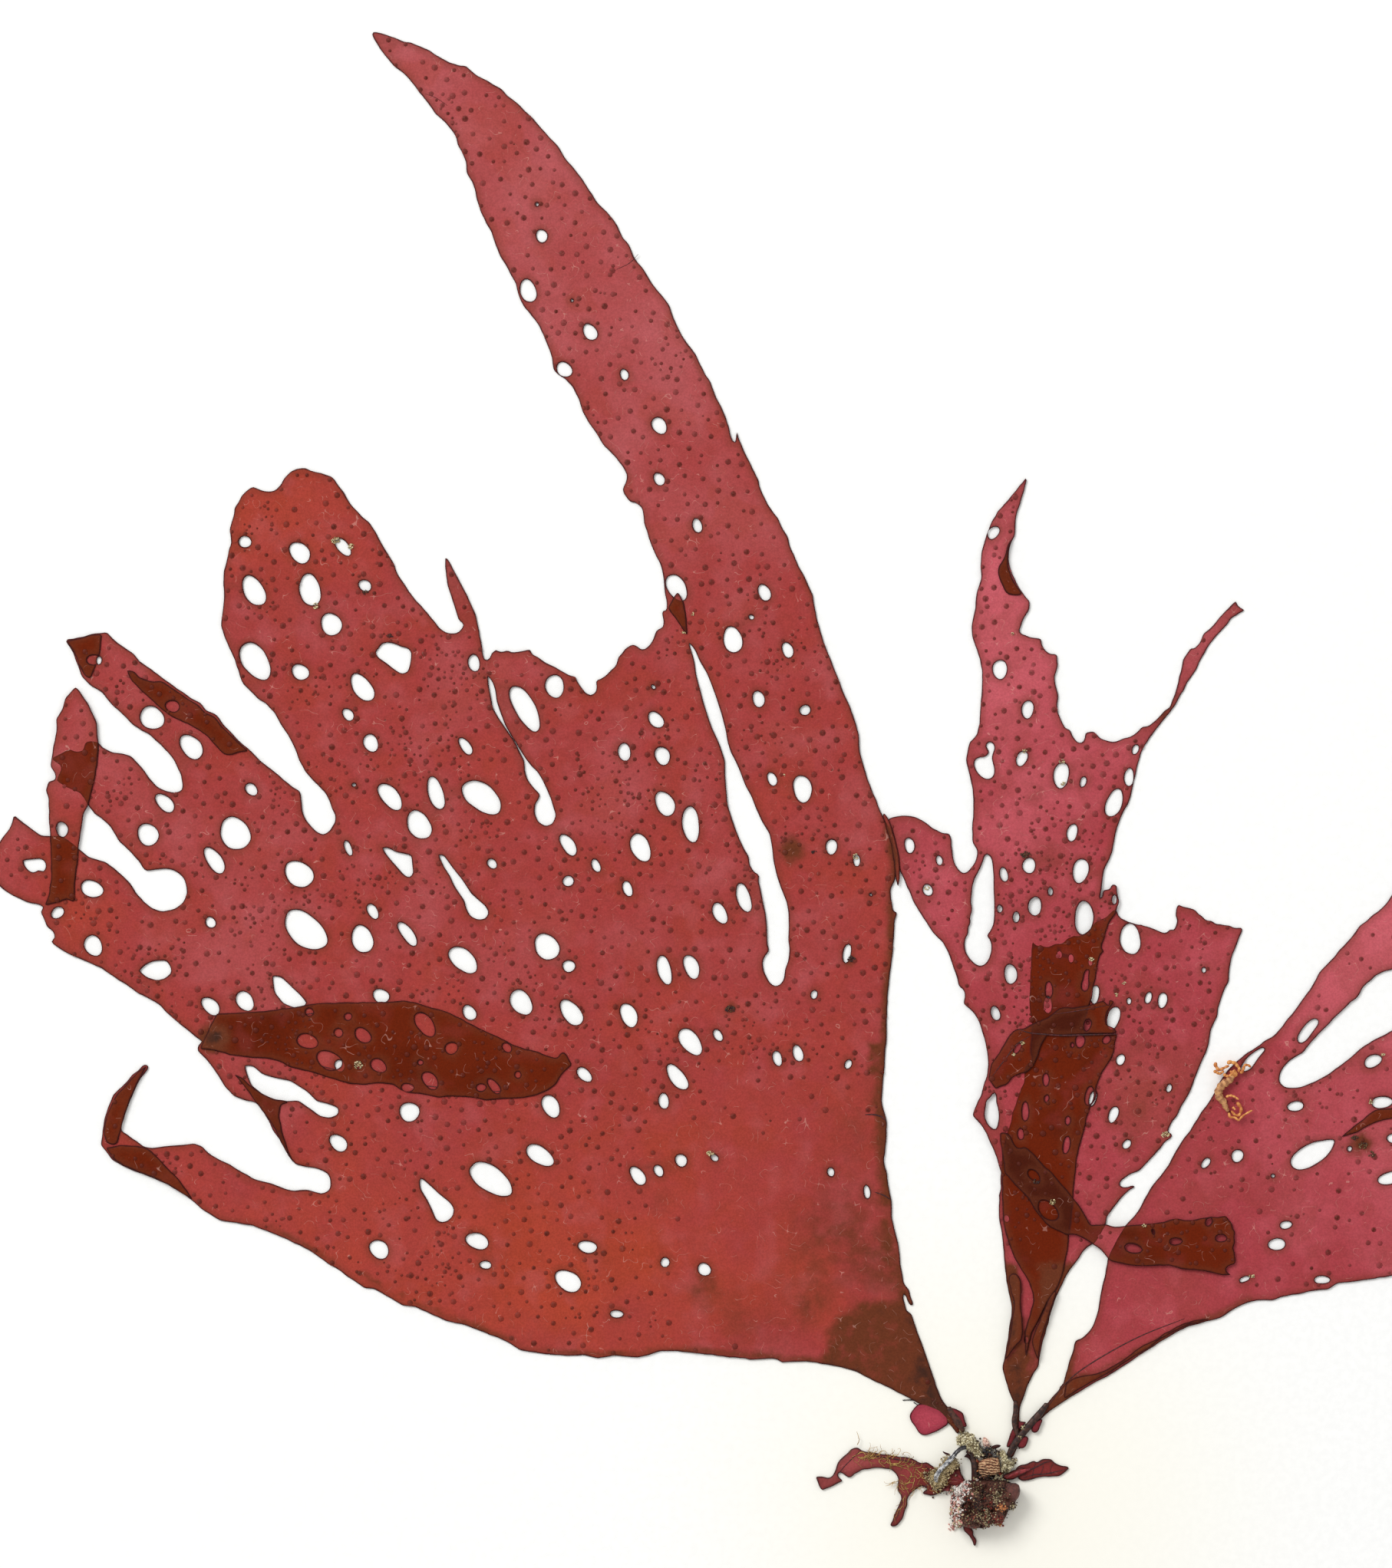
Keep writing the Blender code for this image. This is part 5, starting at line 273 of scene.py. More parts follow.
MIDDLE_BACK = pairs("""
3.5 6.9  3.6 7.8  4 8.7  4.3 9.5  4.6 10.2  4.8 11.2  4.85 12.5  4.8 13.6  4.7 14.8  4.3 16  3.7 17.3
3.2 19  2.8 20.5  2.8 21.1  3.1 22  3.4 24  3.8 26.5  4.1 28.5  4.3 30  4 31.5  3.6 33  3.4 34.5
3.2 36  3 38  2.85 40  2.6 42  2.3 43.5  2.2 45  2.25 46.5  2.2 47.5  2.5 48.5  2.5 50  2.6 51.5
2.7 53  2.8 54.6  3.2 55.8  3.5 57.2  3.9 58.2  4.2 59  4.3 60.2  4.8 61.3  5.1 62.5  5.6 64  6.1 65
6.2 66.3  6.4 67.4  6.9 67.9  7.3 68.2  7.35 68.9  7.1 69.7  7.2 71  7.3 72.5  7.35 74  7.2 75  7 76
6.9 77.5  7 79  7.1 81  7.2 83.5  7.3 85.5  7.4 86.9  7.8 86.3  8.3 86.1  9 86.2  9.8 85.9  10.4 86.2
11 86.5  11.8 86.4  12.5 86.8  12.7 87.3  13.3 87.4  13.9 87.8  14.4 87.6  15 87.8  15.8 88.2  16.6 89
17.1 89.8  17.5 90.1  18.1 90.3  18.7 90.5  19.4 91.2  20 91.8  20.5 91.7  20.7 91  21.2 90.4
21.9 90.05  22.8 89.8  23.4 89.6  24 89.4  24.2 89.6  24.6 89.3  25.4 89.1  26.2 88.9  26.9 88.5
27.8 88.2  28.4 88.3  28.8 88.9  29.2 88.5  29.5 88.9  29.8 89.7  29.9 90.2  29.5 90.8  29.7 91.5
29.8 92.2  30.1 92.7  30.5 92.3  31.3 92.1  32.2 91.9  32.8 91.6  33.1 91  33.7 90.8  34.2 90.2
34.8 90  35.3 90  35.8 89.5  36.6 89.5  37.3 89.3  38 89.3  38.5 89  39.3 88.9  40 89  39.9 88.3
39.5 87.3  39.1 86.3  38.6 85.3  38.2 84  38 82.5  37.9 81.5  38 80.8  37.5 80  37 79  36.6 77.8
36.2 76.5  36 75  35.2 73.5  34.9 72  34.7 70.8  34.4 69.8  33.9 68.8  33.4 67.7  32.8 66.2  32.4 65
32 63.8  31.5 62.9  30.9 62  30.4 61  29.9 59.9  29.5 59.4  29 58.8  28.6 58  28.4 57.4  28.6 57
29 57.2  29.1 56.6  28.7 56.2  28 55.8  27.4 55  26.6 54.1  25.7 53  24.8 52.1  24.1 51.3  23.3 51.1
22.4 50.6  21.5 50.1  20.9 49.4  21 48.9  21.6 48.6  22.3 48.8  23 49.1  23.5 48.8  22.6 48.4
21.8 47.8  21.1 47  20.5 46.2  20 45.5  19.6 45  19.1 44.4  18.9 43.6  18.8 43  18.4 42.4  18 41.6
17.6 40.9  17.2 40.3  16.8 39.9  16.1 39.6  15.4 38.9  14.8 38  14.1 37.1  13.3 36  12.6 35  12.2 34
11.7 33  11.2 32  10.8 31  10.5 29.8  10.1 28.7  9.9 27.6  9.5 26.4  9.1 25  8.8 23.5  8.5 22  8.4 21
7.8 20.2  7.3 19.2  6.8 18.2  6.4 17.2  6 16  5.6 15  5.45 14  5.45 12.8  5.5 11.8  5.6 10.6  5.4 9.4
5 8.3  4.6 7.4  4.3 6.8""")

MIDDLE_BACK_OVALS = (
    (17.1, 78.6, 2.9, 1.3, 80), (20, 75, 3.5, 1.9, 75), (22.4, 77.6, 1.2, 0.7, 85), (25.4, 78.1, 1.9, 1, 75),
    (27.6, 77.7, 2.6, 1.3, 80), (34, 82.4, 1, 0.7, 80), (22.6, 87.2, 4.6, 3.2, 95),
    (21.1, 68.5, 1.8, 1.3, 75), (20, 60, 2.6, 1.4, 70), (28.6, 64.1, 1.5, 0.8, 70),
    (22.05, 55.4, 1.7, 1.1, 55), (16.8, 62.5, 2.6, 1, 75), (11.6, 84.8, 1.3, 0.8, 90),
    (13.4, 84.2, 1.5, 0.8, 90), (16.4, 83.6, 1.3, 0.7, 90), (9.8, 77, 2.8, 1.2, 88),
    (3.4, 43.9, 1.3, 0.8, 100), (6.5, 25.1, 1.2, 0.6, 90),
)

MIDDLE_FRONT = pairs("""
6.4 22.5  6.2 26.5  7.6 31  7.4 32.5  6.9 34  6.2 35.2  5.3 36.6  4.5 38  3.8 40  3.1 42  2.9 44
2.8 46  2.7 48  2.7 50.5  2.2 52  1.8 53.5  1.2 55  0.3 57  -0.6 58.6  -1.9 59.9  -1.5 61  -0.6 63
0 65  0.5 66.3  0.6 68.2  0.4 70  0 71.6  -0.4 73  -0.8 74.2  -1.2 75  -1.8 75.9  -2.5 76.6  -3.2 77.1
-3.3 77.3  -3 78.2  -3 78.8  -3.3 79.5  -4 79.9  -4.2 81  -4.7 82.5  -5.2 84  -5.8 85.5  -6.7 87
-7.8 88  -8.4 88.8  -8.9 89.7  -9.6 90.6  -10.3 91.8  -11 93  -11.7 94.6  -12.2 95.8  -12.7 97
-13.1 97.7  -13.35 98.5  -13.45 99.9  -13.8 101.6  -14.2 103.3  -14.7 104.7  -15.1 105.6  -14.8 105.9
-14 106.2  -12.7 106.4  -11.5 106.3  -10.2 105.9  -9 105.2  -7.8 104.3  -6.6 103.7  -5.4 103.6
-5.1 102.5  -5 101  -4.9 100  -4.6 98.8  -4 97.9  -3.3 97.4  -2.6 97.6  -1.9 98.4  -1.3 99.4
-1.1 100.4  -1.2 101.2  -1.9 102.3  -1.9 104  -1.8 106  -1.7 108  -1.8 110  -2.1 111.8  -2.5 113.5
-2.9 115  -2.7 116  -2.4 117.2  -2.3 117.8  -1.6 118.4  -1.1 119  -0.9 120  -0.7 121.5  -0.6 123.5
-0.4 125.5  -0.3 127.5  -0.4 129  -0.7 130.5  -1.2 132  -1.7 133.5  -2 135  -2 135.8  -1.7 137
-1.4 138.5  -1.3 140  -1.2 141  -0.8 142  -0.5 143.5  -0.6 145  -0.5 147  -0.2 148.2  0 149  0.3 150
0.8 151  1.2 152  1.7 152.8  2 153.5  2.9 154.4  3.7 155.3  4.5 156.3  5.3 157.3  6 158.2  6.3 158.8
6.7 158.5  6.4 157.6  6.2 156.8  5.9 155.9  5.6 155  5.4 154.1  5.1 153.5  4.9 152.5  4.8 151.3
4.8 150  4.7 149.7  4.3 149  4 148.3  3.8 147.3  3.75 146.3  3.9 145  4.3 143.8  5 142.3  5.7 141.2
6.4 140.2  7 139.6  7 139  6.95 138.2  6.3 137.2  5.7 136  5.4 135  5.7 134.5  6.3 134.3  7.2 134
8 133.9  8.8 133.8  8.8 132.9  9.2 132.2  10 131.4  10.8 131.3  11.2 131.4  11.3 130.7  11.2 130.2
11.5 129.8  11.2 129  10.9 128  11 126.8  11.3 125.5  11.5 125  11.3 123.5  11.4 122.5  11.8 121.2
12.3 120.2  12.6 119.8  13.3 119.7  13.5 119  14 118.1  14.6 117.6  15.2 117.7  15.6 118.4  15.6 119.2
16.3 119.4  17 119.4  17.4 118.9  18 118.3  19 117.9  20.2 117.8  20.9 118  21.6 118.4  22.4 118.5
23.3 119  24 119.6  24.5 120.2  25 120.1  25.7 120.4  26.4 121  27.2 121.9  28 122.7  28.7 123.1
29 124  29.5 125.3  30 127  30.5 129  30.8 130.6  31.3 131.4  32 132.4  32.5 132.2  33.2 132.9
33.6 133.7  34 134.6  34.8 135.2  35.6 136  36.5 137.1  37.5 138.2  38.4 139.1  39 139.7  39.1 139
39.6 138.5  40.4 138.2  39.3 137.6  38.2 136.9  37.7 136  36.8 135.1  35.8 134  34.8 132.8  34 131.4
33.3 130.2  32.9 129  32.2 128.1  31.5 127  30.9 125.8  30.2 124.6  29.5 123.4  28.7 122.3  27.9 121.3
27 120.2  26.2 119.2  25.4 118.1  24.7 117  24.1 115.5  23.7 114  23.4 112.5  23 110.8  22.7 109.3
22.3 108.2  21.7 107.2  21.2 106.2  20.6 104.6  20.2 103  19.9 101.3  19.5 99.8  19 98.8  18.5 97.8
18.3 96.6  18.2 95.3  17.8 93.4  18.2 93.6  18.4 94.9  19 94.8  19.6 95.1  19.7 95.7  20.5 95.6
20.6 94.5  20.7 93.7  20.9 93  20.6 92.3  20.4 91.3  19.9 90.6  19.2 89.5  18.8 88.4  18.6 87.3
18.2 86.5  18.1 85.7  18.6 85.4  17.9 84.7  17.5 83.5  17.3 81.5  16.9 79.8  16.6 78  16.2 77
15.8 75.8  15.4 74.2  15.4 72.8  17.5 72.6  20.6 72.5  20.2 71  20 69.6  19.5 68.5  18.8 67.5
18.2 66.4  17.6 65.2  17.3 64.3  17.35 63.2  17.1 62.2  16.4 61.3  16.2 60.6  15.8 59.4  15.5 58
15.3 57.2  15 56  14.6 54.6  14.3 53  14.1 51.5  13.9 50  13.8 48.5  13.7 47  13.5 45  13.3 43.4
13.1 41.5  13 40  12.7 38.3  12.4 36.5  12 34.9  11.5 33.6  10.8 32.3  10 31.3  9.3 30  8.6 28.6
8 27.5  7.3 26  7 25""")

MIDDLE_FRONT_OVALS = (
    (1.4, 150.2, 2.3, 1.5, 55), (2.4, 129, 3.1, 2.1, 92), (6.7, 122.8, 2.8, 1.8, 88),
    (5.8, 115.2, 2.5, 1.6, 70), (11.9, 112.6, 3.8, 2.4, 83), (15.3, 111.6, 1.8, 0.9, 72),
    (23.4, 116.6, 1.7, 1, 65), (22.4, 112.3, 2.9, 1.4, 83), (20.1, 108.3, 4.4, 2.4, 72),
    (13.6, 103.7, 2.7, 1.6, 75), (14.9, 97.8, 3.9, 2.3, 82), (-11.6, 101.7, 2.4, 1.5, 95),
    (-7, 99.4, 1.6, 1, 100), (-8.8, 94.8, 1.8, 1.5, 110), (3, 97.2, 2.3, 1.2, 105),
    (6.9, 98.6, 2.5, 1.9, 90), (10.2, 94.6, 1.4, 0.8, 95), (2.35, 91.9, 1.4, 0.8, 97),
    (4.9, 90.6, 1.8, 1, 90), (7.8, 92.3, 3.1, 1.9, 88), (15.4, 90.5, 5, 2.9, 85),
    (4.05, 81.8, 3.1, 1.9, 100), (1.7, 75.7, 2.4, 1.3, 105), (20.1, 93.3, 1.7, 0.7, 88),
    (9.95, 79.3, 2.7, 1.1, 88), (14.8, 71.4, 2, 1.4, 90), (13.6, 70.8, 0.9, 0.5, 90),
    (18.9, 71.6, 1.5, 1.1, 40), (9.5, 65.4, 2.2, 0.9, 92), (9.6, 62.5, 1.4, 0.7, 80),
    (6.3, 60.5, 3.1, 1, 88), (5.6, 57, 1.8, 1, 95), (12.9, 59.1, 1.5, 0.8, 88), (12.7, 55.3, 2.8, 1, 80),
    (16.25, 62.9, 3, 1.3, 78),
)

MIDDLE_FRONT_CUTS = tuple(pairs(text) for text in (
    """0.9 117.8  1.4 117.5  1.6 116.8  1.3 116  1.1 115.3  1.3 114.5  1.55 113.6  1.5 112.7  1 112.1
    0.3 112  -0.5 112.4  -1.2 113.2  -1.6 114.2  -1.5 115  -0.8 115.4  0 115.4  0.5 115.7  0.8 116.2
    0.5 116.7  0.2 117.1  0.4 117.6""",
    """0.4 100.4  0.1 100.3  -0.2 99.3  -0.6 98.3  -1.2 97.2  -1.6 96.4  -1.9 95.2  -2 94  -2.1 93
    -1.9 92  -2 91.3  -2.3 90.6  -2.1 89.8  -2.5 89  -2.5 88  -2.9 87.5  -3.1 86.5  -2.9 85.2
    -2.3 84.2  -1.5 83.4  -0.7 83  0.1 83.3  0.7 84.2  1 85.2  1.1 86.3  0.8 87.2  0.3 87.7  0.9 88.5
    1.4 89.6  1.5 91  1.5 93  1.4 95  1.4 97  1.3 98.3  1.2 99.3  0.9 100.1""",
    """0 60.1  0.25 61.5  0.3 62.2  0.9 62.6  1.2 63.1  1.6 63.5  1.8 62.8  1.8 61.8  2 61.3  2.2 60.3
    2.2 59.3  2 58.3  1.8 57.7  1.3 57.8  0.6 58.4  0.1 59.4""",
    """16.2 82.5  15.8 82.6  15.4 81.7  15.4 81.1  15.1 80.4  15 79.5  15.5 79.1  16 79.3  16.1 80.3
    16.05 81.3""",
))

CROSS_FLAP = pairs("""
0.6 65.6  0.8 66.8  1.1 68  2.2 69.5  3 71  3.9 72.4  4.6 73.1  5.1 73.3  6 73.3  7.2 74.1  8.7 74.6
9.9 75.1  10.8 75.8  11.6 76.5  12.5 76.65  14 76.6  15.2 76.85  16 76.95  17 77.2  18.2 77.7
18.7 77.6  18.8 77.2  19.1 76.9  19.3 76.9  19.2 77.9  20.2 77.6  19.6 76.8  19.2 76.2  18.9 75.4
18.7 74.6  18.8 74  19.6 73.6  20.2 73.4  20.6 72.6  16 72.5  12 72.3  9.8 72.4  8.9 71  8.2 69
7.6 67.5  6.9 66.8  6.3 66.5  5.6 66.4  5 66.2  4.2 65.6  3.6 64.8  3.2 64.5  2.6 64.4  1.7 63.9
1.2 64.6""")

CROSS_OVALS = ((5.1, 70.3, 2.2, 0.8, 60), (15.9, 73.9, 2.1, 1, 75))

DIAGONAL_STRIP = pairs("""
2.3 57.2  2.9 57.3  3.5 57.2  4.1 56.5  4.5 55.6  5 54.9  5.5 54.9  6.4 54.95  7 54.4  7.8 53.7
8.5 52.9  8.9 52.4  9.4 51.8  10 51.5  10.6 50.9  11.2 50.1  11.7 49.4  12.2 48.9  12.9 48.1  13.5 47.3
14.2 46.5  14.8 45.7  15.3 44.9  15.9 43.8  16.4 42.9  17.7 43  18.9 43.1  19.8 42.65  20.8 42.65
21.8 42.8  23.5 42.95  25 43.1  26.5 43.2  27.8 43.4  28.8 43.8  29.8 44  31 43.7  32.2 43.7  33.5 44
35 44.2  36.3 44.2  37.5 44.4  37.8 43.8  38.4 43.2  38.4 42.4  38.8 42  38.6 41  38.8 40.2  38.4 39.3
38.8 38.8  38.7 38  38.9 37.4  38.8 36.9  38 36.7  37.4 36.3  37.3 35.9  37.8 35.4  38.3 35.2
37.3 35.1  36 35.3  34.8 35.6  33.5 35.9  32 36  30.5 36.1  29.5 36.4  28.5 36.7  27 36.7  25.5 36.6
24 36.6  22.5 36.7  21 37  20 37.2  19.2 37.5  18.8 38.1  18.2 38.9  17.6 39.4  17 39.8  16.6 40
15.8 40.5  15.1 41  14.3 41.3  13.5 41.5  12.9 41.3  12.4 41.4  11.9 41.8  11 42.1  10.2 42.6  9.5 43.1
8.9 43.8  8.2 44.6  7.6 45.4  7.2 46.3  6.7 47  6.1 47.8  5.5 48.3  4.9 48.9  4.3 49.7  3.7 50.4
3.1 51  3 52  2.8 53.6  2.5 55.2""")

DIAGONAL_OVALS = (
    (7.6, 50.6, 2.4, 1.3, -40), (9.8, 45.2, 3.9, 2.2, -50), (34.7, 43.4, 1.5, 0.9, 60),
    (26.1, 41.9, 1.2, 0.35, -75), (29.6, 40.4, 2.1, 1, 0), (36.6, 40.9, 2, 1.1, 0),
    (23, 39.3, 2.9, 1.3, -10),
)

MIDDLE_FLAPS = tuple(pairs(text) for text in (
    """2.2 145  2.7 145.7  3.1 146.5  3.35 147.5  3.6 148.4  4 148.9  4.3 149.3  4.1 148.8  3.75 147.5
    3.6 146  3.7 144.9  4.2 143.4  5 141.9  5.9 140.7  5.3 140.5  4.2 140.5  3.6 140.7  3.1 141.2
    2.7 142.2  2.3 143  2.1 144""",
    """3.1 21.9  4.7 24  5.8 25.1  6 26.4  5.9 28  5.6 31  5.7 33  5.7 34.2  5.3 35.1  4.7 35.5
    4.1 35.4  3.7 34.7  3.8 33.8  4.2 32.3  4.6 31  4.5 30  4.2 28.5  4 26.6  3.6 24.2""",
    """8.3 21.9  8.5 23.7  8.8 25.2  9.3 26.8  9.7 28  10.1 29.3  10.5 30.6  10.9 31.7  11.3 32.8
    10.7 32.7  10 31.7  9.5 30.5  8.9 29  8.3 27.6  7.6 26  7.3 24.9  7.6 23.6""",
))

RIGHT_OUTLINE = pairs("""
6 11.3  7 12.3  7.8 13.1  8.5 13.9  9.3 14.8  10.2 15.8  11 16.8  11.7 17.5  11.6 17.8  12.2 18.2
12.5 19.3  12.9 20.8  13.3 22.3  13.8 23.8  14.1 25  14.9 25.2  15.6 25.8  16.4 26.6  17 27.5
17.4 28.8  17.7 30.2  17.9 31.8  18.2 33.3  18.6 34.8  18.9 36.2  19.1 37.5  19.4 38.5  20.1 39.9
20.8 41.2  21.6 42.5  22.3 43.3  23.1 44.2  23.9 45.2  24.5 46.3  25.1 47.5  26 49  26.9 50.1  27.7 51
28.5 52.2  29.1 53.3  29.7 54.5  30.4 55.6  31.1 56.6  31.9 57.6  32.6 58.7  33.2 59.7  33.8 60.7
34.5 61.5  35 62.4  35.6 63.3  36.1 64.3  36.6 65.3  37.1 66  37.8 66.9  38.5 67.7  39.2 68.3  40 69
40.9 69.7  41.9 70.3  42.8 70.9  43.6 71.6  44.5 72  45.4 72.8  46.2 73.7  46.8 74.6  47.3 75.2
48.2 76.4  49.1 77.6  50 78.9  50.7 79.8  51.3 80.9  51.8 82  52.4 82.6  53.2 83.4  54.1 84.4  55 85.5
55.9 86.5  56.8 87.4  57.5 88.4  58.3 89.4  59.1 89.95  60 90.8  60.9 91.4  61.7 92.1  62.4 92.9
63.1 94  63.9 95.2  65 96.6  66.3 97.6  67.8 98  69.2 97.5  70.3 96.2  70.9 94.4  70.8 92.3  70.2 90
69.2 87.8  67.9 85.9  66.4 84.4  64.9 83.2  63.1 82.4  62 82.2  61.3 81.9  60.5 81.5  59.9 80.8
59.3 80.4  58.6 79.7  58.2 78.8  57.5 78  56.6 77.3  55.9 76.5  55 75.7  54.2 75  53.5 74.2  52.7 73.4
52.2 73  51.6 72.3  50.8 71.5  50.1 70.6  49.3 69.6  48.4 69.1  47.4 68.4  46.5 67.6  45.9 66.6
45.6 65.6  45.8 64.8  46.5 64.3  47.6 64.1  48.8 64.2  50 64.6  51.3 65.1  52.5 65.8  53.7 66.6
54.8 67.4  55.9 68.2  57 69.1  58 70  59 70.8  60 71.4  61.2 72  62.2 72.5  63.1 73  64.7 74  66.6 75
68.6 75.7  70.5 75.6  72.2 74.7  73.3 73.2  73.6 71.4  73.2 69.4  72.2 67.6  71.9 66.4  72.6 65.4
74.2 64.6  76.4 63.2  78.6 61.2  80.4 58.6  81.6 55.6  82 52.4  81.5 49  80.2 45.6  78.1 42.4
75.4 39.8  72.4 37.8  69.2 36.4  66.1 35.5  63.1 35  62.2 34.8  61 34.7  60 34.5  58.8 34.3  57.5 34.2
56 34  54.8 33.9  54.1 33.5  53.5 33  52.5 32.8  51.3 32.7  50.1 32.5  49 32.2  47.5 32  46.6 31.85
45.8 31.6  45 31.3  44.3 31.15  43.6 31.25  42.8 31.2  41.7 31.1  40.8 30.9  39.9 30.5  38.8 29.9
37.8 29.3  37 28.7  36.3 28.4  35.5 28.2  34.2 27.9  33 27.5  31.8 27.2  30.6 26.7  29.4 26.1
28.2 25.3  27 24.7  26 23.9  24.5 23  23 22  21.5 21  20 20  18.5 19.2  17 18.4  15.5 17.5  14 16.6
12.5 15.7  11.2 14.8  10 13.9  9 13  8 12.1  7 11.1  6.4 10.6""")

RIGHT_OVALS = (
    (48.2, 61.3, 2.7, 1.4, 10), (60.2, 68.3, 2.8, 1.8, 20), (61.6, 61.9, 3.4, 1.7, 8),
    (63.3, 56.3, 1.9, 1.4, 0), (62.9, 50.2, 4, 1.8, 15), (56.6, 54.7, 0.9, 0.8, 60),
    (34.3, 52.5, 1.9, 1.1, 50), (39.2, 53.6, 2.1, 1.7, 70), (44.7, 50.5, 0.8, 0.6, 0),
    (46.7, 42.9, 2, 1.2, 5), (45.3, 39.9, 2.7, 1.8, 10), (52.3, 34.4, 2.5, 1.2, 0), (40.3, 34.5, 2, 0.7, 20),
    (70.4, 57.2, 2.6, 1.7, 70), (72.8, 48.6, 2.2, 1.5, 110), (68.4, 42.2, 2.9, 1.7, 30),
    (69, 70.4, 2, 1.4, 60), (66.8, 91.6, 2.4, 1.5, 60),
)

RIGHT_CUTS = tuple(pairs(text) for text in (
    """39.6 66.8  40.1 68  40.8 68.9  41.7 69.6  42.6 70.2  43.4 70.45  43.5 70.1  43 69.5  42.4 68.8
    41.8 67.9  41.3 67.2  40.5 66.7""",
    """48.5 71.5  48.6 72.2  49.2 73.2  50 74.2  50.8 74.8  51.5 74.9  51.8 74.5  51.6 73.9  51.1 73.2
    50.5 72.4  49.9 71.6  49.3 71.15  48.8 71.1""",
    """54.3 56.1  53.5 56.1  52.2 55.9  51 55.7  49.9 55.2  48.8 54.5  47.9 53.7  47.4 52.8  47.6 52
    48.4 51.5  49.3 51.5  50.3 51.8  51.2 52.3  52.2 52.9  53 53.6  53.7 54.5  54.1 55.4""",
))

RIGHT_FLAPS = tuple(pairs(text) for text in (
    """55.2 56.5  56.5 57.6  57.5 58.5  58.5 59.1  59.5 60  60.6 60.75  61.8 60.9  63.1 61  65.2 61.6
    67.4 62.6  69.6 64  68.6 62.2  66.9 60.7  65 59.9  63.1 59.4  62 59.2  60.8 58.9  59.8 58.4
    58.7 57.9  57.6 57.2""",
    """12.6 18.2  13.3 18.9  14.3 19.3  15.5 19.6  17 19.8  18.5 20.3  20 21.1  21.5 22  23 23.1
    24.5 24.2  26.6 25.2  27.3 25.8  28.5 26.4  29.8 27.1  31 27.7  32.2 28  33.5 28.3  35 28.4
    33 27.8  31.7 27.5  30.5 27  29.3 26.4  28 25.6  26.8 24.9  25.7 24  24.3 23.2  22.8 22.3
    21.3 21.3  19.8 20.3  18.3 19.5  16.8 18.7  15.3 17.8  13.8 16.9  12.3 16""",
))

ROSE_TAB = pairs("""
-10.4 15.1  -11 14.4  -11.5 13.6  -11.6 13.1  -11.3 12.4  -10.7 11.5  -10.2 10.8  -9.8 10.4  -9.2 10.3
-8.4 10.5  -7.5 10.8  -6.8 11.2  -6.1 11.6  -5.6 12  -5.6 13  -6.8 14.2  -8.2 14.9  -9.4 15.3""")

STIPE_LEAF = pairs("""
-5.9 14.6  -5 14.6  -4 14.2  -3.4 13.9  -3.2 13.4  -3.1 12.7  -2.8 12  -2.75 11.6  -3.4 11.6  -4.3 12
-5.3 13.4""")

JOINT_LEAVES = tuple(pairs(text) for text in (
    "5 12.7  4.6 12  4.2 11  3.8 10  3.5 9.2  3.3 8.5  3.6 8.3  4.4 9  4.9 10.2  5.2 11.4",
    "5 8.5  5.9 8.2  6.3 8.4  6.6 9.2  6.9 9.9  6.6 10.2  6.1 10.2  5.4 9.9",
    "5.2 12.6  5.9 12.4  6.2 12.5  6.6 12.5  6.3 12.1  5.6 11.4  5.2 11.2",
))

RIGHT_LEAF = pairs("""
7.9 12.5  8.5 12.8  9.1 12.9  8.9 12.3  8.6 11.7  8.4 11.1  8.1 10.7  7.6 10.7  7.2 10.9  7.3 11.7""")

FRILL = pairs("""
-26.2 3.9  -25.3 3.9  -24.7 3.8  -24 3.7  -23.5 4  -23.2 4.6  -23 5.4  -22.7 6.1  -22 6.9  -21.2 7.5
-20.5 8.2  -19.9 8.4  -19.6 8.4  -19 8  -18.4 7.8  -17.5 7.7  -16.5 7.5  -15.7 7.3  -15.2 7.5
-14.4 7.3  -13.4 7.1  -13.1 6.9  -12.2 6.9  -11.5 6.8  -11 6.5  -10.4 6.2  -9.9 6  -9.4 6  -8.9 6.1
-8.5 5.8  -7.9 5.4  -7.2 5.2  -6.5 5  -5.6 4.8  -4.6 5  -4 4.6  -3.8 4  -4.1 3.6  -4.8 3  -5.4 2.1
-5.4 1.8  -6.2 1.7  -7 1.3  -7.6 1  -8.3 0.9  -9 1.1  -9.7 1.25  -9.2 1.7  -8.7 2  -9.2 2.3  -9.7 2.5
-10.2 2.2  -10.8 1.9  -11.3 1.4  -11.7 0.9  -12 0.3  -11.9 -0.3  -12.2 -1  -12.4 -1.8  -12.7 -2.6
-13.2 -3.2  -13.6 -3.7  -14.2 -3.9  -14.7 -3.7  -14.4 -3.2  -14.2 -2.6  -13.8 -1.6  -13.3 -0.6  -13 0.2
-12.7 0.8  -13 1  -13.4 1.6  -13.4 2.2  -13.3 3  -13.4 3.6  -13.7 4.2  -14.1 4.6  -14.6 5  -15.2 5.1
-16 5.2  -17 5.2  -18 5  -18.9 4.9  -19.5 4.5  -20.2 4.3  -20.6 3.9  -21.1 3.8  -21.5 4.1  -21.9 4.4
-22.3 4.6  -22.7 4.5  -22.7 3.9  -22.2 3.5  -21.9 3.2  -22.6 2.9  -23.2 2.6  -23.8 2.3  -24.3 2.1
-24.8 2  -25.1 1.7  -25.5 2.2  -25.8 3""")

SPINDLE = pairs("""
4.7 4.9  5.2 5.6  5.7 5.8  6.2 5.8  6.8 6  7.3 6.2  7.8 6.4  7.95 6  8.4 6.2  8.9 6.5  9.6 6.6
10.4 6.6  10.7 6.2  11.1 5.9  11.6 5.6  12 5.5  12.6 5.5  13.2 5.3  12.8 4.8  12.3 4.4  11.7 4
11.2 3.9  10.3 3.9  9.3 3.9  8.6 3.8  8 3.7  7.3 3.4  6.5 3.3  5.9 3.2  5.3 3.6""")

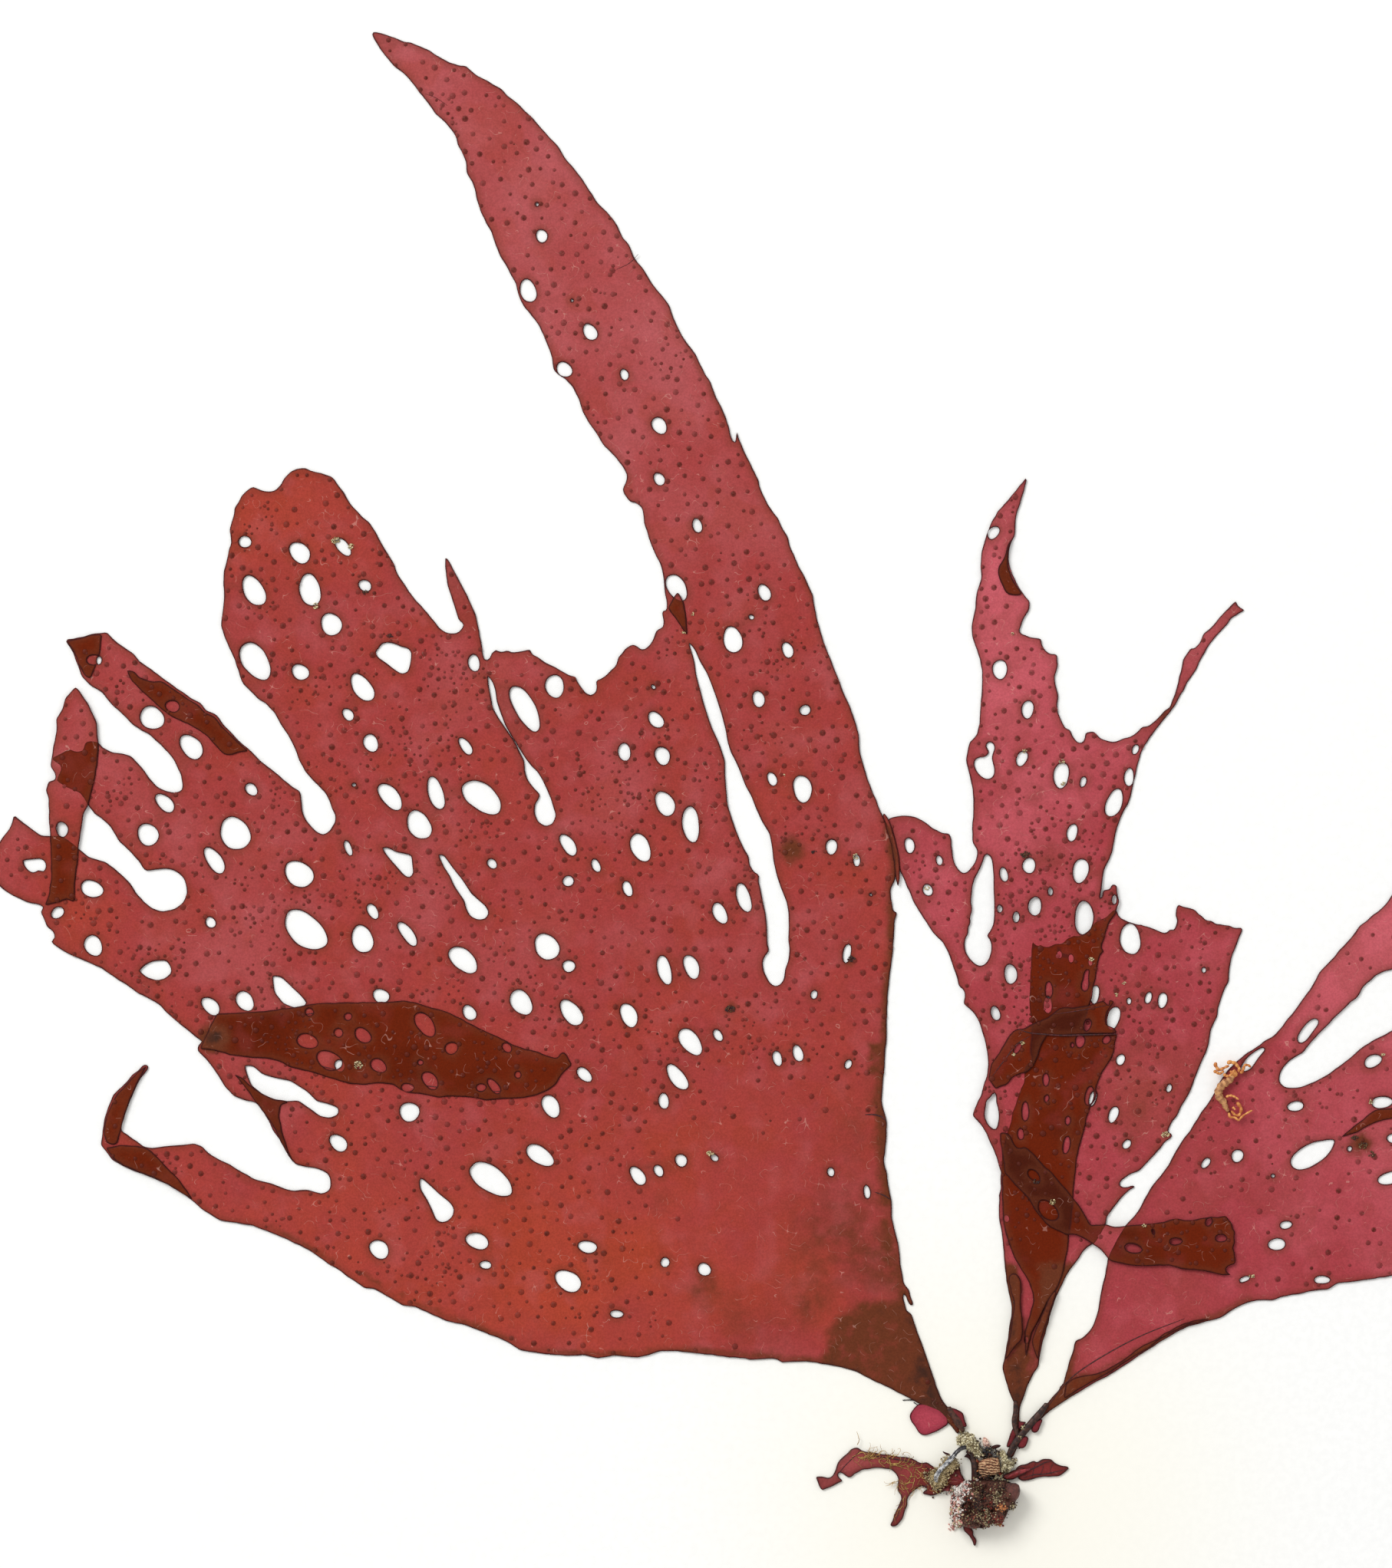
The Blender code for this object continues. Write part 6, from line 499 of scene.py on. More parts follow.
HOLDFAST = pairs("""
-4.3 2.7  -3.6 3.1  -2.7 3.3  -1.9 3.4  -1 3.5  0 3.4  1 3.5  2 3.4  2.9 3.4  3.6 3.3  4.3 2.9  5.1 3
5.5 2.4  5.5 1.3  5.1 0.6  4.8 0  5 -0.5  4.5 -0.9  3.8 -1.4  3.4 -2.2  2.9 -3.1  2.2 -3.6  1.2 -3.5
0.6 -3.9  -0.2 -4.2  -1 -4  -1.6 -4.2  -2.6 -4.1  -3.3 -3.8  -4.1 -3.9  -4.9 -3.4  -4.8 -2.6  -5.6 -2.2
-5.4 -1.5  -5.1 -0.8  -5.2 0  -5 1  -4.8 1.9""")

SCRAP = pairs("""
-3.4 -3.2  -3.4 -4  -3.2 -4.7  -2.6 -5.2  -2.2 -5.7  -1.9 -6.1  -1.8 -6.6  -1.4 -7  -1.35 -6.4  -1.2 -6
-1.3 -5.5  -1.7 -5.1  -1.6 -4.7  -1.9 -4.2  -2.2 -3.4""")

STALK = pairs("""
-3.3 6.9  -2.7 7  -2.3 6.5  -2 5.6  -1.95 4.7  -1.95 2.6  -1.4 2.6  -1.45 5  -1.6 5.9  -1.9 6.6
-2.2 7.3  -2.5 7.6""")

SAND_LEFT = pairs("""
-4.5 9.5  -4.1 10  -3.4 10.3  -2.9 10.6  -2.4 10.5  -1.9 10.2  -1.5 9.7  -1.4 9  -0.8 8.8  -0.6 8.2
-0.4 7.6  -0.4 7.1  -0.8 7.0  -1.3 7.1  -1.6 7.6  -2.2 8  -2.9 8.4  -3.6 8.8  -4.2 9.1""")

SAND_RIGHT = pairs("""
2.6 7.7  3 8  3.1 7.6  3.1 6.7  3.9 6.2  4.3 6  4.3 5.3  3.8 4.9  3.3 4.6  2.9 4.7  2.9 5.6  2.8 6.6""")

BARNACLE_PLATE = pairs("""
-1 6.2  -0.5 6.5  0.2 6.6  0.9 6.8  1.6 7  2.2 7  2.4 6.4  2.5 5.5  2.4 4.7  1.9 4.3  1 4.1  0.2 4.05
-0.5 4.1  -0.9 4.5  -1 5.2""")

SHELL_CHIP = pairs("-0.2 9.9  0.3 9.8  0.8 9.2  0.9 8.5  0.5 8.2  0.1 8.4  -0.2 9.2")

SPONGE = pairs("""
-8.6 4.7  -8.8 3.6  -8.3 2.8  -7.8 2.2  -7 2  -6.4 2.3  -6 3  -6.2 3.9  -5.6 4.5  -5 5.1  -4.3 5.4
-4 5.9  -4.2 6.4  -4.7 6.8  -5.4 6.9  -6 7.1  -6.3 6.7  -6.4 5.8  -6.9 5.1  -7.6 4.9""")

RED_TIP = pairs("-6.65 8  -6.4 7.6  -6.2 7.4  -5.6 7.2  -5.1 7.2  -5.5 7.6  -6 7.65")

# The small dried shrimp on the right frond's margin, body first: (radius, path).
SHRIMP_BODY_LINE = (0.55, pairs("""
38.4 66.2  38.1 65.6  37.5 65.1  36.9 64.7  36.4 64.1  36.2 63.4  36.4 62.7  37 62  37.3 61.2
37.7 60.6"""))

CLIMB_LEFT = (-5.0, 0.0)
CLIMB_TOP = (93.0, 99.0)


# ---------------------------------------------------------------- shapes worked out as whole arrays


def linear(red: float, green: float, blue: float) -> tuple[float, float, float, float]:
    """Turns a screen colour into the linear colour that a shader takes.

    Args:
        red, green, blue: the channels as seen on a screen, from 0 to 255.

    Returns:
        The linear red, green and blue, with an alpha of one.
    """
    share = np.array([red, green, blue]) / 255.0
    value = np.where(share <= 0.04045, share / 12.92, ((share + 0.055) / 1.055) ** 2.4)
    return (float(value[0]), float(value[1]), float(value[2]), 1.0)


def smoothed(low: float, high: float, value: np.ndarray) -> np.ndarray:
    """Eases from 0 at low to 1 at high, as three times the square less twice the cube of the way between.

    Args:
        low: the value where the step starts.
        high: the value where the step ends.
        value: the values to ease.

    Returns:
        The eased share for each value.
    """
    t = np.clip((value - low) / (high - low), 0.0, 1.0)
    return t * t * (3.0 - 2.0 * t)


def lattice_noise(points: np.ndarray, cell: float, seed: int) -> np.ndarray:
    """Smooth random heights: random numbers on a square lattice, blended between corners by an eased mix.

    Args:
        points: rows whose first two columns are x and y.
        cell: the lattice spacing in millimetres.
        seed: which lattice of random numbers is used.

    Returns:
        A value from -1 to 1 for each point.
    """
    corners = np.random.default_rng(seed).uniform(-1.0, 1.0, (LATTICE, LATTICE))
    place = points[:, :2] / cell + LATTICE_SHIFT
    base = np.floor(place).astype(int)
    part = place - base
    part = part * part * (3.0 - 2.0 * part)
    i, j = base[:, 0] % LATTICE, base[:, 1] % LATTICE
    k, m = (i + 1) % LATTICE, (j + 1) % LATTICE
    low = corners[i, j] * (1.0 - part[:, 0]) + corners[k, j] * part[:, 0]
    high = corners[i, m] * (1.0 - part[:, 0]) + corners[k, m] * part[:, 0]
    return low * (1.0 - part[:, 1]) + high * part[:, 1]


def swell(points: np.ndarray) -> np.ndarray:
    """Height of a pressed blade's gentle waves: two noises, 11 and 4 mm wide, added up above zero.

    Args:
        points: rows whose first two columns are x and y.

    Returns:
        The height in millimetres, from 0 to about 0.24.
    """
    return 0.12 + 0.085 * lattice_noise(points, 11.0, 5) + 0.035 * lattice_noise(points, 4.0, 6)


def resampled(ring: np.ndarray, step: float) -> np.ndarray:
    """Walks round a closed ring in even steps: adds up its sides and reads x and y at equal lengths.

    Args:
        ring: the corners of the ring.
        step: the wanted distance between points.

    Returns:
        The evenly spaced points, without a repeat of the first.
    """
    closed = np.vstack([ring, ring[:1]])
    run = np.concatenate([[0.0], np.cumsum(np.hypot(*np.diff(closed, axis=0).T))])
    at = np.linspace(0.0, run[-1], max(10, int(round(run[-1] / step))), endpoint=False)
    return np.column_stack([np.interp(at, run, closed[:, 0]), np.interp(at, run, closed[:, 1])])


def outward(ring: np.ndarray) -> np.ndarray:
    """Directions away from a left-wound ring: the line between each point's neighbours, turned right.

    Args:
        ring: the ring's points.

    Returns:
        One unit vector a point.
    """
    ahead = np.roll(ring, -1, 0) - np.roll(ring, 1, 0)
    return np.column_stack([ahead[:, 1], -ahead[:, 0]]) / np.maximum(np.hypot(*ahead.T), TINY)[:, None]


def leftward(ring: np.ndarray) -> bool:
    """Tells whether a ring is wound to the left: the sum of its corners' cross products is above zero."""
    return bool(np.sum(ring[:, 0] * np.roll(ring[:, 1], -1) - np.roll(ring[:, 0], -1) * ring[:, 1]) > 0.0)


def raised(line: np.ndarray, level: float) -> np.ndarray:
    """Sets a flat line at one height, as a third column."""
    return np.column_stack([line, np.full(len(line), level)])


def tube_faces(rows: int, sides: int) -> np.ndarray:
    """Triangles for rings of points numbered in turn, closed by a foot and a head point that follow them.

    Args:
        rows: how many rings.
        sides: points on each ring.

    Returns:
        The triangles: each square between two rings halved, then the two closing fans.
    """
    row, i = np.meshgrid(np.arange(rows - 1) * sides, np.arange(sides), indexing="ij")
    j = (i + 1) % sides
    a, b, c, d = (corner.ravel() for corner in (row + i, row + j, row + sides + j, row + sides + i))
    i, j, last = np.arange(sides), (np.arange(sides) + 1) % sides, (rows - 1) * sides
    foot = np.column_stack([np.full(sides, rows * sides), j, i])
    head = np.column_stack([np.full(sides, rows * sides + 1), last + i, last + j])
    return np.vstack([np.column_stack([a, b, c]), np.column_stack([a, c, d]), foot, head])


def rounded(ring: np.ndarray, step: float, crinkle: float, seed: int) -> np.ndarray:
    """Softens a drawn ring: fine even steps, averaged with their neighbours, then a random crinkle.

    Args:
        ring: the corners of the ring.
        step: the distance between the points of the result.
        crinkle: how far the margin wanders, in millimetres.
        seed: which random crinkle is used.

    Returns:
        The softened ring, wound to the left.
    """
    fine = resampled(ring, RING_STEP)
    for _ in range(SOFTENINGS):
        fine = 0.25 * np.roll(fine, 1, 0) + 0.5 * fine + 0.25 * np.roll(fine, -1, 0)
    even = resampled(fine, step)
    wander = lattice_noise(even, 0.9, seed) + 0.7 * lattice_noise(even, 2.3, seed + 1)
    ring = even + crinkle * wander[:, None] * outward(even)
    return ring if leftward(ring) else ring[::-1].copy()


def oval(row: Row, step: float) -> np.ndarray:
    """A hole's ring: an ellipse whose radius swings a little two and three times on its way round.

    Args:
        row: centre x, centre y, length, width and the turn of the long axis in degrees.
        step: the distance between points on the ring.

    Returns:
        The ring's points.
    """
    cx, cy, length, width, angle = row
    count = max(12, int(round(math.pi * 0.5 * (length + width) / step)))
    phase = np.linspace(0.0, 2.0 * math.pi, count, endpoint=False)
    swing = 1.0 + 0.045 * np.sin(2.0 * phase + 7.0 * cx) + 0.04 * np.sin(3.0 * phase + 5.0 * cy)
    swing += 0.012 * np.sin(7.0 * phase + cx + cy)
    u, v = 0.5 * length * swing * np.cos(phase), 0.5 * width * swing * np.sin(phase)
    turn = math.radians(angle)
    x = cx + u * math.cos(turn) - v * math.sin(turn)
    y = cy + u * math.sin(turn) + v * math.cos(turn)
    return np.column_stack([x, y])


def gap_to(points: np.ndarray, rings: list[np.ndarray]) -> np.ndarray:
    """Distance from each point to the nearest of the rings' closely spaced points, worked out in blocks.

    Args:
        points: rows of x and y.
        rings: the closed rings.

    Returns:
        The distance for each point, in millimetres.
    """
    if not rings:
        return np.full(len(points), FAR)
    marks = np.vstack([resampled(ring, RING_STEP) for ring in rings]).astype(np.float32)
    found = np.empty(len(points), np.float32)
    flat = points[:, :2].astype(np.float32)
    for start in range(0, len(flat), GAP_BLOCK):
        part = flat[start : start + GAP_BLOCK]
        square = (part[:, None, 0] - marks[None, :, 0]) ** 2 + (part[:, None, 1] - marks[None, :, 1]) ** 2
        found[start : start + GAP_BLOCK] = np.sqrt(square.min(axis=1))
    return found.astype(float)


def inside(points: np.ndarray, rings: list[np.ndarray]) -> np.ndarray:
    """Even-odd test: inside is where a line to the right crosses the rings an odd number of times.

    Args:
        points: rows of x and y.
        rings: the closed rings, an outline and its holes.

    Returns:
        One truth value a point.
    """
    starts = np.vstack(rings)
    ends = np.vstack([np.roll(ring, -1, 0) for ring in rings])
    result = np.zeros(len(points), bool)
    for start in range(0, len(points), INSIDE_BLOCK):
        part = points[start : start + INSIDE_BLOCK]
        crosses = (starts[None, :, 1] > part[:, None, 1]) != (ends[None, :, 1] > part[:, None, 1])
        i, j = np.nonzero(crosses)
        share = (part[i, 1] - starts[j, 1]) / (ends[j, 1] - starts[j, 1])
        hits = starts[j, 0] + share * (ends[j, 0] - starts[j, 0]) > part[i, 0]
        crossings = np.bincount(i, weights=hits, minlength=len(part))
        result[start : start + INSIDE_BLOCK] = crossings % 2 == 1
    return result


def scattered(low: np.ndarray, high: np.ndarray, cell: float, seed: int) -> np.ndarray:
    """Random points that keep apart: a grid whose odd rows are shifted, each moved by up to 0.32 cell.

    Args:
        low: the lowest x and y.
        high: the highest x and y.
        cell: the grid spacing.
        seed: which random moves are used.

    Returns:
        The points, row by row.
    """
    random = np.random.default_rng(seed)
    xs, ys = np.arange(low[0], high[0], cell), np.arange(low[1], high[1], cell * 0.866)
    x, y = np.meshgrid(xs, ys)
    x = x + 0.5 * cell * (np.arange(len(ys)) % 2)[:, None]
    grid = np.column_stack([x.ravel(), y.ravel()])
    return grid + random.uniform(-0.32, 0.32, grid.shape) * cell


@dataclass
class Piece:
    """A mesh being worked out: points in millimetres, faces by point number, values on points and faces."""

    points: np.ndarray
    faces: np.ndarray
    on_points: dict[str, np.ndarray] = field(default_factory=dict)
    on_faces: dict[str, np.ndarray] = field(default_factory=dict)

    def fill(self, **values: float) -> None:
        """Gives every point the same number under each of the names."""
        self.on_points.update({key: np.full(len(self.points), value) for key, value in values.items()})

    def place(
        self, name: str, material: bpy.types.Material, slot: str, nodes: Names = ()
    ) -> bpy.types.Object:
        """Makes the object, in metres, and ties it to the part's body and the nodes it stands for.

        Args:
            name: the object's name.
            material: its material.
            slot: the record's material slot; not used.
            nodes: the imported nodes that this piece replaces.

        Returns:
            The new object.
        """
        mesh = bpy.data.meshes.new(name)
        corners = self.faces.shape[1]
        mesh.vertices.add(len(self.points))
        mesh.vertices.foreach_set("co", (self.points * MM).astype(np.float32).ravel())
        mesh.loops.add(self.faces.size)
        mesh.loops.foreach_set("vertex_index", self.faces.astype(np.int32).ravel())
        mesh.polygons.add(len(self.faces))
        mesh.polygons.foreach_set("loop_start", np.arange(0, self.faces.size, corners, dtype=np.int32))
        mesh.update(calc_edges=True)
        mesh.polygons.foreach_set("use_smooth", np.ones(len(mesh.polygons), bool))
        for domain, values in (("POINT", self.on_points), ("FACE", self.on_faces)):
            for key, value in values.items():
                made = mesh.attributes.new(key, "FLOAT", domain)
                made.data.foreach_set("value", value.astype(np.float32))
        mesh.materials.append(material)
        thing = bpy.data.objects.new(name, mesh)
        bpy.context.scene.collection.objects.link(thing)
        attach(thing, BODY)
        if nodes:
            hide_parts(*nodes)
        log.info("%s: %d points, %d faces", name, len(self.points), len(self.faces))
        return thing


@dataclass
class Sheet:
    """One thin layer of a frond: an outline with holes, finely triangulated, on what lies under it."""

    name: str
    outline: np.ndarray
    holes: tuple[np.ndarray, ...] = ()
    lift: float = 0.02
    grid: float = 1.1
    step: float = 0.42
    thickness: float = 0.26
    crinkle: float = 0.05
    seed: int = 1
    ramp: bool = False
    lower: tuple["Sheet", ...] = ()

    def __post_init__(self) -> None:
        """Softens the rings once, so that layers above can count on them."""
        step = self.step * 1.0
        self.rings = [rounded(self.outline, step, self.crinkle, self.seed)]
        self.rings += [rounded(hole, step, 0.3 * self.crinkle, self.seed + 2) for hole in self.holes]

    def level(self, points: np.ndarray) -> np.ndarray:
        """Height of the underside: the waves plus the lift, which is eased in where the layer climbs.

        Args:
            points: rows whose first two columns are x and y.

        Returns:
            The height of the underside in millimetres.
        """
        climb = 1.0
        if self.ramp:
            climb = smoothed(CLIMB_LEFT[0], CLIMB_LEFT[1], points[:, 0]) * (
                1.0 - smoothed(CLIMB_TOP[0], CLIMB_TOP[1], points[:, 1])
            )
        return 0.02 + swell(points) + self.lift * climb

    def top(self, points: np.ndarray, edge: np.ndarray) -> np.ndarray:
        """Height of the upper face: the level plus a thickness that thins to the margin, and a low rim.

        Args:
            points: rows whose first two columns are x and y.
            edge: the distance of each point from the nearest margin.

        Returns:
            The height in millimetres.
        """
        rim = 0.05 * np.exp(-(((edge - 0.32) / 0.22) ** 2))
        return self.level(points) + self.thickness * (0.5 + 0.5 * smoothed(0.0, 0.3, edge)) + rim

    def seeds(self) -> np.ndarray:
        """Points inside the sheet: two rows that follow the margins, 0.22 and 0.55 mm in, and a shaken grid.

        Returns:
            Rows of x and y that keep clear of the margins and of each other.
        """
        grid = self.grid * 1.0
        outline = self.rings[0]
        free = scattered(outline.min(axis=0), outline.max(axis=0), grid, self.seed)
        free = free[inside(free, self.rings)]
        free = free[gap_to(free, self.rings) > 0.55 + 0.35 * grid]
        rows, insets = [], []
        for inset in ((0.22, 0.55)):
            for ring in self.rings:
                inward = 1.0 if ring is outline else -1.0
                rows.append((ring - inset * inward * outward(ring))[:: 1 if inset < 0.4 else 2])
                insets.append(np.full(len(rows[-1]), 0.85 * inset))
        if not rows:
            return free
        near, least = np.vstack(rows), np.concatenate(insets)
        fit = inside(near, self.rings) & (gap_to(near, self.rings) > least)
        return np.vstack([free, near[fit]])

    def build(self) -> Piece:
        """Triangulates the rings and seeds, drops what lies in a hole, and closes it round the rim.

        Returns:
            The closed sheet with its values: edge and veil (distance to its own and to hidden margins), and
            layers (how many layers lie under each face).
        """
        rings = list(self.rings)
        spans = []
        for sheet in self.lower:
            spans.append((len(rings), len(rings) + len(sheet.rings)))
            rings += sheet.rings
        flat = np.vstack([*rings, self.seeds()])
        starts = np.cumsum([0] + [len(ring) for ring in rings])
        loops = [list(range(a, b)) for a, b in zip(starts[:-1], starts[1:])]
        flat = np.round(flat, 4)
        made = delaunay_2d_cdt([Vector(row) for row in flat.tolist()], [], loops, 1, 1e-4)
        where = np.array([vert[:] for vert in made[0]])
        faces = np.array(made[2])
        member = np.zeros((len(faces), len(rings)), bool)
        counts = np.array([len(row) for row in made[5]])
        face_of = np.repeat(np.arange(len(faces)), counts)
        member[face_of, np.fromiter(chain.from_iterable(made[5]), int)] = True
        own = len(self.rings)
        keep = member[:, 0] & ~member[:, 1:own].any(axis=1)
        layers = np.zeros(len(faces))
        for first, last in spans:
            layers += member[:, first] & ~member[:, first + 1 : last].any(axis=1)
        faces, layers = faces[keep], layers[keep]
        used, faces = np.unique(faces, return_inverse=True)
        faces, where = faces.reshape(-1, 3), where[used]
        return self.closed(where, faces, layers)

    def closed(self, where: np.ndarray, faces: np.ndarray, layers: np.ndarray) -> Piece:
        """Makes a closed sheet from flat triangles: an upper face, a lower face and a rim between them.

        Args:
            where: the flat points.
            faces: triangles on them.
            layers: the number of layers under each triangle.

        Returns:
            The closed sheet with its values.
        """
        a, b, c = (where[faces[:, i]] for i in range(3))
        ab, ac = b - a, c - a
        turned = ab[:, 0] * ac[:, 1] - ab[:, 1] * ac[:, 0] < 0.0
        faces[turned] = faces[turned][:, ::-1]
        edge = gap_to(where, self.rings)
        hidden = [ring for sheet in self.lower for ring in sheet.rings]
        veil = gap_to(where, hidden)
        sides = np.concatenate([faces[:, [0, 1]], faces[:, [1, 2]], faces[:, [2, 0]]])
        owner = np.tile(np.arange(len(faces)), 3)
        key = np.sort(sides, axis=1)
        _, index, count = np.unique(key, axis=0, return_inverse=True, return_counts=True)
        rim = count[index.reshape(-1)] == 1
        edge[np.unique(sides[rim])] = 0.0
        n = len(where)
        upper = np.column_stack([where, self.top(where, edge)])
        lower = np.column_stack([where, self.level(where)])
        start, end = sides[rim, 0], sides[rim, 1]
        halves = ([start, start + n, end], [end, start + n, end + n])
        wall = np.vstack([np.column_stack(half) for half in halves])
        everything = np.vstack([faces, faces[:, ::-1] + n, wall])
        depth = np.concatenate([layers, layers, layers[owner[rim]], layers[owner[rim]]])
        piece = Piece(np.vstack([upper, lower]), everything)
        piece.on_points = {"edge": np.tile(edge, 2), "veil": np.tile(veil, 2)}
        piece.on_faces = {"layers": depth}
        return piece


def domes(
    centres: np.ndarray, radii: np.ndarray, heights: np.ndarray, tones: np.ndarray, sides: int = 8
) -> Piece:
    """Small closed domes: rings of points at three heights and a top point, copied to every place.

    Args:
        centres: the middle of each dome's foot, x, y and z.
        radii: the foot radii.
        heights: the heights above the foot.
        tones: a random number for each dome.
        sides: points on each ring.

    Returns:
        All domes as one piece, with core, 0 at the foot and 1 on top, and tone.
    """
    phase = np.linspace(0.0, 2.0 * math.pi, sides, endpoint=False)
    size, rise = np.array([1.0, 0.72, 0.36]), np.array([0.0, 0.5, 0.9])
    ring = np.stack([np.cos(phase), np.sin(phase), np.zeros(sides)], axis=1)
    rows = [np.array([[0.0, 0.0, 0.0]])]
    rows += [ring * [s, s, 0.0] + [0.0, 0.0, r] for s, r in zip(size, rise)]
    rows.append(np.array([[0.0, 0.0, 1.0]]))
    shape = np.vstack(rows)
    i, j = np.arange(sides), (np.arange(sides) + 1) % sides
    last = 1 + 3 * sides
    faces = [np.column_stack([np.zeros(sides, int), 1 + j, 1 + i])]
    for row in range(2):
        low, high = 1 + row * sides, 1 + (row + 1) * sides
        faces.append(np.column_stack([low + i, low + j, high + j]))
        faces.append(np.column_stack([low + i, high + j, high + i]))
    faces.append(np.column_stack([1 + 2 * sides + i, 1 + 2 * sides + j, np.full(sides, last)]))
    face = np.vstack(faces)
    scale = np.stack([radii, radii, heights], axis=1)
    points = (centres[:, None] + shape[None] * scale[:, None]).reshape(-1, 3)
    copies = (face[None] + len(shape) * np.arange(len(centres))[:, None, None]).reshape(-1, 3)
    core = np.tile(shape[:, 2], len(centres))
    return Piece(points, copies, {"core": core, "tone": np.repeat(tones, len(shape))})


ICOSAHEDRON = np.array(
    [
        (0, 11, 5), (0, 5, 1), (0, 1, 7), (0, 7, 10), (0, 10, 11), (1, 5, 9), (5, 11, 4), (11, 10, 2),
        (10, 7, 6), (7, 1, 8), (3, 9, 4), (3, 4, 2), (3, 2, 6), (3, 6, 8), (3, 8, 9), (4, 9, 5), (2, 4, 11),
        (6, 2, 10), (8, 6, 7), (9, 8, 1),
    ]
)


def grains(centres: np.ndarray, sizes: np.ndarray, tones: np.ndarray, seed: int, flat: float = 0.8) -> Piece:
    """Sand grains: solids of twelve corners and twenty faces, dented, tilted and turned at random.

    Args:
        centres: the middle of each grain.
        sizes: its radius.
        tones: a number for each grain that picks its colour.
        seed: which random shapes are used.
        flat: how high a grain is for its width.

    Returns:
        All grains as one piece, with tone.
    """
    random = np.random.default_rng(seed)
    g = 0.5 * (1.0 + math.sqrt(5.0))
    corners = [(-1, g, 0), (1, g, 0), (-1, -g, 0), (1, -g, 0), (0, -1, g), (0, 1, g)]
    corners += [(0, -1, -g), (0, 1, -g), (g, 0, -1), (g, 0, 1), (-g, 0, -1), (-g, 0, 1)]
    shape = np.array(corners, float) / math.hypot(1.0, g)
    n = len(centres)
    swing = random.uniform(0.7, 1.15, (n, 12, 1)) * np.array([1.0, 1.0, flat])
    angle = random.uniform(0.0, 2.0 * math.pi, n)
    tilt = random.uniform(-0.5, 0.5, n)
    body = shape[None] * swing * random.uniform(0.75, 1.25, (n, 1, 3)) * sizes[:, None, None]
    x = body[..., 0] * np.cos(tilt)[:, None] - body[..., 2] * np.sin(tilt)[:, None]
    z = body[..., 0] * np.sin(tilt)[:, None] + body[..., 2] * np.cos(tilt)[:, None]
    y = body[..., 1]
    turned = np.stack(
        [
            x * np.cos(angle)[:, None] - y * np.sin(angle)[:, None],
            x * np.sin(angle)[:, None] + y * np.cos(angle)[:, None],
            z,
        ],
        axis=-1,
    )
    points = (centres[:, None] + turned).reshape(-1, 3)
    faces = (ICOSAHEDRON[None] + 12 * np.arange(n)[:, None, None]).reshape(-1, 3)
    return Piece(points, faces, {"tone": np.repeat(tones, 12)})


def threaded(path: np.ndarray, step: float) -> np.ndarray:
    """A smooth open path through given points: cubics that leave along their neighbours' line.

    Args:
        path: the points to pass, with two or three columns.
        step: the distance between points of the result.

    Returns:
        The evenly spaced points.
    """
    ends = np.vstack([2.0 * path[:1] - path[1:2], path, 2.0 * path[-1:] - path[-2:-1]])
    p, q, r, s = ends[:-3, None], ends[1:-2, None], ends[2:-1, None], ends[3:, None]
    t = np.linspace(0.0, 1.0, 9)[None, :-1, None]
    curve = q + 0.5 * t * (r - p) + 0.5 * t**2 * (2.0 * p - 5.0 * q + 4.0 * r - s)
    curve = curve + 0.5 * t**3 * (3.0 * q - p - 3.0 * r + s)
    dense = np.vstack([curve.reshape(-1, path.shape[1]), path[-1:]])
    run = np.concatenate([[0.0], np.cumsum(np.linalg.norm(np.diff(dense, axis=0), axis=1))])
    at = np.linspace(0.0, run[-1], max(3, int(round(run[-1] / step)) + 1))
    return np.column_stack([np.interp(at, run, column) for column in dense.T])


def swept(
    path: np.ndarray, width: np.ndarray, height: np.ndarray, tone: float = 0.5, sides: int = 8
) -> Piece:
    """A strand: an oval profile carried square to a path, with a point closing each end.

    Args:
        path: the middle line, x, y and z.
        width: half the width at each point, in the plane of the paper.
        height: half the height at each point.
        tone: a number for the whole strand that picks its colour.
        sides: points round the profile.

    Returns:
        The closed strand, with along, which runs from 0 to 1, and tone.
    """
    ahead = np.gradient(path, axis=0)
    ahead /= np.maximum(np.linalg.norm(ahead, axis=1), TINY)[:, None]
    aside = np.column_stack([-ahead[:, 1], ahead[:, 0], np.zeros(len(path))])
    aside /= np.maximum(np.linalg.norm(aside, axis=1), TINY)[:, None]
    above = np.cross(ahead, aside)
    phase = np.linspace(0.0, 2.0 * math.pi, sides, endpoint=False)
    across = (width[:, None] * np.cos(phase))[:, :, None] * aside[:, None]
    upward = (height[:, None] * np.sin(phase))[:, :, None] * above[:, None]
    n = len(path)
    body = (path[:, None] + across + upward).reshape(-1, 3)
    foot, head = path[:1] - 0.5 * width[0] * ahead[:1], path[-1:] + 0.5 * width[-1] * ahead[-1:]
    points = np.vstack([body, foot, head])
    along = np.concatenate([np.repeat(np.linspace(0.0, 1.0, n), sides), [0.0, 1.0]])
    return Piece(points, tube_faces(n, sides), {"along": along, "tone": np.full(len(points), tone)})


def gathered(pieces: list[Piece]) -> Piece:
    """Puts many pieces of one kind together.

    Args:
        pieces: the pieces, all with the same values and corners a face.

    Returns:
        One piece with all of them.
    """
    starts = np.cumsum([0] + [len(piece.points) for piece in pieces[:-1]])
    points = np.vstack([piece.points for piece in pieces])
    faces = np.vstack([piece.faces + start for piece, start in zip(pieces, starts)])
    first = pieces[0]
    on_points = {key: np.concatenate([piece.on_points[key] for piece in pieces]) for key in first.on_points}
    on_faces = {key: np.concatenate([piece.on_faces[key] for piece in pieces]) for key in first.on_faces}
    return Piece(points, faces, on_points, on_faces)


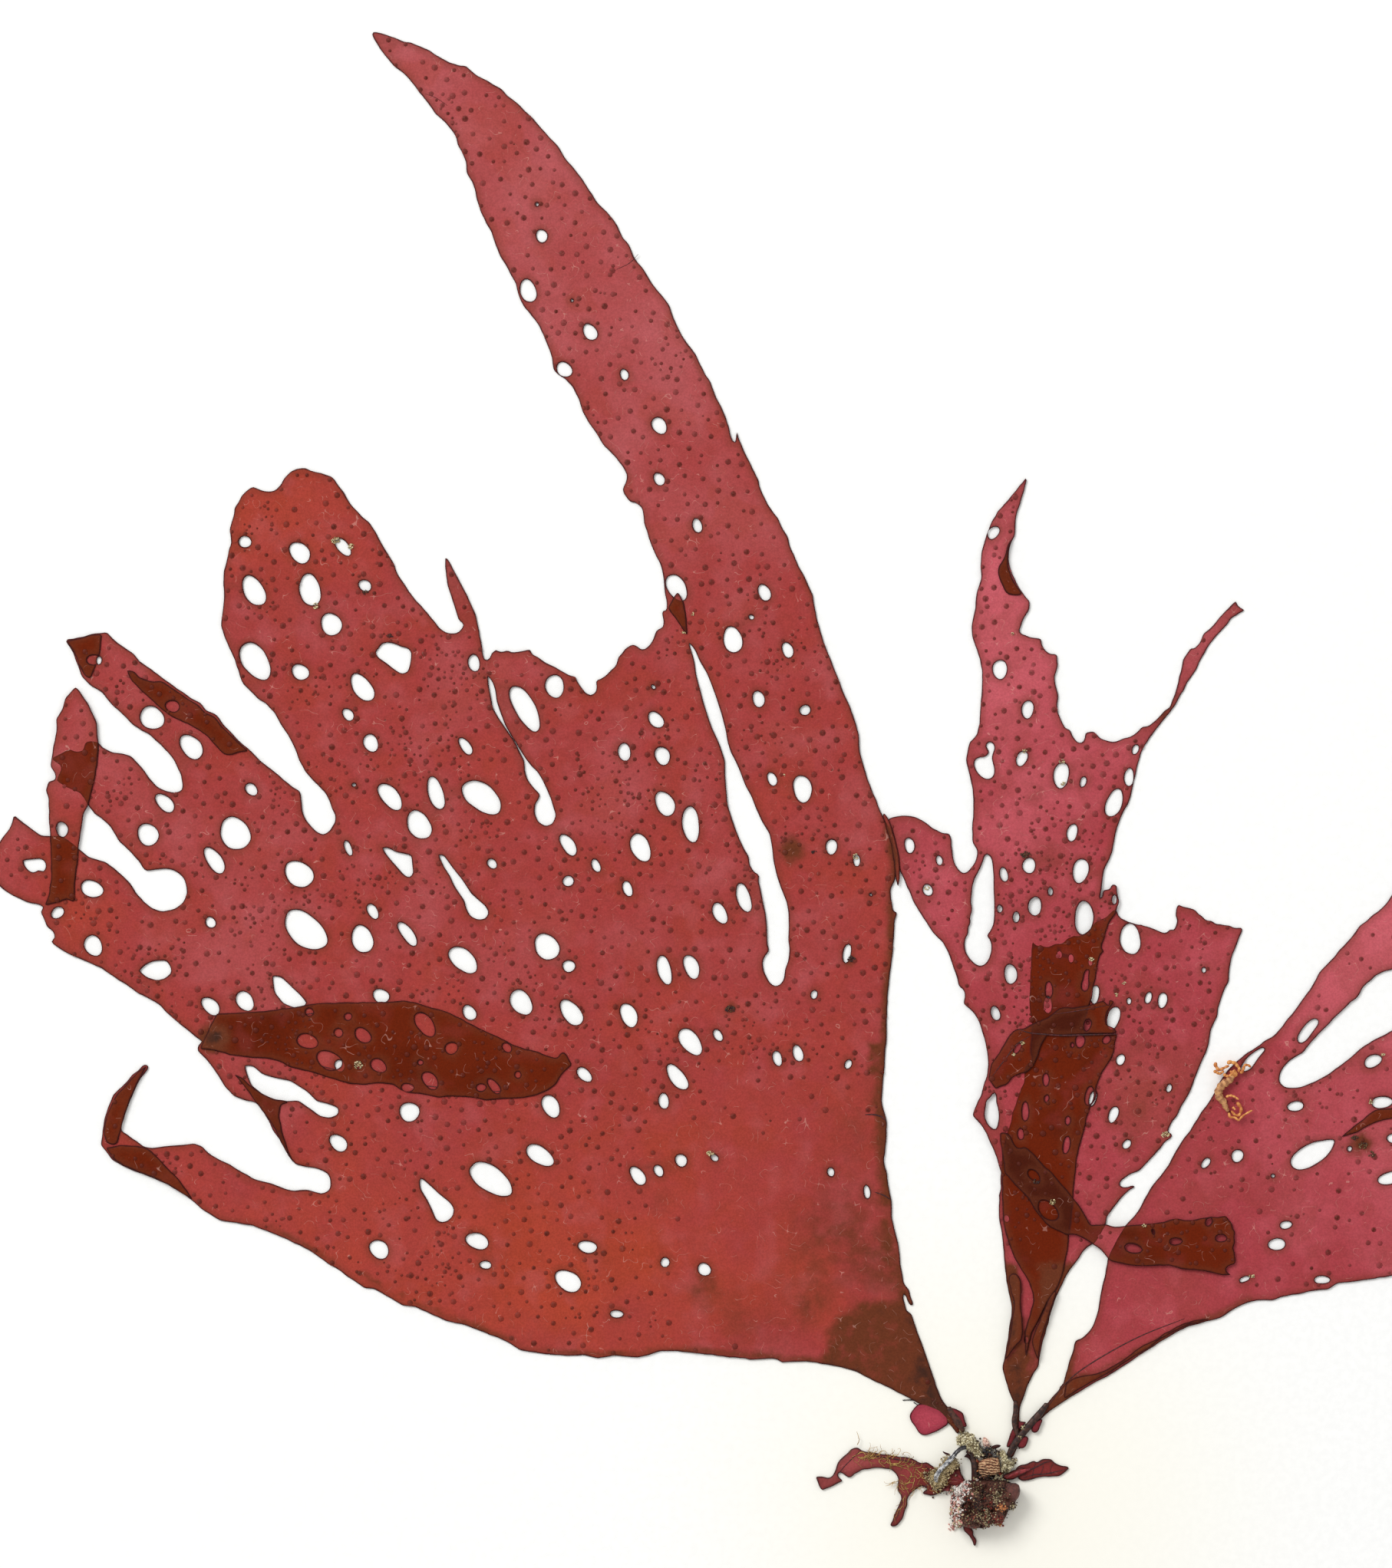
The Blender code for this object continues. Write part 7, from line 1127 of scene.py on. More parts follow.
@dataclass
class Clump:
    """A lumpy mound: its outline drawn in towards the middle while it rises, with random lumps and pits."""

    outline: np.ndarray
    low: float
    height: float
    lumps: float = 0.12
    cell: float = 1.1
    seed: int = 30
    rows: int = 34
    step: float = 0.16
    bulge: float = 0.9
    ragged: float = 0.0

    def grid(self) -> np.ndarray:
        """The mound's points: the outline shrinks by a power of a cosine and rises by a power of a sine.

        Returns:
            An array of rows from foot to top, each with one point for each step round the outline.
        """
        ring = rounded(self.outline, self.step * (1.0), self.ragged, self.seed)
        middle = ring.mean(axis=0)
        share = np.linspace(0.0, CLUMP_TOP, self.rows)[:, None]
        size = np.cos(0.5 * math.pi * share**1.35) ** 0.55 * 0.98
        rise = np.sin(0.5 * math.pi * share) ** self.bulge
        flat = middle + (ring - middle)[None] * size[:, :, None]
        level = self.low + self.height * rise[:, :, None]
        grid = np.concatenate([flat, np.broadcast_to(level, (*flat.shape[:2], 1))], 2)
        spots = grid.reshape(-1, 3)
        bump = lattice_noise(spots, self.cell, self.seed)
        bump = (bump + 0.5 * lattice_noise(spots, 0.45 * self.cell, self.seed + 1)).reshape(grid.shape[:2])
        ease = np.sin(math.pi * np.clip(share, 0.0, 0.97)) ** 0.5
        out = (grid[..., :2] - middle) * (1.0 + self.lumps * 0.6 * np.minimum(bump, 0.0) * ease)[..., None]
        grid[..., :2] = middle + out
        grid[..., 2] += self.height * self.lumps * np.minimum(bump, 0.35) * smoothed(0.0, 0.5, share)
        return grid

    def build(self) -> Piece:
        """Closes the grid with a point on top and one under the middle.

        Returns:
            The closed mound, with rise from 0 at the foot to 1 on top.
        """
        grid = self.grid()
        rows, sides = grid.shape[:2]
        foot, head = grid[0].mean(axis=0), grid[-1].mean(axis=0)
        points = np.vstack([grid.reshape(-1, 3), foot, head])
        faces = tube_faces(rows, sides)
        faces = faces if leftward(grid[0, :, :2]) else faces[:, ::-1]
        rise = np.concatenate([np.repeat(np.linspace(0.0, 1.0, rows), sides), [0.0, 1.0]])
        return Piece(points, faces, {"rise": rise})

    def dropped(self, spots: np.ndarray) -> np.ndarray:
        """Sets flat places on the mound, each at the nearest of its points.

        Args:
            spots: rows of x and y.

        Returns:
            The places on the mound, x, y and z.
        """
        grid = self.grid()[2:].reshape(-1, 3)
        square = (spots[:, None, 0] - grid[None, :, 0]) ** 2 + (spots[:, None, 1] - grid[None, :, 1]) ** 2
        nearest = grid[square.argmin(axis=1)]
        inner = square.min(axis=1) < 0.09
        return np.where(inner[:, None], np.column_stack([spots, nearest[:, 2]]), nearest)

    def spots(self, count: int, seed: int) -> np.ndarray:
        """Random places on the mound, more of them low down, where it is widest.

        Args:
            count: how many.
            seed: which random places.

        Returns:
            The places, x, y and z.
        """
        random = np.random.default_rng(seed)
        grid = self.grid()
        rows, sides = grid.shape[:2]
        share = 0.97 * random.random(count) ** 1.25
        return grid[(share * (rows - 1)).astype(int), random.integers(0, sides, count)]


# ---------------------------------------------------------------- finishes


class Nodes:
    """Adds shader nodes in one line each."""

    def __init__(self, tree: bpy.types.NodeTree) -> None:
        """Keeps the tree that the nodes go into."""
        self.tree = tree

    def add(self, kind: str, inputs: dict | None = None, **settings: object) -> bpy.types.Node:
        """Adds one node.

        Args:
            kind: Blender's name for it.
            inputs: by name or number, a value to set or another node's output to link.
            settings: the node's own options.

        Returns:
            The node.
        """
        node = self.tree.nodes.new(kind)
        for key, value in settings.items():
            setattr(node, key, value)
        self.feed(node, inputs or {})
        return node

    def feed(self, node: bpy.types.Node, inputs: dict) -> None:
        """Fills a node's inputs, by name or number, each with a value or another node's output."""
        for key, value in inputs.items():
            if isinstance(value, bpy.types.NodeSocket):
                self.tree.links.new(value, node.inputs[key])
            else:
                node.inputs[key].default_value = value

    def math(self, operation: str, first: object, second: object = 0.0) -> Socket:
        """Adds a Math node and returns its value."""
        return self.add("ShaderNodeMath", {0: first, 1: second}, operation=operation).outputs[0]

    def mix(self, share: object, first: object, second: object, blend: str = "MIX") -> Socket:
        """Adds a colour Mix node and returns its colour."""
        node = self.add("ShaderNodeMix", {0: share, 6: first, 7: second}, data_type="RGBA", blend_type=blend)
        return node.outputs[2]

    def step(self, value: object, low: float, high: float, start: float = 0.0, end: float = 1.0) -> Socket:
        """Adds a Map Range node that eases from start to end while value goes from low to high."""
        numbers = {0: value, 1: low, 2: high, 3: start, 4: end}
        return self.add("ShaderNodeMapRange", numbers, interpolation_type="SMOOTHSTEP").outputs[0]

    def noise(self, where: Socket, scale: object, detail: float = 2.0, rough: float = 0.5) -> Socket:
        """Adds a Noise Texture and returns its value; scale is in cells a metre."""
        numbers = {"Vector": where, "Scale": scale, "Detail": detail, "Roughness": rough}
        return self.add("ShaderNodeTexNoise", numbers).outputs[0]

    def shaded(self, colour: Socket, amount: Socket) -> Socket:
        """Multiplies a colour by a number and returns the colour."""
        grey = self.add("ShaderNodeCombineColor", {0: amount, 1: amount, 2: amount}).outputs[0]
        return self.mix(1.0, colour, grey, "MULTIPLY")

    def shared(self, which: "Shared", inputs: dict) -> bpy.types.Node:
        """Adds one of the shared groups and fills its inputs."""
        node = self.add("ShaderNodeGroup")
        node.node_tree = which.tree()
        self.feed(node, inputs)
        return node

    def bump(self, height: Socket, distance: float, strength: float = 1.0) -> Socket:
        """Adds a Bump node over a height; distance is in metres."""
        inputs = {"Height": height, "Distance": distance, "Strength": strength}
        return self.add("ShaderNodeBump", inputs).outputs[0]

    def value(self, name: str) -> Socket:
        """Adds an Attribute node and returns the number that the piece carries under that name."""
        return self.add("ShaderNodeAttribute", attribute_name=name).outputs["Fac"]

    def where(self) -> Socket:
        """Adds a Texture Coordinate node and returns the Object coordinates."""
        return self.add("ShaderNodeTexCoord").outputs["Object"]


def group(name: str, inputs: dict[str, str], outputs: dict[str, str]) -> tuple[Nodes, dict, bpy.types.Node]:
    """Starts a shader node group with named sockets.

    Args:
        name: the group's name.
        inputs: socket names with their kinds, Float, Color or Vector.
        outputs: the same for what it puts out.

    Returns:
        The node adder, the inner sockets of the inputs by name, and the output node.
    """
    tree = bpy.data.node_groups.new(name, "ShaderNodeTree")
    for direction, sockets in (("INPUT", inputs), ("OUTPUT", outputs)):
        for key, kind in sockets.items():
            tree.interface.new_socket(key, in_out=direction, socket_type=f"NodeSocket{kind}")
    nodes = Nodes(tree)
    source = nodes.add("NodeGroupInput")
    result = nodes.add("NodeGroupOutput")
    return nodes, {key: source.outputs[key] for key in inputs}, result


def blade_tint() -> bpy.types.NodeTree:
    """Builds the shared group that colours a dried blade.

    A single layer runs from amber to rosy by its cast, mottled by two noises. Layers under it darken it in
    two steps: painted shade, for the light that the stacked layers filter out on its way to the white paper
    and back. Stains, and painted shade along curled margins, turn it brown. Its margins and rims are drawn
    in dark lines with a soft brown halo, and the margins hidden under it in dark lines, partly the thicker
    tissue's own colour and partly painted shade. Short crooked white flecks are where a noise crosses one
    half, in the places that a second noise picks.

    Returns:
        The group, which puts out a colour, a fleck mask and a height.
    """
    colours = ("Single", "Rosy", "Amber", "Double", "Triple", "Stain and Shade Colour", "Stem", "Rim", "Speck")
    inputs = {key: "Color" for key in colours}
    inputs.update({key: "Float" for key in ("Cast", "Stain and Shade", "Layers", "Edge", "Veil")})
    inputs["Place"] = "Vector"
    outputs = {"Color": "Color", "Fleck": "Float", "Height": "Float"}
    nodes, given, result = group("Dried blade", inputs, outputs)
    place = given["Place"]
    broad = nodes.noise(place, 75.0, 3.0, 0.55)
    fine = nodes.noise(place, 620.0, 4.0, 0.6)
    grain = nodes.noise(place, 3600.0, 2.0, 0.6)
    drift = nodes.math("ADD", given["Cast"], nodes.step(broad, 0.3, 0.7, -0.2, 0.2))
    single = nodes.mix(nodes.math("MAXIMUM", drift, 0.0), given["Single"], given["Rosy"])
    cool = nodes.math("MAXIMUM", nodes.math("MULTIPLY", drift, -1.0), 0.0)
    single = nodes.mix(cool, single, given["Amber"])
    single = nodes.mix(nodes.step(fine, 0.35, 0.68, 0.0, 0.12), single, given["Stain and Shade Colour"])
    blot = nodes.step(nodes.noise(place, 115.0, 2.0, 0.45), 0.53, 0.6, 0.0, 0.22)
    single = nodes.mix(blot, single, nodes.mix(0.6, given["Double"], given["Amber"]))
    bright = nodes.noise(place, 190.0, 2.0, 0.5)
    single = nodes.mix(nodes.step(bright, 0.5, 0.72, 0.0, 0.2), single, given["Rosy"])
    # Painted shade: one layer below darkens toward Double, two toward Triple, for light the stack filters
    # out.
    one = nodes.step(given["Layers"], 0.0, 1.0)
    double = nodes.mix(nodes.step(broad, 0.45, 0.66, 0.0, 0.45), given["Double"], given["Triple"])
    double = nodes.mix(nodes.step(bright, 0.5, 0.7, 0.0, 0.14), double, single)
    two = nodes.step(given["Layers"], 1.0, 2.0)
    dense = nodes.mix(two, nodes.mix(one, single, double), given["Triple"])
    ragged = nodes.noise(place, 420.0, 3.0, 0.6)
    # Stains, and painted shade along curled margins, turn the colour brown and, where heaviest, dark brown.
    soak = nodes.math("MULTIPLY", given["Stain and Shade"], nodes.step(ragged, 0.34, 0.66, 0.76, 1.2))
    dense = nodes.mix(nodes.step(soak, 0.08, 0.95), dense, given["Stain and Shade Colour"])
    dense = nodes.mix(nodes.step(soak, 0.95, 1.9), dense, given["Stem"])
    # Painted shade, partly the thicker tissue's own colour: dark margin, rim and hidden-margin lines, soft
    # brown halo.
    hidden = nodes.math("MULTIPLY", nodes.step(given["Veil"], 0.05, 0.32, 0.55, 0.0), one)
    dense = nodes.mix(hidden, dense, given["Rim"])
    wander = nodes.step(fine, 0.3, 0.7, 0.75, 1.3)
    margin = nodes.math("MULTIPLY", given["Edge"], wander)
    dense = nodes.mix(nodes.step(margin, 0.1, 1.5, 0.42, 0.0), dense, given["Stain and Shade Colour"])
    dense = nodes.mix(nodes.step(margin, 0.06, 0.3, 0.88, 0.0), dense, given["Rim"])
    hair = nodes.noise(place, 640.0, 0.0)
    near = nodes.math("ABSOLUTE", nodes.math("SUBTRACT", hair, 0.5))
    thread = nodes.step(near, 0.001, 0.012, 1.0, 0.0)
    picked = nodes.step(nodes.noise(place, 560.0, 1.0), 0.56, 0.6)
    away = nodes.step(given["Edge"], 0.3, 0.6)
    fleck = nodes.math("MULTIPLY", nodes.math("MULTIPLY", thread, picked), away)
    dense = nodes.mix(nodes.math("MULTIPLY", fleck, 0.34), dense, given["Speck"])
    dense = nodes.shaded(dense, nodes.step(grain, 0.25, 0.75, 0.86, 1.1))
    height = nodes.math("ADD", nodes.math("MULTIPLY", fine, 0.6), nodes.math("MULTIPLY", grain, 0.12))
    height = nodes.math("ADD", height, nodes.math("MULTIPLY", fleck, 0.15))
    nodes.feed(result, {"Color": dense, "Fleck": fleck, "Height": height})
    return nodes.tree


def rough_grain() -> bpy.types.NodeTree:
    """Builds the shared group for sand, shell and crust: a colour shaded by noise, with painted shade in its
    pits.

    Returns:
        The group, which puts out a colour, a roughness and a height.
    """
    inputs = {"Color": "Color", "Pit Shade Color": "Color", "Scale": "Float", "Place": "Vector"}
    outputs = {"Color": "Color", "Roughness": "Float", "Height": "Float"}
    nodes, given, result = group("Rough grain", inputs, outputs)
    coarse = nodes.noise(given["Place"], given["Scale"], 3.0)
    fine = nodes.noise(given["Place"], nodes.math("MULTIPLY", given["Scale"], 3.1), 2.0)
    blend = nodes.math("ADD", nodes.math("MULTIPLY", coarse, 0.6), nodes.math("MULTIPLY", fine, 0.4))
    # Painted shade: where the bump's noise is low, the colour turns to the darker pit colour.
    painted_pit_shade = nodes.step(blend, 0.36, 0.52, 1.0, 0.0)
    colour = nodes.mix(painted_pit_shade, given["Color"], given["Pit Shade Color"])
    colour = nodes.shaded(colour, nodes.step(fine, 0.3, 0.7, 0.78, 1.15))
    rough = nodes.step(coarse, 0.3, 0.7, 0.95, 0.6)
    height = nodes.math("ADD", coarse, nodes.math("MULTIPLY", fine, 0.4))
    nodes.feed(result, {"Color": colour, "Roughness": rough, "Height": height})
    return nodes.tree


class Shared(Enum):
    """The node groups that several finishes use, built when first asked for."""

    BLADE = "Dried blade"
    GRAIN = "Rough grain"

    def tree(self) -> bpy.types.NodeTree:
        """Returns the group, and builds it the first time."""
        makers = {"Dried blade": blade_tint, "Rough grain": rough_grain}
        return bpy.data.node_groups.get(self.value) or makers[self.value]()


def fresh_material(name: str) -> tuple[bpy.types.Material, Nodes, bpy.types.Node]:
    """Starts a material.

    Args:
        name: the material's name.

    Returns:
        The material, its node adder and its Principled shader.
    """
    material = bpy.data.materials.new(name)
    material.use_nodes = True
    nodes = Nodes(material.node_tree)
    return material, nodes, material.node_tree.nodes["Principled BSDF"]


@dataclass(frozen=True)
class BladeFinish:
    """A dried blade or its warts: colours of its layers, stains and rims, partly painted shade, and its low
    gloss.
    """

    name: str
    single: Colour
    rosy: Colour
    amber: Colour
    double: Colour = (103, 32, 8)
    triple: Colour = (74, 18, 0)
    # Stain colour, also used for the painted shade at the margins.
    stained: Colour = (104, 52, 32)
    stem: Colour = (62, 38, 30)
    rim: Colour = (52, 22, 24)
    speck: Colour = (226, 172, 158)
    wart: Colour = (84, 26, 14)
    roughness: float = 0.62
    gloss: float = 0.04

    def tinted(self, nodes: Nodes, where: Socket) -> bpy.types.Node:
        """Adds the shared tint group with this finish's colours and the piece's own values."""
        colours = {
            "Single": self.single, "Rosy": self.rosy, "Amber": self.amber, "Double": self.double,
            "Triple": self.triple, "Stain and Shade Colour": self.stained, "Stem": self.stem, "Rim": self.rim,
            "Speck": self.speck,
        }
        inputs = {key: linear(*value) for key, value in colours.items()}
        names = {"Cast": "cast", "Stain and Shade": "stain", "Layers": "layers", "Edge": "edge", "Veil": "veil"}
        inputs.update({key: nodes.value(value) for key, value in names.items()})
        inputs["Place"] = where
        return nodes.shared(Shared.BLADE, inputs)

    @cache
    def sheet(self) -> bpy.types.Material:
        """The blade's material.

        Returns:
            A satin, finely wrinkled material that follows the sheet's own values.
        """
        material, nodes, shader = fresh_material(self.name)
        tint = self.tinted(nodes, nodes.where()).outputs
        rough = nodes.math("ADD", nodes.math("MULTIPLY", tint["Fleck"], -0.12), self.roughness)
        inputs = {"Base Color": tint["Color"], "Roughness": rough, "Specular IOR Level": self.gloss}
        nodes.feed(shader, {**inputs, "Normal": nodes.bump(tint["Height"], 0.00012, 0.5)})
        return material

    def warts(self) -> bpy.types.Material:
        """The warts' material.

        Returns:
            The blade's own colour at a wart's foot, dark brown from there to its top, and a little more
            gloss.
        """
        material, nodes, shader = fresh_material(self.name + " warts")
        where = nodes.where()
        tint = self.tinted(nodes, where)
        core = nodes.step(nodes.value("core"), 0.0, 0.7, 0.1, 1.0)
        speckle = nodes.step(nodes.noise(where, 2600.0, 2.0), 0.3, 0.7, 0.7, 1.0)
        share = nodes.math("MULTIPLY", core, speckle)
        share = nodes.math("MULTIPLY", share, nodes.step(nodes.value("tone"), 0.0, 1.0, 0.62, 1.0))
        colour = nodes.mix(share, tint.outputs["Color"], linear(*self.wart))
        rough = nodes.step(speckle, 0.7, 1.0, 0.6, 0.45)
        nodes.feed(shader, {"Base Color": colour, "Roughness": rough, "Specular IOR Level": 0.14})
        return material


@dataclass(frozen=True)
class GrainFinish:
    """Sand, shell grit and crust: a few colours picked by each grain's tone, shaded by noise, with painted
    pit shade.
    """

    name: str
    colours: tuple[Colour, ...]
    # Colour of the painted shade in the pits.
    pit_shade: Colour
    scale: float = 3000.0
    bump: float = 0.00012
    gloss: float = 0.3
    key: str = "tone"

    @cache
    def material(self) -> bpy.types.Material:
        """Builds the material.

        Returns:
            A rough material whose colour steps through the list as tone goes from 0 to 1.
        """
        material, nodes, shader = fresh_material(self.name)
        ramp = nodes.add("ShaderNodeValToRGB", {0: nodes.value(self.key)})
        ramp.color_ramp.interpolation = "CONSTANT" if len(self.colours) > 3 else "LINEAR"
        while len(ramp.color_ramp.elements) < len(self.colours):
            ramp.color_ramp.elements.new(0.5)
        for i, (element, colour) in enumerate(zip(ramp.color_ramp.elements, self.colours)):
            element.position = i / len(self.colours)
            element.color = linear(*colour)
        given = {"Color": ramp.outputs[0], "Place": nodes.where(), "Pit Shade Color": linear(*self.pit_shade)}
        grain = nodes.shared(Shared.GRAIN, {**given, "Scale": self.scale}).outputs
        inputs = {"Base Color": grain["Color"], "Roughness": grain["Roughness"]}
        inputs["Normal"] = nodes.bump(grain["Height"], self.bump, 0.7)
        nodes.feed(shader, {**inputs, "Specular IOR Level": self.gloss})
        return material


@dataclass(frozen=True)
class StrandFinish:
    """Hairs, fibres and the shrimp's limbs: two colours, banded along the strand and mixed by noise."""

    name: str
    light: Colour
    dark: Colour
    bands: float = 0.0
    roughness: float = 0.5

    @cache
    def material(self) -> bpy.types.Material:
        """Builds the material.

        Returns:
            A material that mixes its two colours by noise and, where there are bands, by the way along the
            strand.
        """
        material, nodes, shader = fresh_material(self.name)
        where = nodes.where()
        mottled = nodes.step(nodes.noise(where, 2200.0, 3.0), 0.35, 0.65)
        if self.bands:
            turns = nodes.math("MULTIPLY", nodes.value("along"), self.bands * 2.0 * math.pi)
            wave = nodes.math("SINE", turns)
            mottled = nodes.math("MULTIPLY", nodes.math("ADD", mottled, nodes.step(wave, -0.4, 0.8)), 0.5)
        tone = nodes.step(nodes.value("tone"), 0.0, 1.0, -0.3, 0.3)
        share = nodes.add("ShaderNodeClamp", {0: nodes.math("ADD", mottled, tone)}).outputs[0]
        colour = nodes.mix(share, linear(*self.dark), linear(*self.light))
        rough = nodes.step(share, 0.0, 1.0, self.roughness + 0.1, self.roughness - 0.1)
        bump = nodes.bump(nodes.noise(where, 4200.0, 2.0), 0.00005)
        inputs = {"Base Color": colour, "Roughness": rough, "Specular IOR Level": 0.35, "Normal": bump}
        nodes.feed(shader, inputs)
        return material


# ---------------------------------------------------------------- fronds


def patches(spots: np.ndarray, rows: Patches) -> np.ndarray:
    """Adds up soft round patches, each its amount times e to the minus square of distance over radius.

    Args:
        spots: rows whose first two columns are x and y.
        rows: centre x, centre y, radius and amount of each patch.

    Returns:
        The sum at each spot.
    """
    table = np.array(rows, float).reshape(-1, 4)
    square = (spots[:, None, 0] - table[None, :, 0]) ** 2 + (spots[:, None, 1] - table[None, :, 1]) ** 2
    return np.sum(table[:, 3] * np.exp(-square / table[:, 2] ** 2), axis=1)


def streaks(spots: np.ndarray, rows: Lines) -> np.ndarray:
    """Adds up soft lines, each its amount times e to the minus square of distance over width.

    Args:
        spots: rows whose first two columns are x and y.
        rows: the line's points as text, its width and its amount.

    Returns:
        The sum at each spot.
    """
    total = np.zeros(len(spots))
    for text, width, amount in rows:
        line = pairs(text)
        gap = gap_to(spots, [np.vstack([line, line[-2:0:-1]])])
        total += amount * np.exp(-((gap / width) ** 2))
    return total


@dataclass
class Frond:
    """What the fronds share: colour patches, streaks (painted shade along margins), warts, crusts and
    creases.
    """

    node: str
    slot: str
    finish: BladeFinish
    casts: Patches = ()
    stains: Patches = ()
    lines: Lines = ()
    pools: Lines = ()
    bare: Patches = ()
    crusts: Patches = ()
    creases: tuple[tuple[str, float], ...] = ()
    wart_cell: float = 2.5
    seed: int = 50

    def toned(self, piece: Piece) -> Piece:
        """Gives a piece the cast, and the stain with its painted margin shade, at each of its points."""
        piece.on_points["cast"] = patches(piece.points, self.casts)
        # The streaks along margins add painted shade to the stains.
        stain = patches(piece.points, self.stains) + streaks(piece.points, self.lines)
        for text, soft, amount in self.pools:
            ring = pairs(text)
            gap = gap_to(piece.points, [ring]) * np.where(inside(piece.points, [ring]), 1.0, -1.0)
            stain += amount * smoothed(-soft, soft, gap)
        piece.on_points["stain"] = stain
        return piece

    def laid(self, sheets: list[Sheet], name: str, finish: BladeFinish | None = None) -> bpy.types.Object:
        """Builds sheets as one object with a blade's material, the frond's own unless another is named."""
        piece = self.toned(gathered([sheet.build() for sheet in sheets]))
        return piece.place(name, (finish or self.finish).sheet(), self.slot, (self.node,))

    def spread(self, sheet: Sheet, seed: int) -> tuple[np.ndarray, np.ndarray]:
        """Picks places and sizes for a sheet's warts: a shaken grid, knots of small ones, some beside holes.

        Args:
            sheet: the sheet.
            seed: which random places.

        Returns:
            Rows of x and y, and the radii.
        """
        random = np.random.default_rng(seed)
        low, high = sheet.rings[0].min(axis=0), sheet.rings[0].max(axis=0)
        large = scattered(low, high, self.wart_cell, seed)
        large = large[random.random(len(large)) < 0.85]
        small = scattered(low, high, 0.5 * self.wart_cell, seed + 1)
        knots = lattice_noise(small, 7.0, seed + 2) + 0.8 * lattice_noise(small, 2.6, seed + 3)
        small = small[(knots > 0.55) & (random.random(len(small)) < 0.62)]
        beside = [ring[random.integers(0, len(ring), max(1, len(ring) // 22))] for ring in sheet.rings[1:]]
        beside = np.vstack([*beside, large[:0]])
        beside = beside + random.normal(0.0, 0.45, beside.shape)
        spots = np.vstack([large, small, beside])
        sizes = np.concatenate(
            [
                0.32 + 0.26 * random.random(len(large)) ** 1.2,
                0.2 + 0.16 * random.random(len(small)),
                0.24 + 0.2 * random.random(len(beside)),
            ]
        )
        kept = random.random(len(spots)) > patches(spots, self.bare)
        kept &= inside(spots, sheet.rings)
        return spots[kept], sizes[kept]

    def warts(self, sheets: list[tuple[Sheet, list[Sheet]]], name: str) -> bpy.types.Object:
        """Builds the warts of a frond.

        Args:
            sheets: each sheet with the sheets that cover parts of it, where it has no warts to show.
            name: the name of the warts' object.

        Returns:
            The new object.
        """
        random = np.random.default_rng(self.seed)
        pieces = []
        for i, (sheet, covers) in enumerate(sheets):
            spots, radii = self.spread(sheet, self.seed + 10 * i)
            edge = gap_to(spots, sheet.rings)
            kept = edge > 0.25
            for cover in covers:
                kept &= ~inside(spots, cover.rings[:1])
            spots, edge = spots[kept], edge[kept]
            radii = np.minimum(radii[kept], 1.1 * edge)
            depth = np.zeros(len(spots))
            for low in sheet.lower:
                depth += inside(spots, low.rings)
            centres = np.column_stack([spots, sheet.top(spots, edge) - 0.02])
            piece = domes(centres, radii, 0.3 * radii + 0.03, random.random(len(spots)))
            count = len(piece.points) // max(1, len(spots))
            piece.on_points["edge"] = np.repeat(edge, count)
            piece.fill(veil=9.0)
            piece.on_points["layers"] = np.repeat(depth, count)
            pieces.append(self.toned(piece))
        return gathered(pieces).place(name, self.finish.warts(), self.slot)

    def crusted(self, sheets: tuple[Sheet, ...], name: str, finish: "GrainFinish") -> None:
        """Sets small crusts of grains on the sheets, each at a listed spot.

        Args:
            sheets: the sheets, of which the highest at a spot carries the crust.
            name: the object's name.
            finish: the grains' finish.
        """
        random = np.random.default_rng(self.seed + 7)
        rows = np.array(self.crusts, float).reshape(-1, 4)
        counts = np.maximum(6, (rows[:, 2] ** 2 * 90.0).astype(int))
        which = np.repeat(np.arange(len(rows)), counts)
        angle, far = random.uniform(0.0, 2.0 * math.pi, len(which)), np.sqrt(random.random(len(which)))
        squeeze = random.uniform(0.55, 1.0, len(rows))[which]
        spots = rows[which, :2] + (rows[which, 2] * far)[:, None] * np.column_stack(
            [np.cos(angle), squeeze * np.sin(angle)]
        )
        ground = np.full(len(spots), 0.02)
        for sheet in sheets:
            edge = gap_to(spots, sheet.rings)
            ground = np.where(inside(spots, sheet.rings), np.maximum(ground, sheet.top(spots, edge)), ground)
        sizes = random.uniform(0.07, 0.15, len(which)) * (0.8 + 0.35 * rows[which, 2])
        centres = np.column_stack([spots, ground + 0.8 * sizes + 0.12 * (1.0 - far)])
        tones = np.clip(rows[which, 3] + random.uniform(-0.18, 0.18, len(which)), 0.0, 0.99)
        grains(centres, sizes, tones, self.seed + 8).place(name, finish.material(), self.slot)

    def creased(self, sheet: Sheet, name: str) -> None:
        """Presses dark creases into a sheet: low strands along listed lines, tapering both ways."""
        # The strands' dark colour is painted shade in the creases and along the fold edges.
        rows = []
        for i, (text, wide) in enumerate(self.creases):
            line = threaded(pairs(text), 0.25)
            line = np.column_stack([line, sheet.top(line, gap_to(line, sheet.rings)) - 0.01])
            taper = np.sin(math.pi * np.linspace(0.06, 0.94, len(line))) ** 0.6
            rows.append(swept(line, wide * taper, 0.06 + 0.3 * wide * taper, (0.3 * i) % 1.0))
        gathered(rows).place(name, WRINKLE.material(), self.slot)


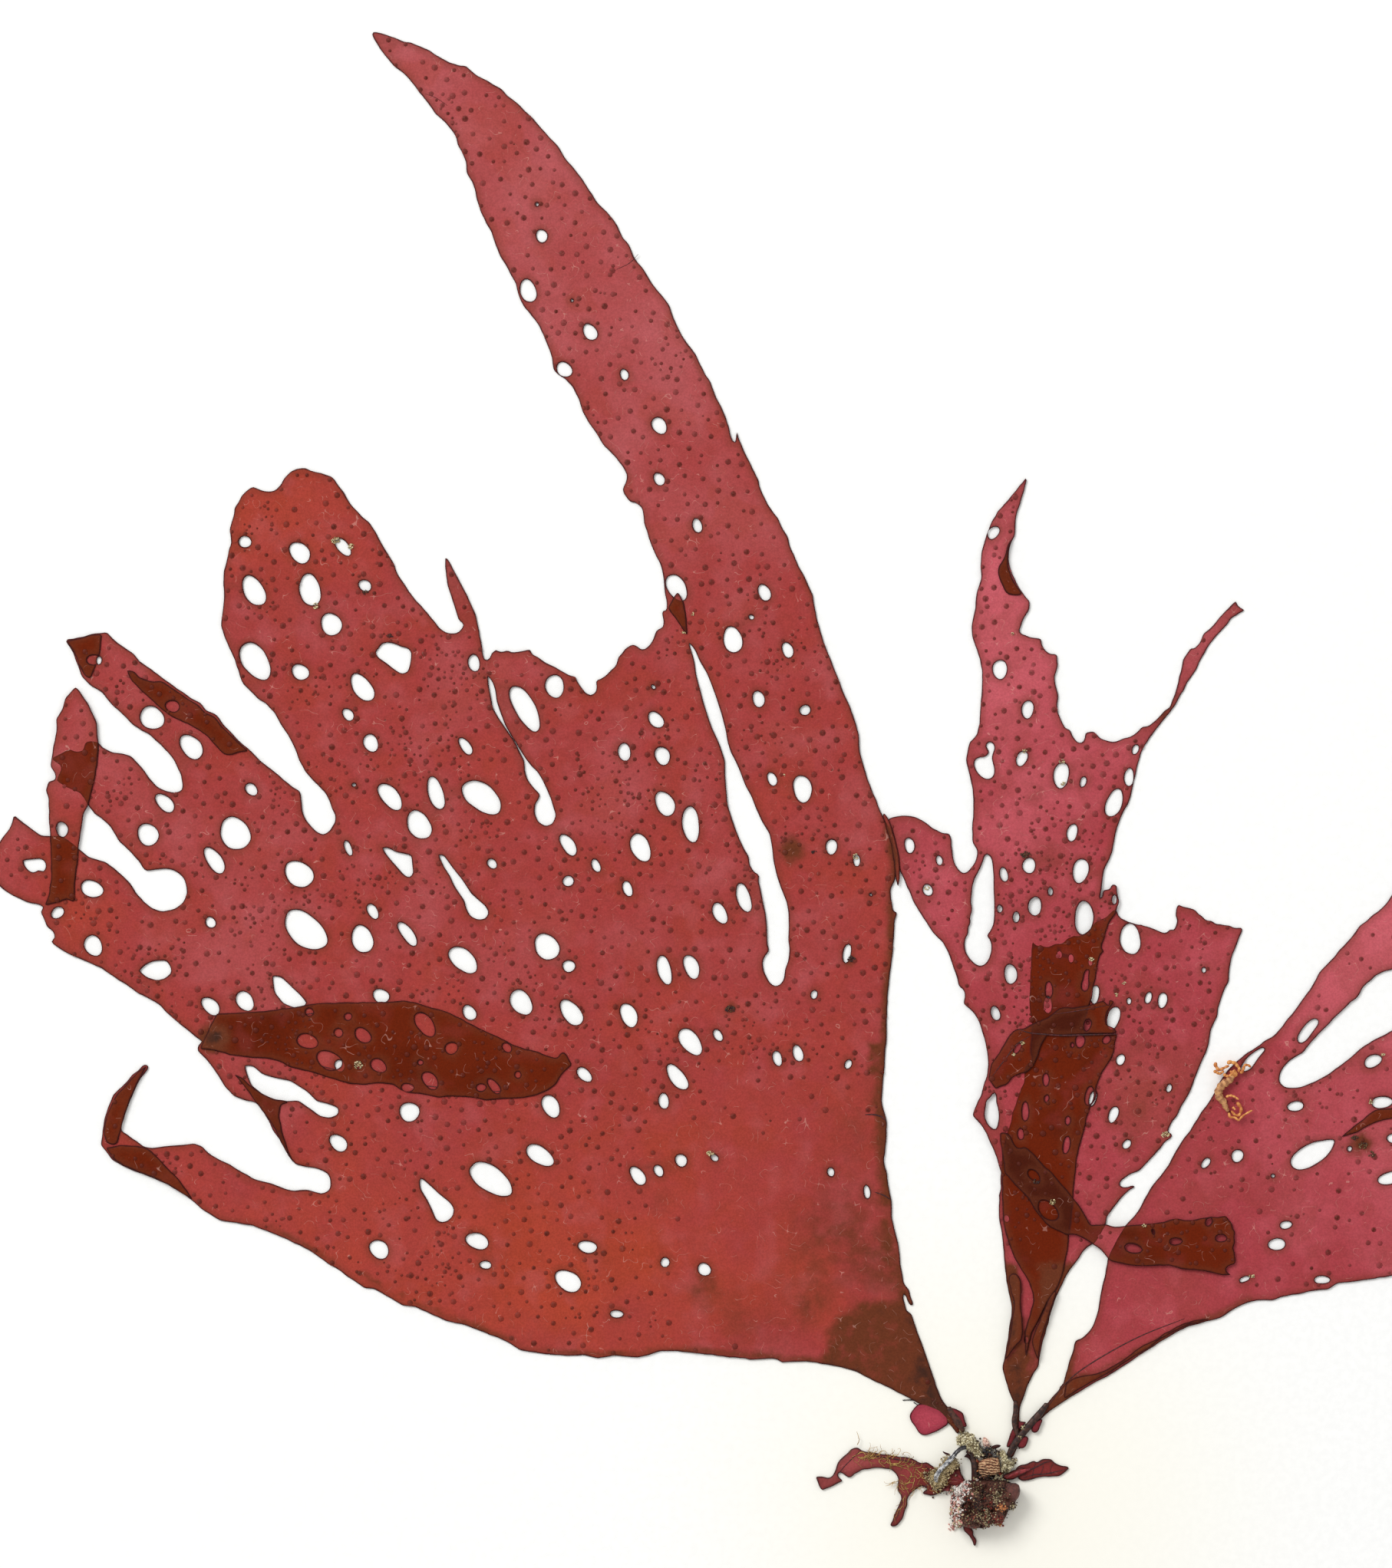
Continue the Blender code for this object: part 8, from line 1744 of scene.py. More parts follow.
@dataclass
class LeftFrond(Frond):
    """The widest frond, on the left: a big holed blade, its folded flaps and the young leaves below."""

    fold_lift: float = 0.34
    small_holes: tuple[Row, ...] = (
        (-97.7, 111.1, 0.8, 0.6, 0), (-51.3, 126.3, 0.9, 0.6, 130), (-137.2, 130.4, 1.4, 0.8, 80),
        (-63.9, 186.2, 0.5, 0.5, 0), (-69.3, 201.1, 0.6, 0.6, 0), (-17.6, 94.1, 0.5, 0.4, 0),
    )
    small_lens_holes: tuple[Row, ...] = (
        (-87.4, 68.1, 1, 0.8, 0), (-97, 67.7, 1.2, 1.2, 0), (-89.4, 64.2, 2, 1.3, 0),
        (-72.3, 66.2, 1, 1.2, 0), (-78, 64.2, 1.6, 1.2, 0), (-104.6, 75.9, 1.3, 1.3, 0),
    )
    strip_hole: Row = (-142.9, 104.2, 2.5, 1.7, 100)
    tip_hole: Row = (-138.1, 130.5, 2, 1.6, 0)
    margin_hole: Row = (-125.8, 123.3, 2.3, 1.7, 160)
    slot_strip: str = """-116.3 66.3  -115 65.8  -113.6 64.4  -112 63.3  -110 62.4  -107.8 62
        -109 61.6  -109.3 59.8  -108.7 57  -107.8 54.3  -107 52.4  -108.3 54.3  -110 57.8  -111.3 59.8
        -112.9 61.9  -114.3 63.9  -115.5 65.4"""
    lobe_tip: str = "-49.1 138.5 -48.2 140.2 -47.5 141.1 -46.5 139.3 -46.2 137 -46 134.2 -47.5 136.3"
    meeting: str = """-15.6 106.9  -14.9 106  -14.4 104.6  -13.9 103  -13.5 101.4  -13.2 99.8
        -13.1 98.3  -13.1 96.6  -13.4 95.2  -13.8 96.6  -14 98.4  -14.2 100  -14.5 101.8  -15 103.6
        -15.5 105.2  -15.9 106.3"""

    def sheets(self) -> None:
        """Works out the blade, the folds on it and the young leaves."""
        holes = tuple(oval(row, 0.35) for row in LEFT_OVALS + self.small_holes) + LEFT_CUTS
        self.blade = Sheet("left_blade", LEFT_OUTLINE, holes, grid=1.3, seed=11)
        lens = tuple(oval(row, 0.35) for row in LENS_OVALS + self.small_lens_holes)
        singles = {0: self.strip_hole, 2: self.tip_hole, 3: self.margin_hole}
        cut = {1: lens, **{key: (oval(row, 0.35),) for key, row in singles.items()}}
        flaps = [(flap, cut.get(i, ())) for i, flap in enumerate(LEFT_FLAPS)]
        flaps += [(pairs(self.slot_strip), ()), (pairs(self.lobe_tip), ()), (pairs(self.meeting), ())]
        self.folds = [
            Sheet(f"fold_{i}", flap, holes, self.fold_lift, 0.8, 0.35, seed=13 + i, lower=(self.blade,))
            for i, (flap, holes) in enumerate(flaps)
        ]
        self.tab = Sheet("rose_tab", ROSE_TAB, (), 0.02, 0.5, 0.22, 0.28, seed=21)
        self.leaf = Sheet("stipe_leaf", STIPE_LEAF, (), 0.34, 0.4, 0.2, 0.3, seed=22, lower=(self.blade,))

    def build(self) -> None:
        """Builds and places everything on the left frond."""
        self.sheets()
        self.laid([self.blade], "left_blade")
        self.laid(self.folds, "left_folds")
        bare = Frond(self.node, self.slot, CRIMSON, ((0, 14, 3, 0.2), (-4, 14.6, 1, -0.6)))
        bare.laid([self.leaf], "left_stipe_leaf")
        bare.laid([self.tab], "left_rose_tab", ROSE)
        self.warts([(self.blade, self.folds), *((fold, []) for fold in self.folds[:6])], "left_warts")
        self.crusted((self.blade, self.folds[1]), "left_crusts", CRUST)
        self.creased(self.blade, "left_creases")


@dataclass
class MiddleFrond(Frond):
    """The tall frond: a back blade, a front blade on it, and the flap and the long strip across both."""

    front_lift: float = 0.36
    cross_lift: float = 0.72

    def sheets(self, right: Sheet) -> None:
        """Works out the blades and folds; the long strip also crosses the right frond's blade."""
        holes = tuple(oval(row, 0.3) for row in MIDDLE_BACK_OVALS)
        self.back = Sheet("middle_back", MIDDLE_BACK, holes, grid=0.95, step=0.32, seed=31)
        holes = tuple(oval(row, 0.3) for row in MIDDLE_FRONT_OVALS) + MIDDLE_FRONT_CUTS
        self.front = Sheet(
            "middle_front", MIDDLE_FRONT, holes, self.front_lift, 0.95, 0.32,
            seed=33, ramp=True, lower=(self.back,),
        )
        cross = tuple(oval(row, 0.3) for row in CROSS_OVALS)
        strip = tuple(oval(row, 0.3) for row in DIAGONAL_OVALS)
        under = (self.front, self.back)
        self.cross = Sheet("cross_flap", CROSS_FLAP, cross, self.cross_lift, 0.7, 0.3, seed=35, lower=under)
        self.strip = Sheet(
            "diagonal_strip", DIAGONAL_STRIP, strip, self.cross_lift, 0.7, 0.3,
            seed=37, lower=(*under, right),
        )
        tip, *margins = MIDDLE_FLAPS
        tip_flap = Sheet("tip_flap", tip, (), 0.36, 0.6, 0.3, seed=39, lower=(self.front,))
        self.folds = [self.cross, self.strip, tip_flap]
        self.folds += [
            Sheet(f"margin_fold_{i}", flap, (), self.cross_lift, 0.6, 0.3, seed=41 + i, lower=(self.back,))
            for i, flap in enumerate(margins)
        ]
        self.leaves = [
            Sheet(f"joint_leaf_{i}", leaf, (), 0.3 + 0.12 * i, 0.4, 0.2, 0.3, seed=45 + i)
            for i, leaf in enumerate(JOINT_LEAVES)
        ]

    def build(self, right: Sheet) -> None:
        """Builds and places everything on the middle frond."""
        self.sheets(right)
        self.laid([self.back], "middle_back_blade")
        self.laid([self.front], "middle_front_blade")
        self.laid(self.folds, "middle_folds")
        Frond(self.node, self.slot, CRIMSON).laid(self.leaves, "middle_young_leaves")
        rows = [(self.back, [self.front, self.strip]), (self.front, self.folds[:2]), (self.cross, [])]
        self.warts([*rows, (self.strip, [])], "middle_warts")
        self.crusted((self.back, self.front, self.cross, self.strip), "middle_crusts", CRUST)
        self.creased(self.cross, "middle_creases")


@dataclass
class RightFrond(Frond):
    """The frond that leans to the right, with its folded lower margin and a leaf at its foot."""

    fold_lift: float = 0.34

    def sheets(self) -> None:
        """Works out the blade, its folds and the leaf."""
        holes = tuple(oval(row, 0.3) for row in RIGHT_OVALS) + RIGHT_CUTS
        self.blade = Sheet("right_blade", RIGHT_OUTLINE, holes, grid=1.1, step=0.36, seed=51)
        self.folds = [
            Sheet(f"right_fold_{i}", flap, (), self.fold_lift, 0.7, 0.3, seed=53 + i, lower=(self.blade,))
            for i, flap in enumerate(RIGHT_FLAPS)
        ]
        self.leaf = Sheet("right_leaf", RIGHT_LEAF, (), 0.4, 0.4, 0.2, 0.3, seed=57)

    def build(self) -> None:
        """Builds and places everything on the right frond."""
        self.laid([self.blade], "right_blade")
        self.laid(self.folds, "right_folds")
        Frond(self.node, self.slot, CRIMSON).laid([self.leaf], "right_leaf")
        self.warts([(self.blade, self.folds)], "right_warts")
        self.crusted((self.blade,), "right_crusts", CRUST)
        self.creased(self.blade, "right_creases")


# ---------------------------------------------------------------- bladelets, holdfast and what grows on it


@dataclass
class Bladelet(Frond):
    """A short young blade beside the holdfast, with wrinkles pressed into it and threads over it."""

    outline: np.ndarray = field(default_factory=lambda: FRILL)

    def build(self) -> None:
        """Builds the blade and its wrinkles."""
        sheet = Sheet(self.node, self.outline, (), 0.05, 0.4, 0.2, 0.3, 0.08, self.seed)
        self.laid([sheet], self.node + "_blade")
        self.creased(sheet, self.node + "_wrinkles")


@dataclass
class Tangle:
    """Fine threads matted along a line: each wanders from a random start, its turns adding up at random."""

    line: str
    count: int
    spread: float
    reach: tuple[float, float]
    thick: tuple[float, float]
    level: float
    seed: int
    turn: float = 0.55
    drift: float = 0.0

    def build(self) -> Piece:
        """Builds the threads.

        Returns:
            All threads as one piece.
        """
        random = np.random.default_rng(self.seed)
        route = threaded(pairs(self.line), 0.2)
        heading = np.unwrap(np.arctan2(*np.gradient(route, axis=0).T[::-1]))
        rows = []
        for _ in range(self.count):
            start = random.integers(0, len(route))
            steps = max(5, int(random.uniform(*self.reach) / 0.22))
            angle = heading[start] + random.normal(0.0, self.drift)
            angle = angle + np.cumsum(random.normal(0.0, self.turn, steps) * 0.5)
            x = route[start, 0] + random.normal(0.0, self.spread) + 0.22 * np.cumsum(np.cos(angle))
            y = route[start, 1] + random.normal(0.0, self.spread) + 0.22 * np.cumsum(np.sin(angle))
            lift = self.level + 0.12 * np.abs(np.cumsum(random.normal(0.0, 0.3, steps)) * 0.3)
            width = np.full(steps, random.uniform(*self.thick)) * np.linspace(1.0, 0.5, steps)
            path = np.column_stack([x, y, np.minimum(lift, self.level + 0.5)])
            rows.append(swept(path, width, width, random.random(), 5))
        return gathered(rows)


@dataclass
class Holdfast:
    """The clump that grips the ground: dark core, coloured grit, the scrap below and the stalk above."""

    node: str = "holdfast"
    height: float = 5.0
    zones: tuple[tuple[float, float, float, int, float, float, float], ...] = (
        (-4.0, 1.7, 0.9, 130, 0.0, 0.15, 0.23), (-3.2, 2.5, 0.7, 80, 0.0, 0.15, 0.23),
        (-4.4, 0.4, 0.9, 100, 0.02, 0.26, 0.21), (-4.6, -1.2, 0.9, 100, 0.0, 0.32, 0.22),
        (-4.3, -3.0, 0.7, 60, 0.0, 0.36, 0.22), (-3.6, 0.6, 1.0, 90, 0.5, 0.8, 0.16),
        (-1.6, 2.0, 1.2, 120, 0.36, 0.66, 0.13), (-0.6, 0.4, 1.4, 220, 0.5, 0.77, 0.2),
        (1.9, 1.4, 1.1, 170, 0.26, 0.48, 0.12), (2.2, 2.6, 0.9, 120, 0.45, 0.72, 0.14),
        (2.6, -0.6, 0.5, 26, 0.88, 0.99, 0.17), (0.7, -0.2, 0.5, 26, 0.78, 0.86, 0.17),
        (-0.3, -1.6, 1.3, 200, 0.26, 0.7, 0.13), (-2.6, -2.4, 1.2, 200, 0.36, 0.8, 0.14),
        (0.8, -2.8, 1.4, 200, 0.26, 0.86, 0.14), (2.0, -2.6, 0.7, 80, 0.76, 0.87, 0.14),
        (4.2, -0.5, 0.6, 50, 0.26, 0.7, 0.13), (0.0, 0.0, 3.4, 420, 0.4, 0.8, 0.12),
    )
    membrane: str = """-3.95 5.6 -3.7 4.8 -3.4 3.9 -2.9 3.2 -3.4 2.6 -4.4 2.4 -5.8 2.6 -6.4 3.6
        -5.4 4.4 -4.6 4.8"""
    leaflet: str = "0.9 8.5 1.4 8.85 2.1 8.95 2.7 8.8 2.3 8.5 1.6 8.2 1.1 8.2"
    foot: str = "2.8 4 3.6 4.6 4.6 5 5.8 5.5 6.6 4.6 5.2 3.8 4 3.4 3 3.5"
    smooth_patch: str = "3 3.1 4.3 3.1 5.3 2.9 5.5 2 5.3 1 4.7 0.2 4 0.3 3.4 1.1 2.9 2.1"

    def build(self) -> None:
        """Builds and places the clump, its grit and the two weed scraps."""
        core = Clump(HOLDFAST, 0.0, self.height, 0.3, 1.3, 60)
        core.build().place("holdfast_core", CORE.material(), "holdfast", (self.node,))
        random = np.random.default_rng(61)
        rows = np.array(self.zones, float)
        which = np.repeat(np.arange(len(rows)), rows[:, 3].astype(int))
        spots = rows[which, :2] + random.normal(0.0, 0.6, (len(which), 2)) * rows[which, 2:3]
        spots = core.dropped(spots)
        tones = random.uniform(rows[which, 4], rows[which, 5])
        sizes = rows[which, 6] * random.uniform(0.5, 1.25, len(which))
        grit = grains(spots, sizes, tones, 63)
        grit.points[:, 2] = np.clip(grit.points[:, 2], 0.0, 5.9)
        grit.place("holdfast_grit", GRIT.material(), "holdfast")
        patch = Clump(pairs(self.smooth_patch), 2.2, 2.75, 0.06, 1.2, 66, 16)
        patch.build().place("holdfast_smooth_patch", SMOOTH.material(), "holdfast")
        self.scraps()

    def scraps(self) -> None:
        """Builds the red scrap below the clump, the bare stalk above it and the small leaves beside it."""
        piece = gathered([Sheet("scrap", SCRAP, (), 0.05, 0.4, 0.2, 0.5, 0.14, 64).build()])
        piece.fill(cast=0.2, stain=0.15)
        piece.place("holdfast_scrap", YOUNG.sheet(), "holdfast", (self.node,))
        leaflets = [
            Sheet("stalk", STALK, (), 0.3, 0.4, 0.2, 0.6, 0.06, 65),
            Sheet("leaflet", pairs(self.leaflet), (), 0.8, 0.3, 0.15, 0.4, 0.03, 67),
            Sheet("tip", RED_TIP, (), 0.9, 0.3, 0.15, 0.3, 0.05, 68),
            Sheet("membrane", pairs(self.membrane), (), 0.25, 0.3, 0.18, 0.3, 0.1, 69),
            Sheet("foot", pairs(self.foot), (), 0.5, 0.3, 0.18, 0.3, 0.1, 71),
        ]
        piece = gathered([sheet.build() for sheet in leaflets])
        piece.fill(cast=-0.3)
        x, y = piece.points[:, 0], piece.points[:, 1]
        dark = (x > -3.3) & (x < 2.75) & ((x > 0.0) | (y > 3.8))
        piece.on_points["stain"] = np.where(dark, 1.7, 0.0)
        piece.place("holdfast_leaflets", YOUNG.sheet(), "holdfast", (self.node,))


@dataclass
class GrainClump:
    """A lobe of sand held together: a mound set close with grains, some strayed over its edge."""

    node: str
    outline: np.ndarray
    height: float
    slot: str = "sand"
    count: int = 420
    size: tuple[float, float] = (0.14, 0.24)
    low: float = 0.0
    stray: float = 0.12
    seed: int = 70

    def build(self, core: GrainFinish, grit: GrainFinish) -> None:
        """Builds and places the mound and its grains."""
        mound = Clump(self.outline, self.low, self.height * 0.88, 0.3, 0.7, self.seed, 24)
        mound.build().place(self.node + "_core", core.material(), self.slot, (self.node,))
        random = np.random.default_rng(self.seed + 1)
        spots = mound.spots(self.count, self.seed + 2)
        spots[:, :2] += random.normal(0.0, self.stray, (self.count, 2))
        sizes = random.uniform(*self.size, self.count)
        piece = grains(spots, sizes, random.random(self.count), self.seed + 3, 0.9)
        piece.points[:, 2] = np.maximum(piece.points[:, 2], self.low)
        piece.place(self.node + "_grains", grit.material(), self.slot)


@dataclass
class Crumbs:
    """Loose grit that fills the chinks where stipes, sand lobes, plate and holdfast meet."""

    zones: tuple[tuple[float, float, float, int, float, float, float, float], ...] = (
        (-0.3, 7.4, 0.5, 60, 0.26, 0.74, 0.17, 1.4), (0.8, 7.3, 0.35, 40, 0.5, 0.74, 0.18, 1.7),
        (-1.3, 9.1, 0.4, 44, 0.26, 0.74, 0.16, 1.2), (0.6, 8.0, 0.6, 60, 0.26, 0.7, 0.15, 1.1),
        (-3.6, 11.1, 0.35, 40, 0.26, 0.62, 0.14, 0.8), (2.3, 7.4, 0.5, 50, 0.26, 0.62, 0.15, 1.6),
        (0.2, 3.6, 0.6, 70, 0.5, 0.74, 0.17, 2.2), (2.2, 3.5, 0.8, 90, 0.26, 0.74, 0.17, 2.4),
        (3.7, 4.2, 0.4, 36, 0.3, 0.74, 0.15, 0.8), (4.4, 6.3, 0.4, 30, 0.26, 0.62, 0.15, 0.9),
        (5.5, 10.0, 0.4, 50, 0.26, 0.62, 0.15, 1.5), (6.0, 11.6, 0.35, 46, 0.26, 0.5, 0.14, 1.5),
        (4.6, 8.7, 0.4, 40, 0.5, 0.74, 0.14, 1.3), (-5.2, 1.9, 0.5, 40, 0.02, 0.5, 0.16, 1.4),
        (-7.3, 2.0, 0.8, 60, 0.26, 0.74, 0.13, 1.5), (-9.0, 4.2, 0.6, 50, 0.26, 0.62, 0.12, 1.3),
        (-4.4, 4.2, 0.4, 30, 0.26, 0.86, 0.13, 1.2), (-1.2, 3.4, 0.5, 40, 0.02, 0.74, 0.18, 2.0),
        (-5.0, -3.9, 0.4, 22, 0.02, 0.24, 0.2, 0.5), (2.3, -3.4, 0.3, 24, 0.8, 0.99, 0.15, 0.7),
        (0.6, -3.5, 0.35, 24, 0.26, 0.86, 0.15, 0.6), (-0.9, 3.8, 0.3, 40, 0.5, 0.74, 0.16, 1.2),
        (4.4, -0.9, 0.25, 18, 0.26, 0.62, 0.13, 0.7), (-1.2, 6.3, 0.25, 26, 0.84, 0.99, 0.12, 1.6),
        (-1.1, 4.9, 0.25, 26, 0.84, 0.99, 0.12, 1.5), (0.1, 3.9, 0.4, 34, 0.84, 0.99, 0.12, 1.7),
        (2.4, 4.4, 0.35, 30, 0.7, 0.99, 0.12, 1.6),
    )

    def build(self) -> None:
        """Builds and places the grit, each heap normally spread about its middle and lower away from it."""
        random = np.random.default_rng(87)
        rows = np.array(self.zones, float)
        rows = rows[np.repeat(np.arange(len(rows)), rows[:, 3].astype(int))]
        away = random.normal(0.0, 0.75, (len(rows), 2))
        rise = rows[:, 7] * np.exp(-np.sum(away**2, axis=1) / 2.0) * random.uniform(0.3, 1.0, len(rows))
        sizes = rows[:, 6] * random.uniform(0.5, 1.3, len(rows))
        centres = np.column_stack([rows[:, :2] + away * rows[:, 2:3], np.maximum(rise, sizes)])
        piece = grains(centres, sizes, random.uniform(rows[:, 4], rows[:, 5]), 88)
        piece.points[:, 2] = np.maximum(piece.points[:, 2], 0.0)
        piece.place("base_crumbs", GRIT.material(), "sand")


@dataclass
class Strands:
    """Listed strands of one finish: each a line with its half width and its height over the paper."""

    name: str
    slot: str
    rows: Lines

    def build(self, finish: StrandFinish) -> None:
        """Builds and places the strands, which taper at both ends."""
        pieces = []
        for i, (text, wide, level) in enumerate(self.rows):
            line = threaded(pairs(text), 0.12)
            share = np.linspace(0.0, 1.0, len(line))
            width = wide * (0.55 + 0.45 * np.sin(math.pi * share)) * (1.0 + 0.1 * np.sin(9.0 * share + i))
            height = np.minimum(0.6 * width, level)
            pieces.append(swept(raised(line, level), width, height, (0.37 * i) % 1.0, 9))
        gathered(pieces).place(self.name, finish.material(), self.slot)


@dataclass
class Tuft:
    """A tuft of fibres laid side by side along one curve, each over its own stretch of it."""

    route: str = "-2.9 8.6 -3.7 8.4 -4.4 7.8 -5 7.1 -5.7 6.3 -6.4 5.6 -7 4.9 -7.4 4.3 -7.5 3.7 -7.2 3.2"
    count: int = 54
    half: float = 0.3
    level: float = 2.15

    def build(self) -> None:
        """Builds and places the fibres: pale with grey, partly painted shade, and black ones at the upper
        end.
        """
        random = np.random.default_rng(95)
        line = threaded(pairs(self.route), 0.14)
        tangent = np.gradient(line, axis=0)
        side = np.column_stack([-tangent[:, 1], tangent[:, 0]]) / np.linalg.norm(tangent, axis=1)[:, None]
        pale, dark = [], []
        for i in range(self.count):
            black = i % 4 == 0
            if black:
                start, end = 0, random.integers(len(line) // 4, len(line) // 2)
            else:
                start, end = random.integers(4, len(line) // 2), len(line) - random.integers(0, 12)
            shift = random.uniform(-self.half, self.half) + 0.05 * np.sin(np.arange(start, end) * 0.22 + i)
            level = self.level + 0.25 * math.sqrt(max(0.0, 1.0 - (shift[0] / self.half) ** 2))
            path = raised(line[start:end] + side[start:end] * shift[:, None], level)
            taper = 0.6 + 0.4 * np.sin(np.linspace(0.1, 3.0, end - start))
            width = np.full(end - start, random.uniform(0.04, 0.08)) * taper
            (dark if black else pale).append(swept(path, width, width, random.random(), 5))
        gathered(pale).place("sponge_fibres", FIBRE.material(), "sponge")
        gathered(dark).place("sponge_dark_fibres", DARK_FIBRE.material(), "sponge")


@dataclass
class ShellPlate:
    """A worn barnacle plate or chip: a low mound whose top is crossed by fine even ridges."""

    node: str
    outline: np.ndarray
    height: float
    pitch: float
    depth: float
    seed: int

    def build(self, finish: GrainFinish) -> None:
        """Builds and places the plate; its ridges follow a sine of y over the pitch, bent by noise."""
        middle = self.outline.mean(axis=0)
        wider = middle + 1.06 * (self.outline - middle)
        plate = Clump(wider, 0.0, self.height, 0.08, 0.8, self.seed, 44, 0.1, 0.4, 0.16)
        plate = plate.build()
        spots = plate.points
        bend = 0.9 * lattice_noise(spots, 1.1, self.seed + 1)
        bend += 0.8 * lattice_noise(spots, 0.35, self.seed + 2)
        ridge = np.sin(2.0 * math.pi * (spots[:, 1] + 0.12 * spots[:, 0]) / self.pitch + 1.6 * bend)
        rise = smoothed(0.25, 0.5, plate.on_points["rise"])
        broken = np.clip(0.7 + 0.8 * lattice_noise(spots, 0.5, self.seed + 3), 0.0, 1.0)
        plate.points[:, 2] += self.depth * (ridge - 1.0) * rise * broken
        speck = 0.3 * lattice_noise(spots, 0.16, self.seed + 4)
        # Tone follows the ridges: partly the plate's own bands, partly painted groove shade and crest
        # highlight.
        plate.on_points["tone"] = np.clip(0.5 + 0.6 * ridge * broken + speck, 0.0, 0.99)
        plate.place(self.node + "_shell", finish.material(), "shell", (self.node,))


@dataclass
class Shrimp:
    """The small dried shrimp on the right frond's margin: a banded body with thin orange limbs."""

    node: str = "dried_shrimp"
    level: float = 1.35
    fine_limbs: tuple[tuple[str, float], ...] = (
        ("35.9 68 35.7 67.8 35.9 67.4 36.2 67 36.7 67.1 37.3 67.4 37.8 67.6", 0.22),
        ("35.5 66.8 35.9 66.6 36.3 66.4 36.6 66.5 37 66.8", 0.2),
        ("37.6 68 38 68.2 38.4 68.1 38.8 68 39.1 67.6 39.4 67.2 39.3 66.7", 0.24),
        ("39.6 66.5 39.9 66.8 40.1 67.3 40.3 67.7 40.8 67.7 41.2 67.4", 0.2),
        ("37 66.3 37.5 66 38 66.1 38.2 66.5 38 66.8", 0.2), ("37.4 62.8 38 63 38.7 62.8 39.3 62.4", 0.16),
        ("39.1 61.9 39.6 61.2 39.7 60.7 39.4 60 38.8 60 38.2 60.6", 0.22),
        ("37.8 60.3 38 59.7 38.7 59.6 39.3 59.2 39.7 59.6 40.3 60.1 41.4 60.7", 0.16),
        ("38.4 61.2 38.8 60.8", 0.16), ("38.3 66.6 38.6 66.4 39 66.1", 0.5),
    )

    def build(self) -> None:
        """Builds the body and the limbs as tapered strands."""
        limbs = []
        radius, path = SHRIMP_BODY_LINE
        line = raised(threaded(path, 0.1), self.level)
        along = np.linspace(0.0, 1.0, len(line))
        rings = 1.0 + 0.12 * np.cos(along * 2.0 * math.pi * 8.0)
        width = (radius + 0.08) * np.sin(math.pi * (0.15 + 0.8 * along)) ** 0.5 * rings
        body = swept(line, width, 0.8 * width, 0.5, 12)
        body.place("shrimp_body", SHRIMP_BODY.material(), "shrimp", (self.node,))
        for i, (text, radius) in enumerate(self.fine_limbs):
            line = threaded(pairs(text), 0.1)
            line = np.column_stack([line, self.level + 0.06 * (i % 3) + 0.05 * np.sin(3.0 * line[:, 0])])
            along = np.linspace(0.0, 1.0, len(line))
            joints = 0.75 + 0.3 * np.abs(np.sin(along * math.pi * 4.0))
            width = 1.35 * radius * joints * (1.0 - 0.35 * along)
            limbs.append(swept(line, width, width, (0.37 * i) % 1.0))
        gathered(limbs).place("shrimp_limbs", SHRIMP_LIMB.material(), "shrimp", (self.node,))


# ---------------------------------------------------------------- stage


@dataclass
class Stage:
    """Paper, soft light from the upper left and the camera straight above, as in a flatbed scan."""

    middle: tuple[float, float] = (-44.7, 111.25)
    tall: float = 243.1
    lens: float = 200.0
    key_power: float = 22.0
    sky: float = 0.67

    def build(self) -> None:
        """Makes the floor, the lights and the camera."""
        self.floor()
        self.lights()
        self.camera()

    def floor(self) -> None:
        """Lays near-white paper just under the plant, with a faint grain and a cream cast near the foot."""
        corners = np.array([(-1, -1), (1, -1), (1, 1), (-1, 1)], float) * PAPER_HALF
        mesh = bpy.data.meshes.new("paper")
        mesh.from_pydata([(x, y, -PAPER_DROP) for x, y in corners.tolist()], [], [(0, 1, 2, 3)])
        material, nodes, shader = fresh_material("Paper")
        where = nodes.where()
        grain = nodes.step(nodes.noise(where, 900.0, 3.0), 0.3, 0.7)
        tint = nodes.mix(grain, linear(250, 250, 249), linear(254, 254, 253))
        far = nodes.add("ShaderNodeVectorMath", {0: where}, operation="LENGTH").outputs["Value"]
        tint = nodes.mix(nodes.step(far, 0.01, 0.06, 0.8, 0.0), tint, linear(252, 249, 236))
        nodes.feed(shader, {"Base Color": tint, "Roughness": 0.9, "Specular IOR Level": 0.1})
        mesh.materials.append(material)
        floor = bpy.data.objects.new("paper", mesh)
        bpy.context.scene.collection.objects.link(floor)

    def lights(self) -> None:
        """Adds an even sky and one wide soft lamp up and to the left."""
        world = bpy.data.worlds.new("Soft light")
        bpy.context.scene.world = world
        world.use_nodes = True
        world.node_tree.nodes["Background"].inputs[0].default_value = (1.0, 0.998, 0.99, 1.0)
        world.node_tree.nodes["Background"].inputs[1].default_value = self.sky
        data = bpy.data.lights.new("Wide lamp", "AREA")
        data.shape = "SQUARE"
        data.size = 0.9
        data.energy = self.key_power
        lamp = bpy.data.objects.new("Wide lamp", data)
        bpy.context.scene.collection.objects.link(lamp)
        lamp.location = (-0.95, 1.05, 1.5)
        target = Vector((self.middle[0] * MM, self.middle[1] * MM, 0.0))
        lamp.rotation_euler = (target - lamp.location).to_track_quat("-Z", "Y").to_euler()

    def camera(self) -> None:
        """Sets the camera so that the photograph fills it: distance is tall times lens over sensor."""
        data = bpy.data.cameras.new("Camera")
        data.sensor_fit = "VERTICAL"
        data.sensor_height = SENSOR
        data.lens = self.lens
        data.clip_end = 10.0
        camera = bpy.data.objects.new("Camera", data)
        bpy.context.scene.collection.objects.link(camera)
        x, y = self.middle
        camera.location = (x * MM, y * MM, self.tall * MM * self.lens / SENSOR)
        bpy.context.scene.camera = camera
        bpy.context.scene.view_settings.view_transform = "Standard"


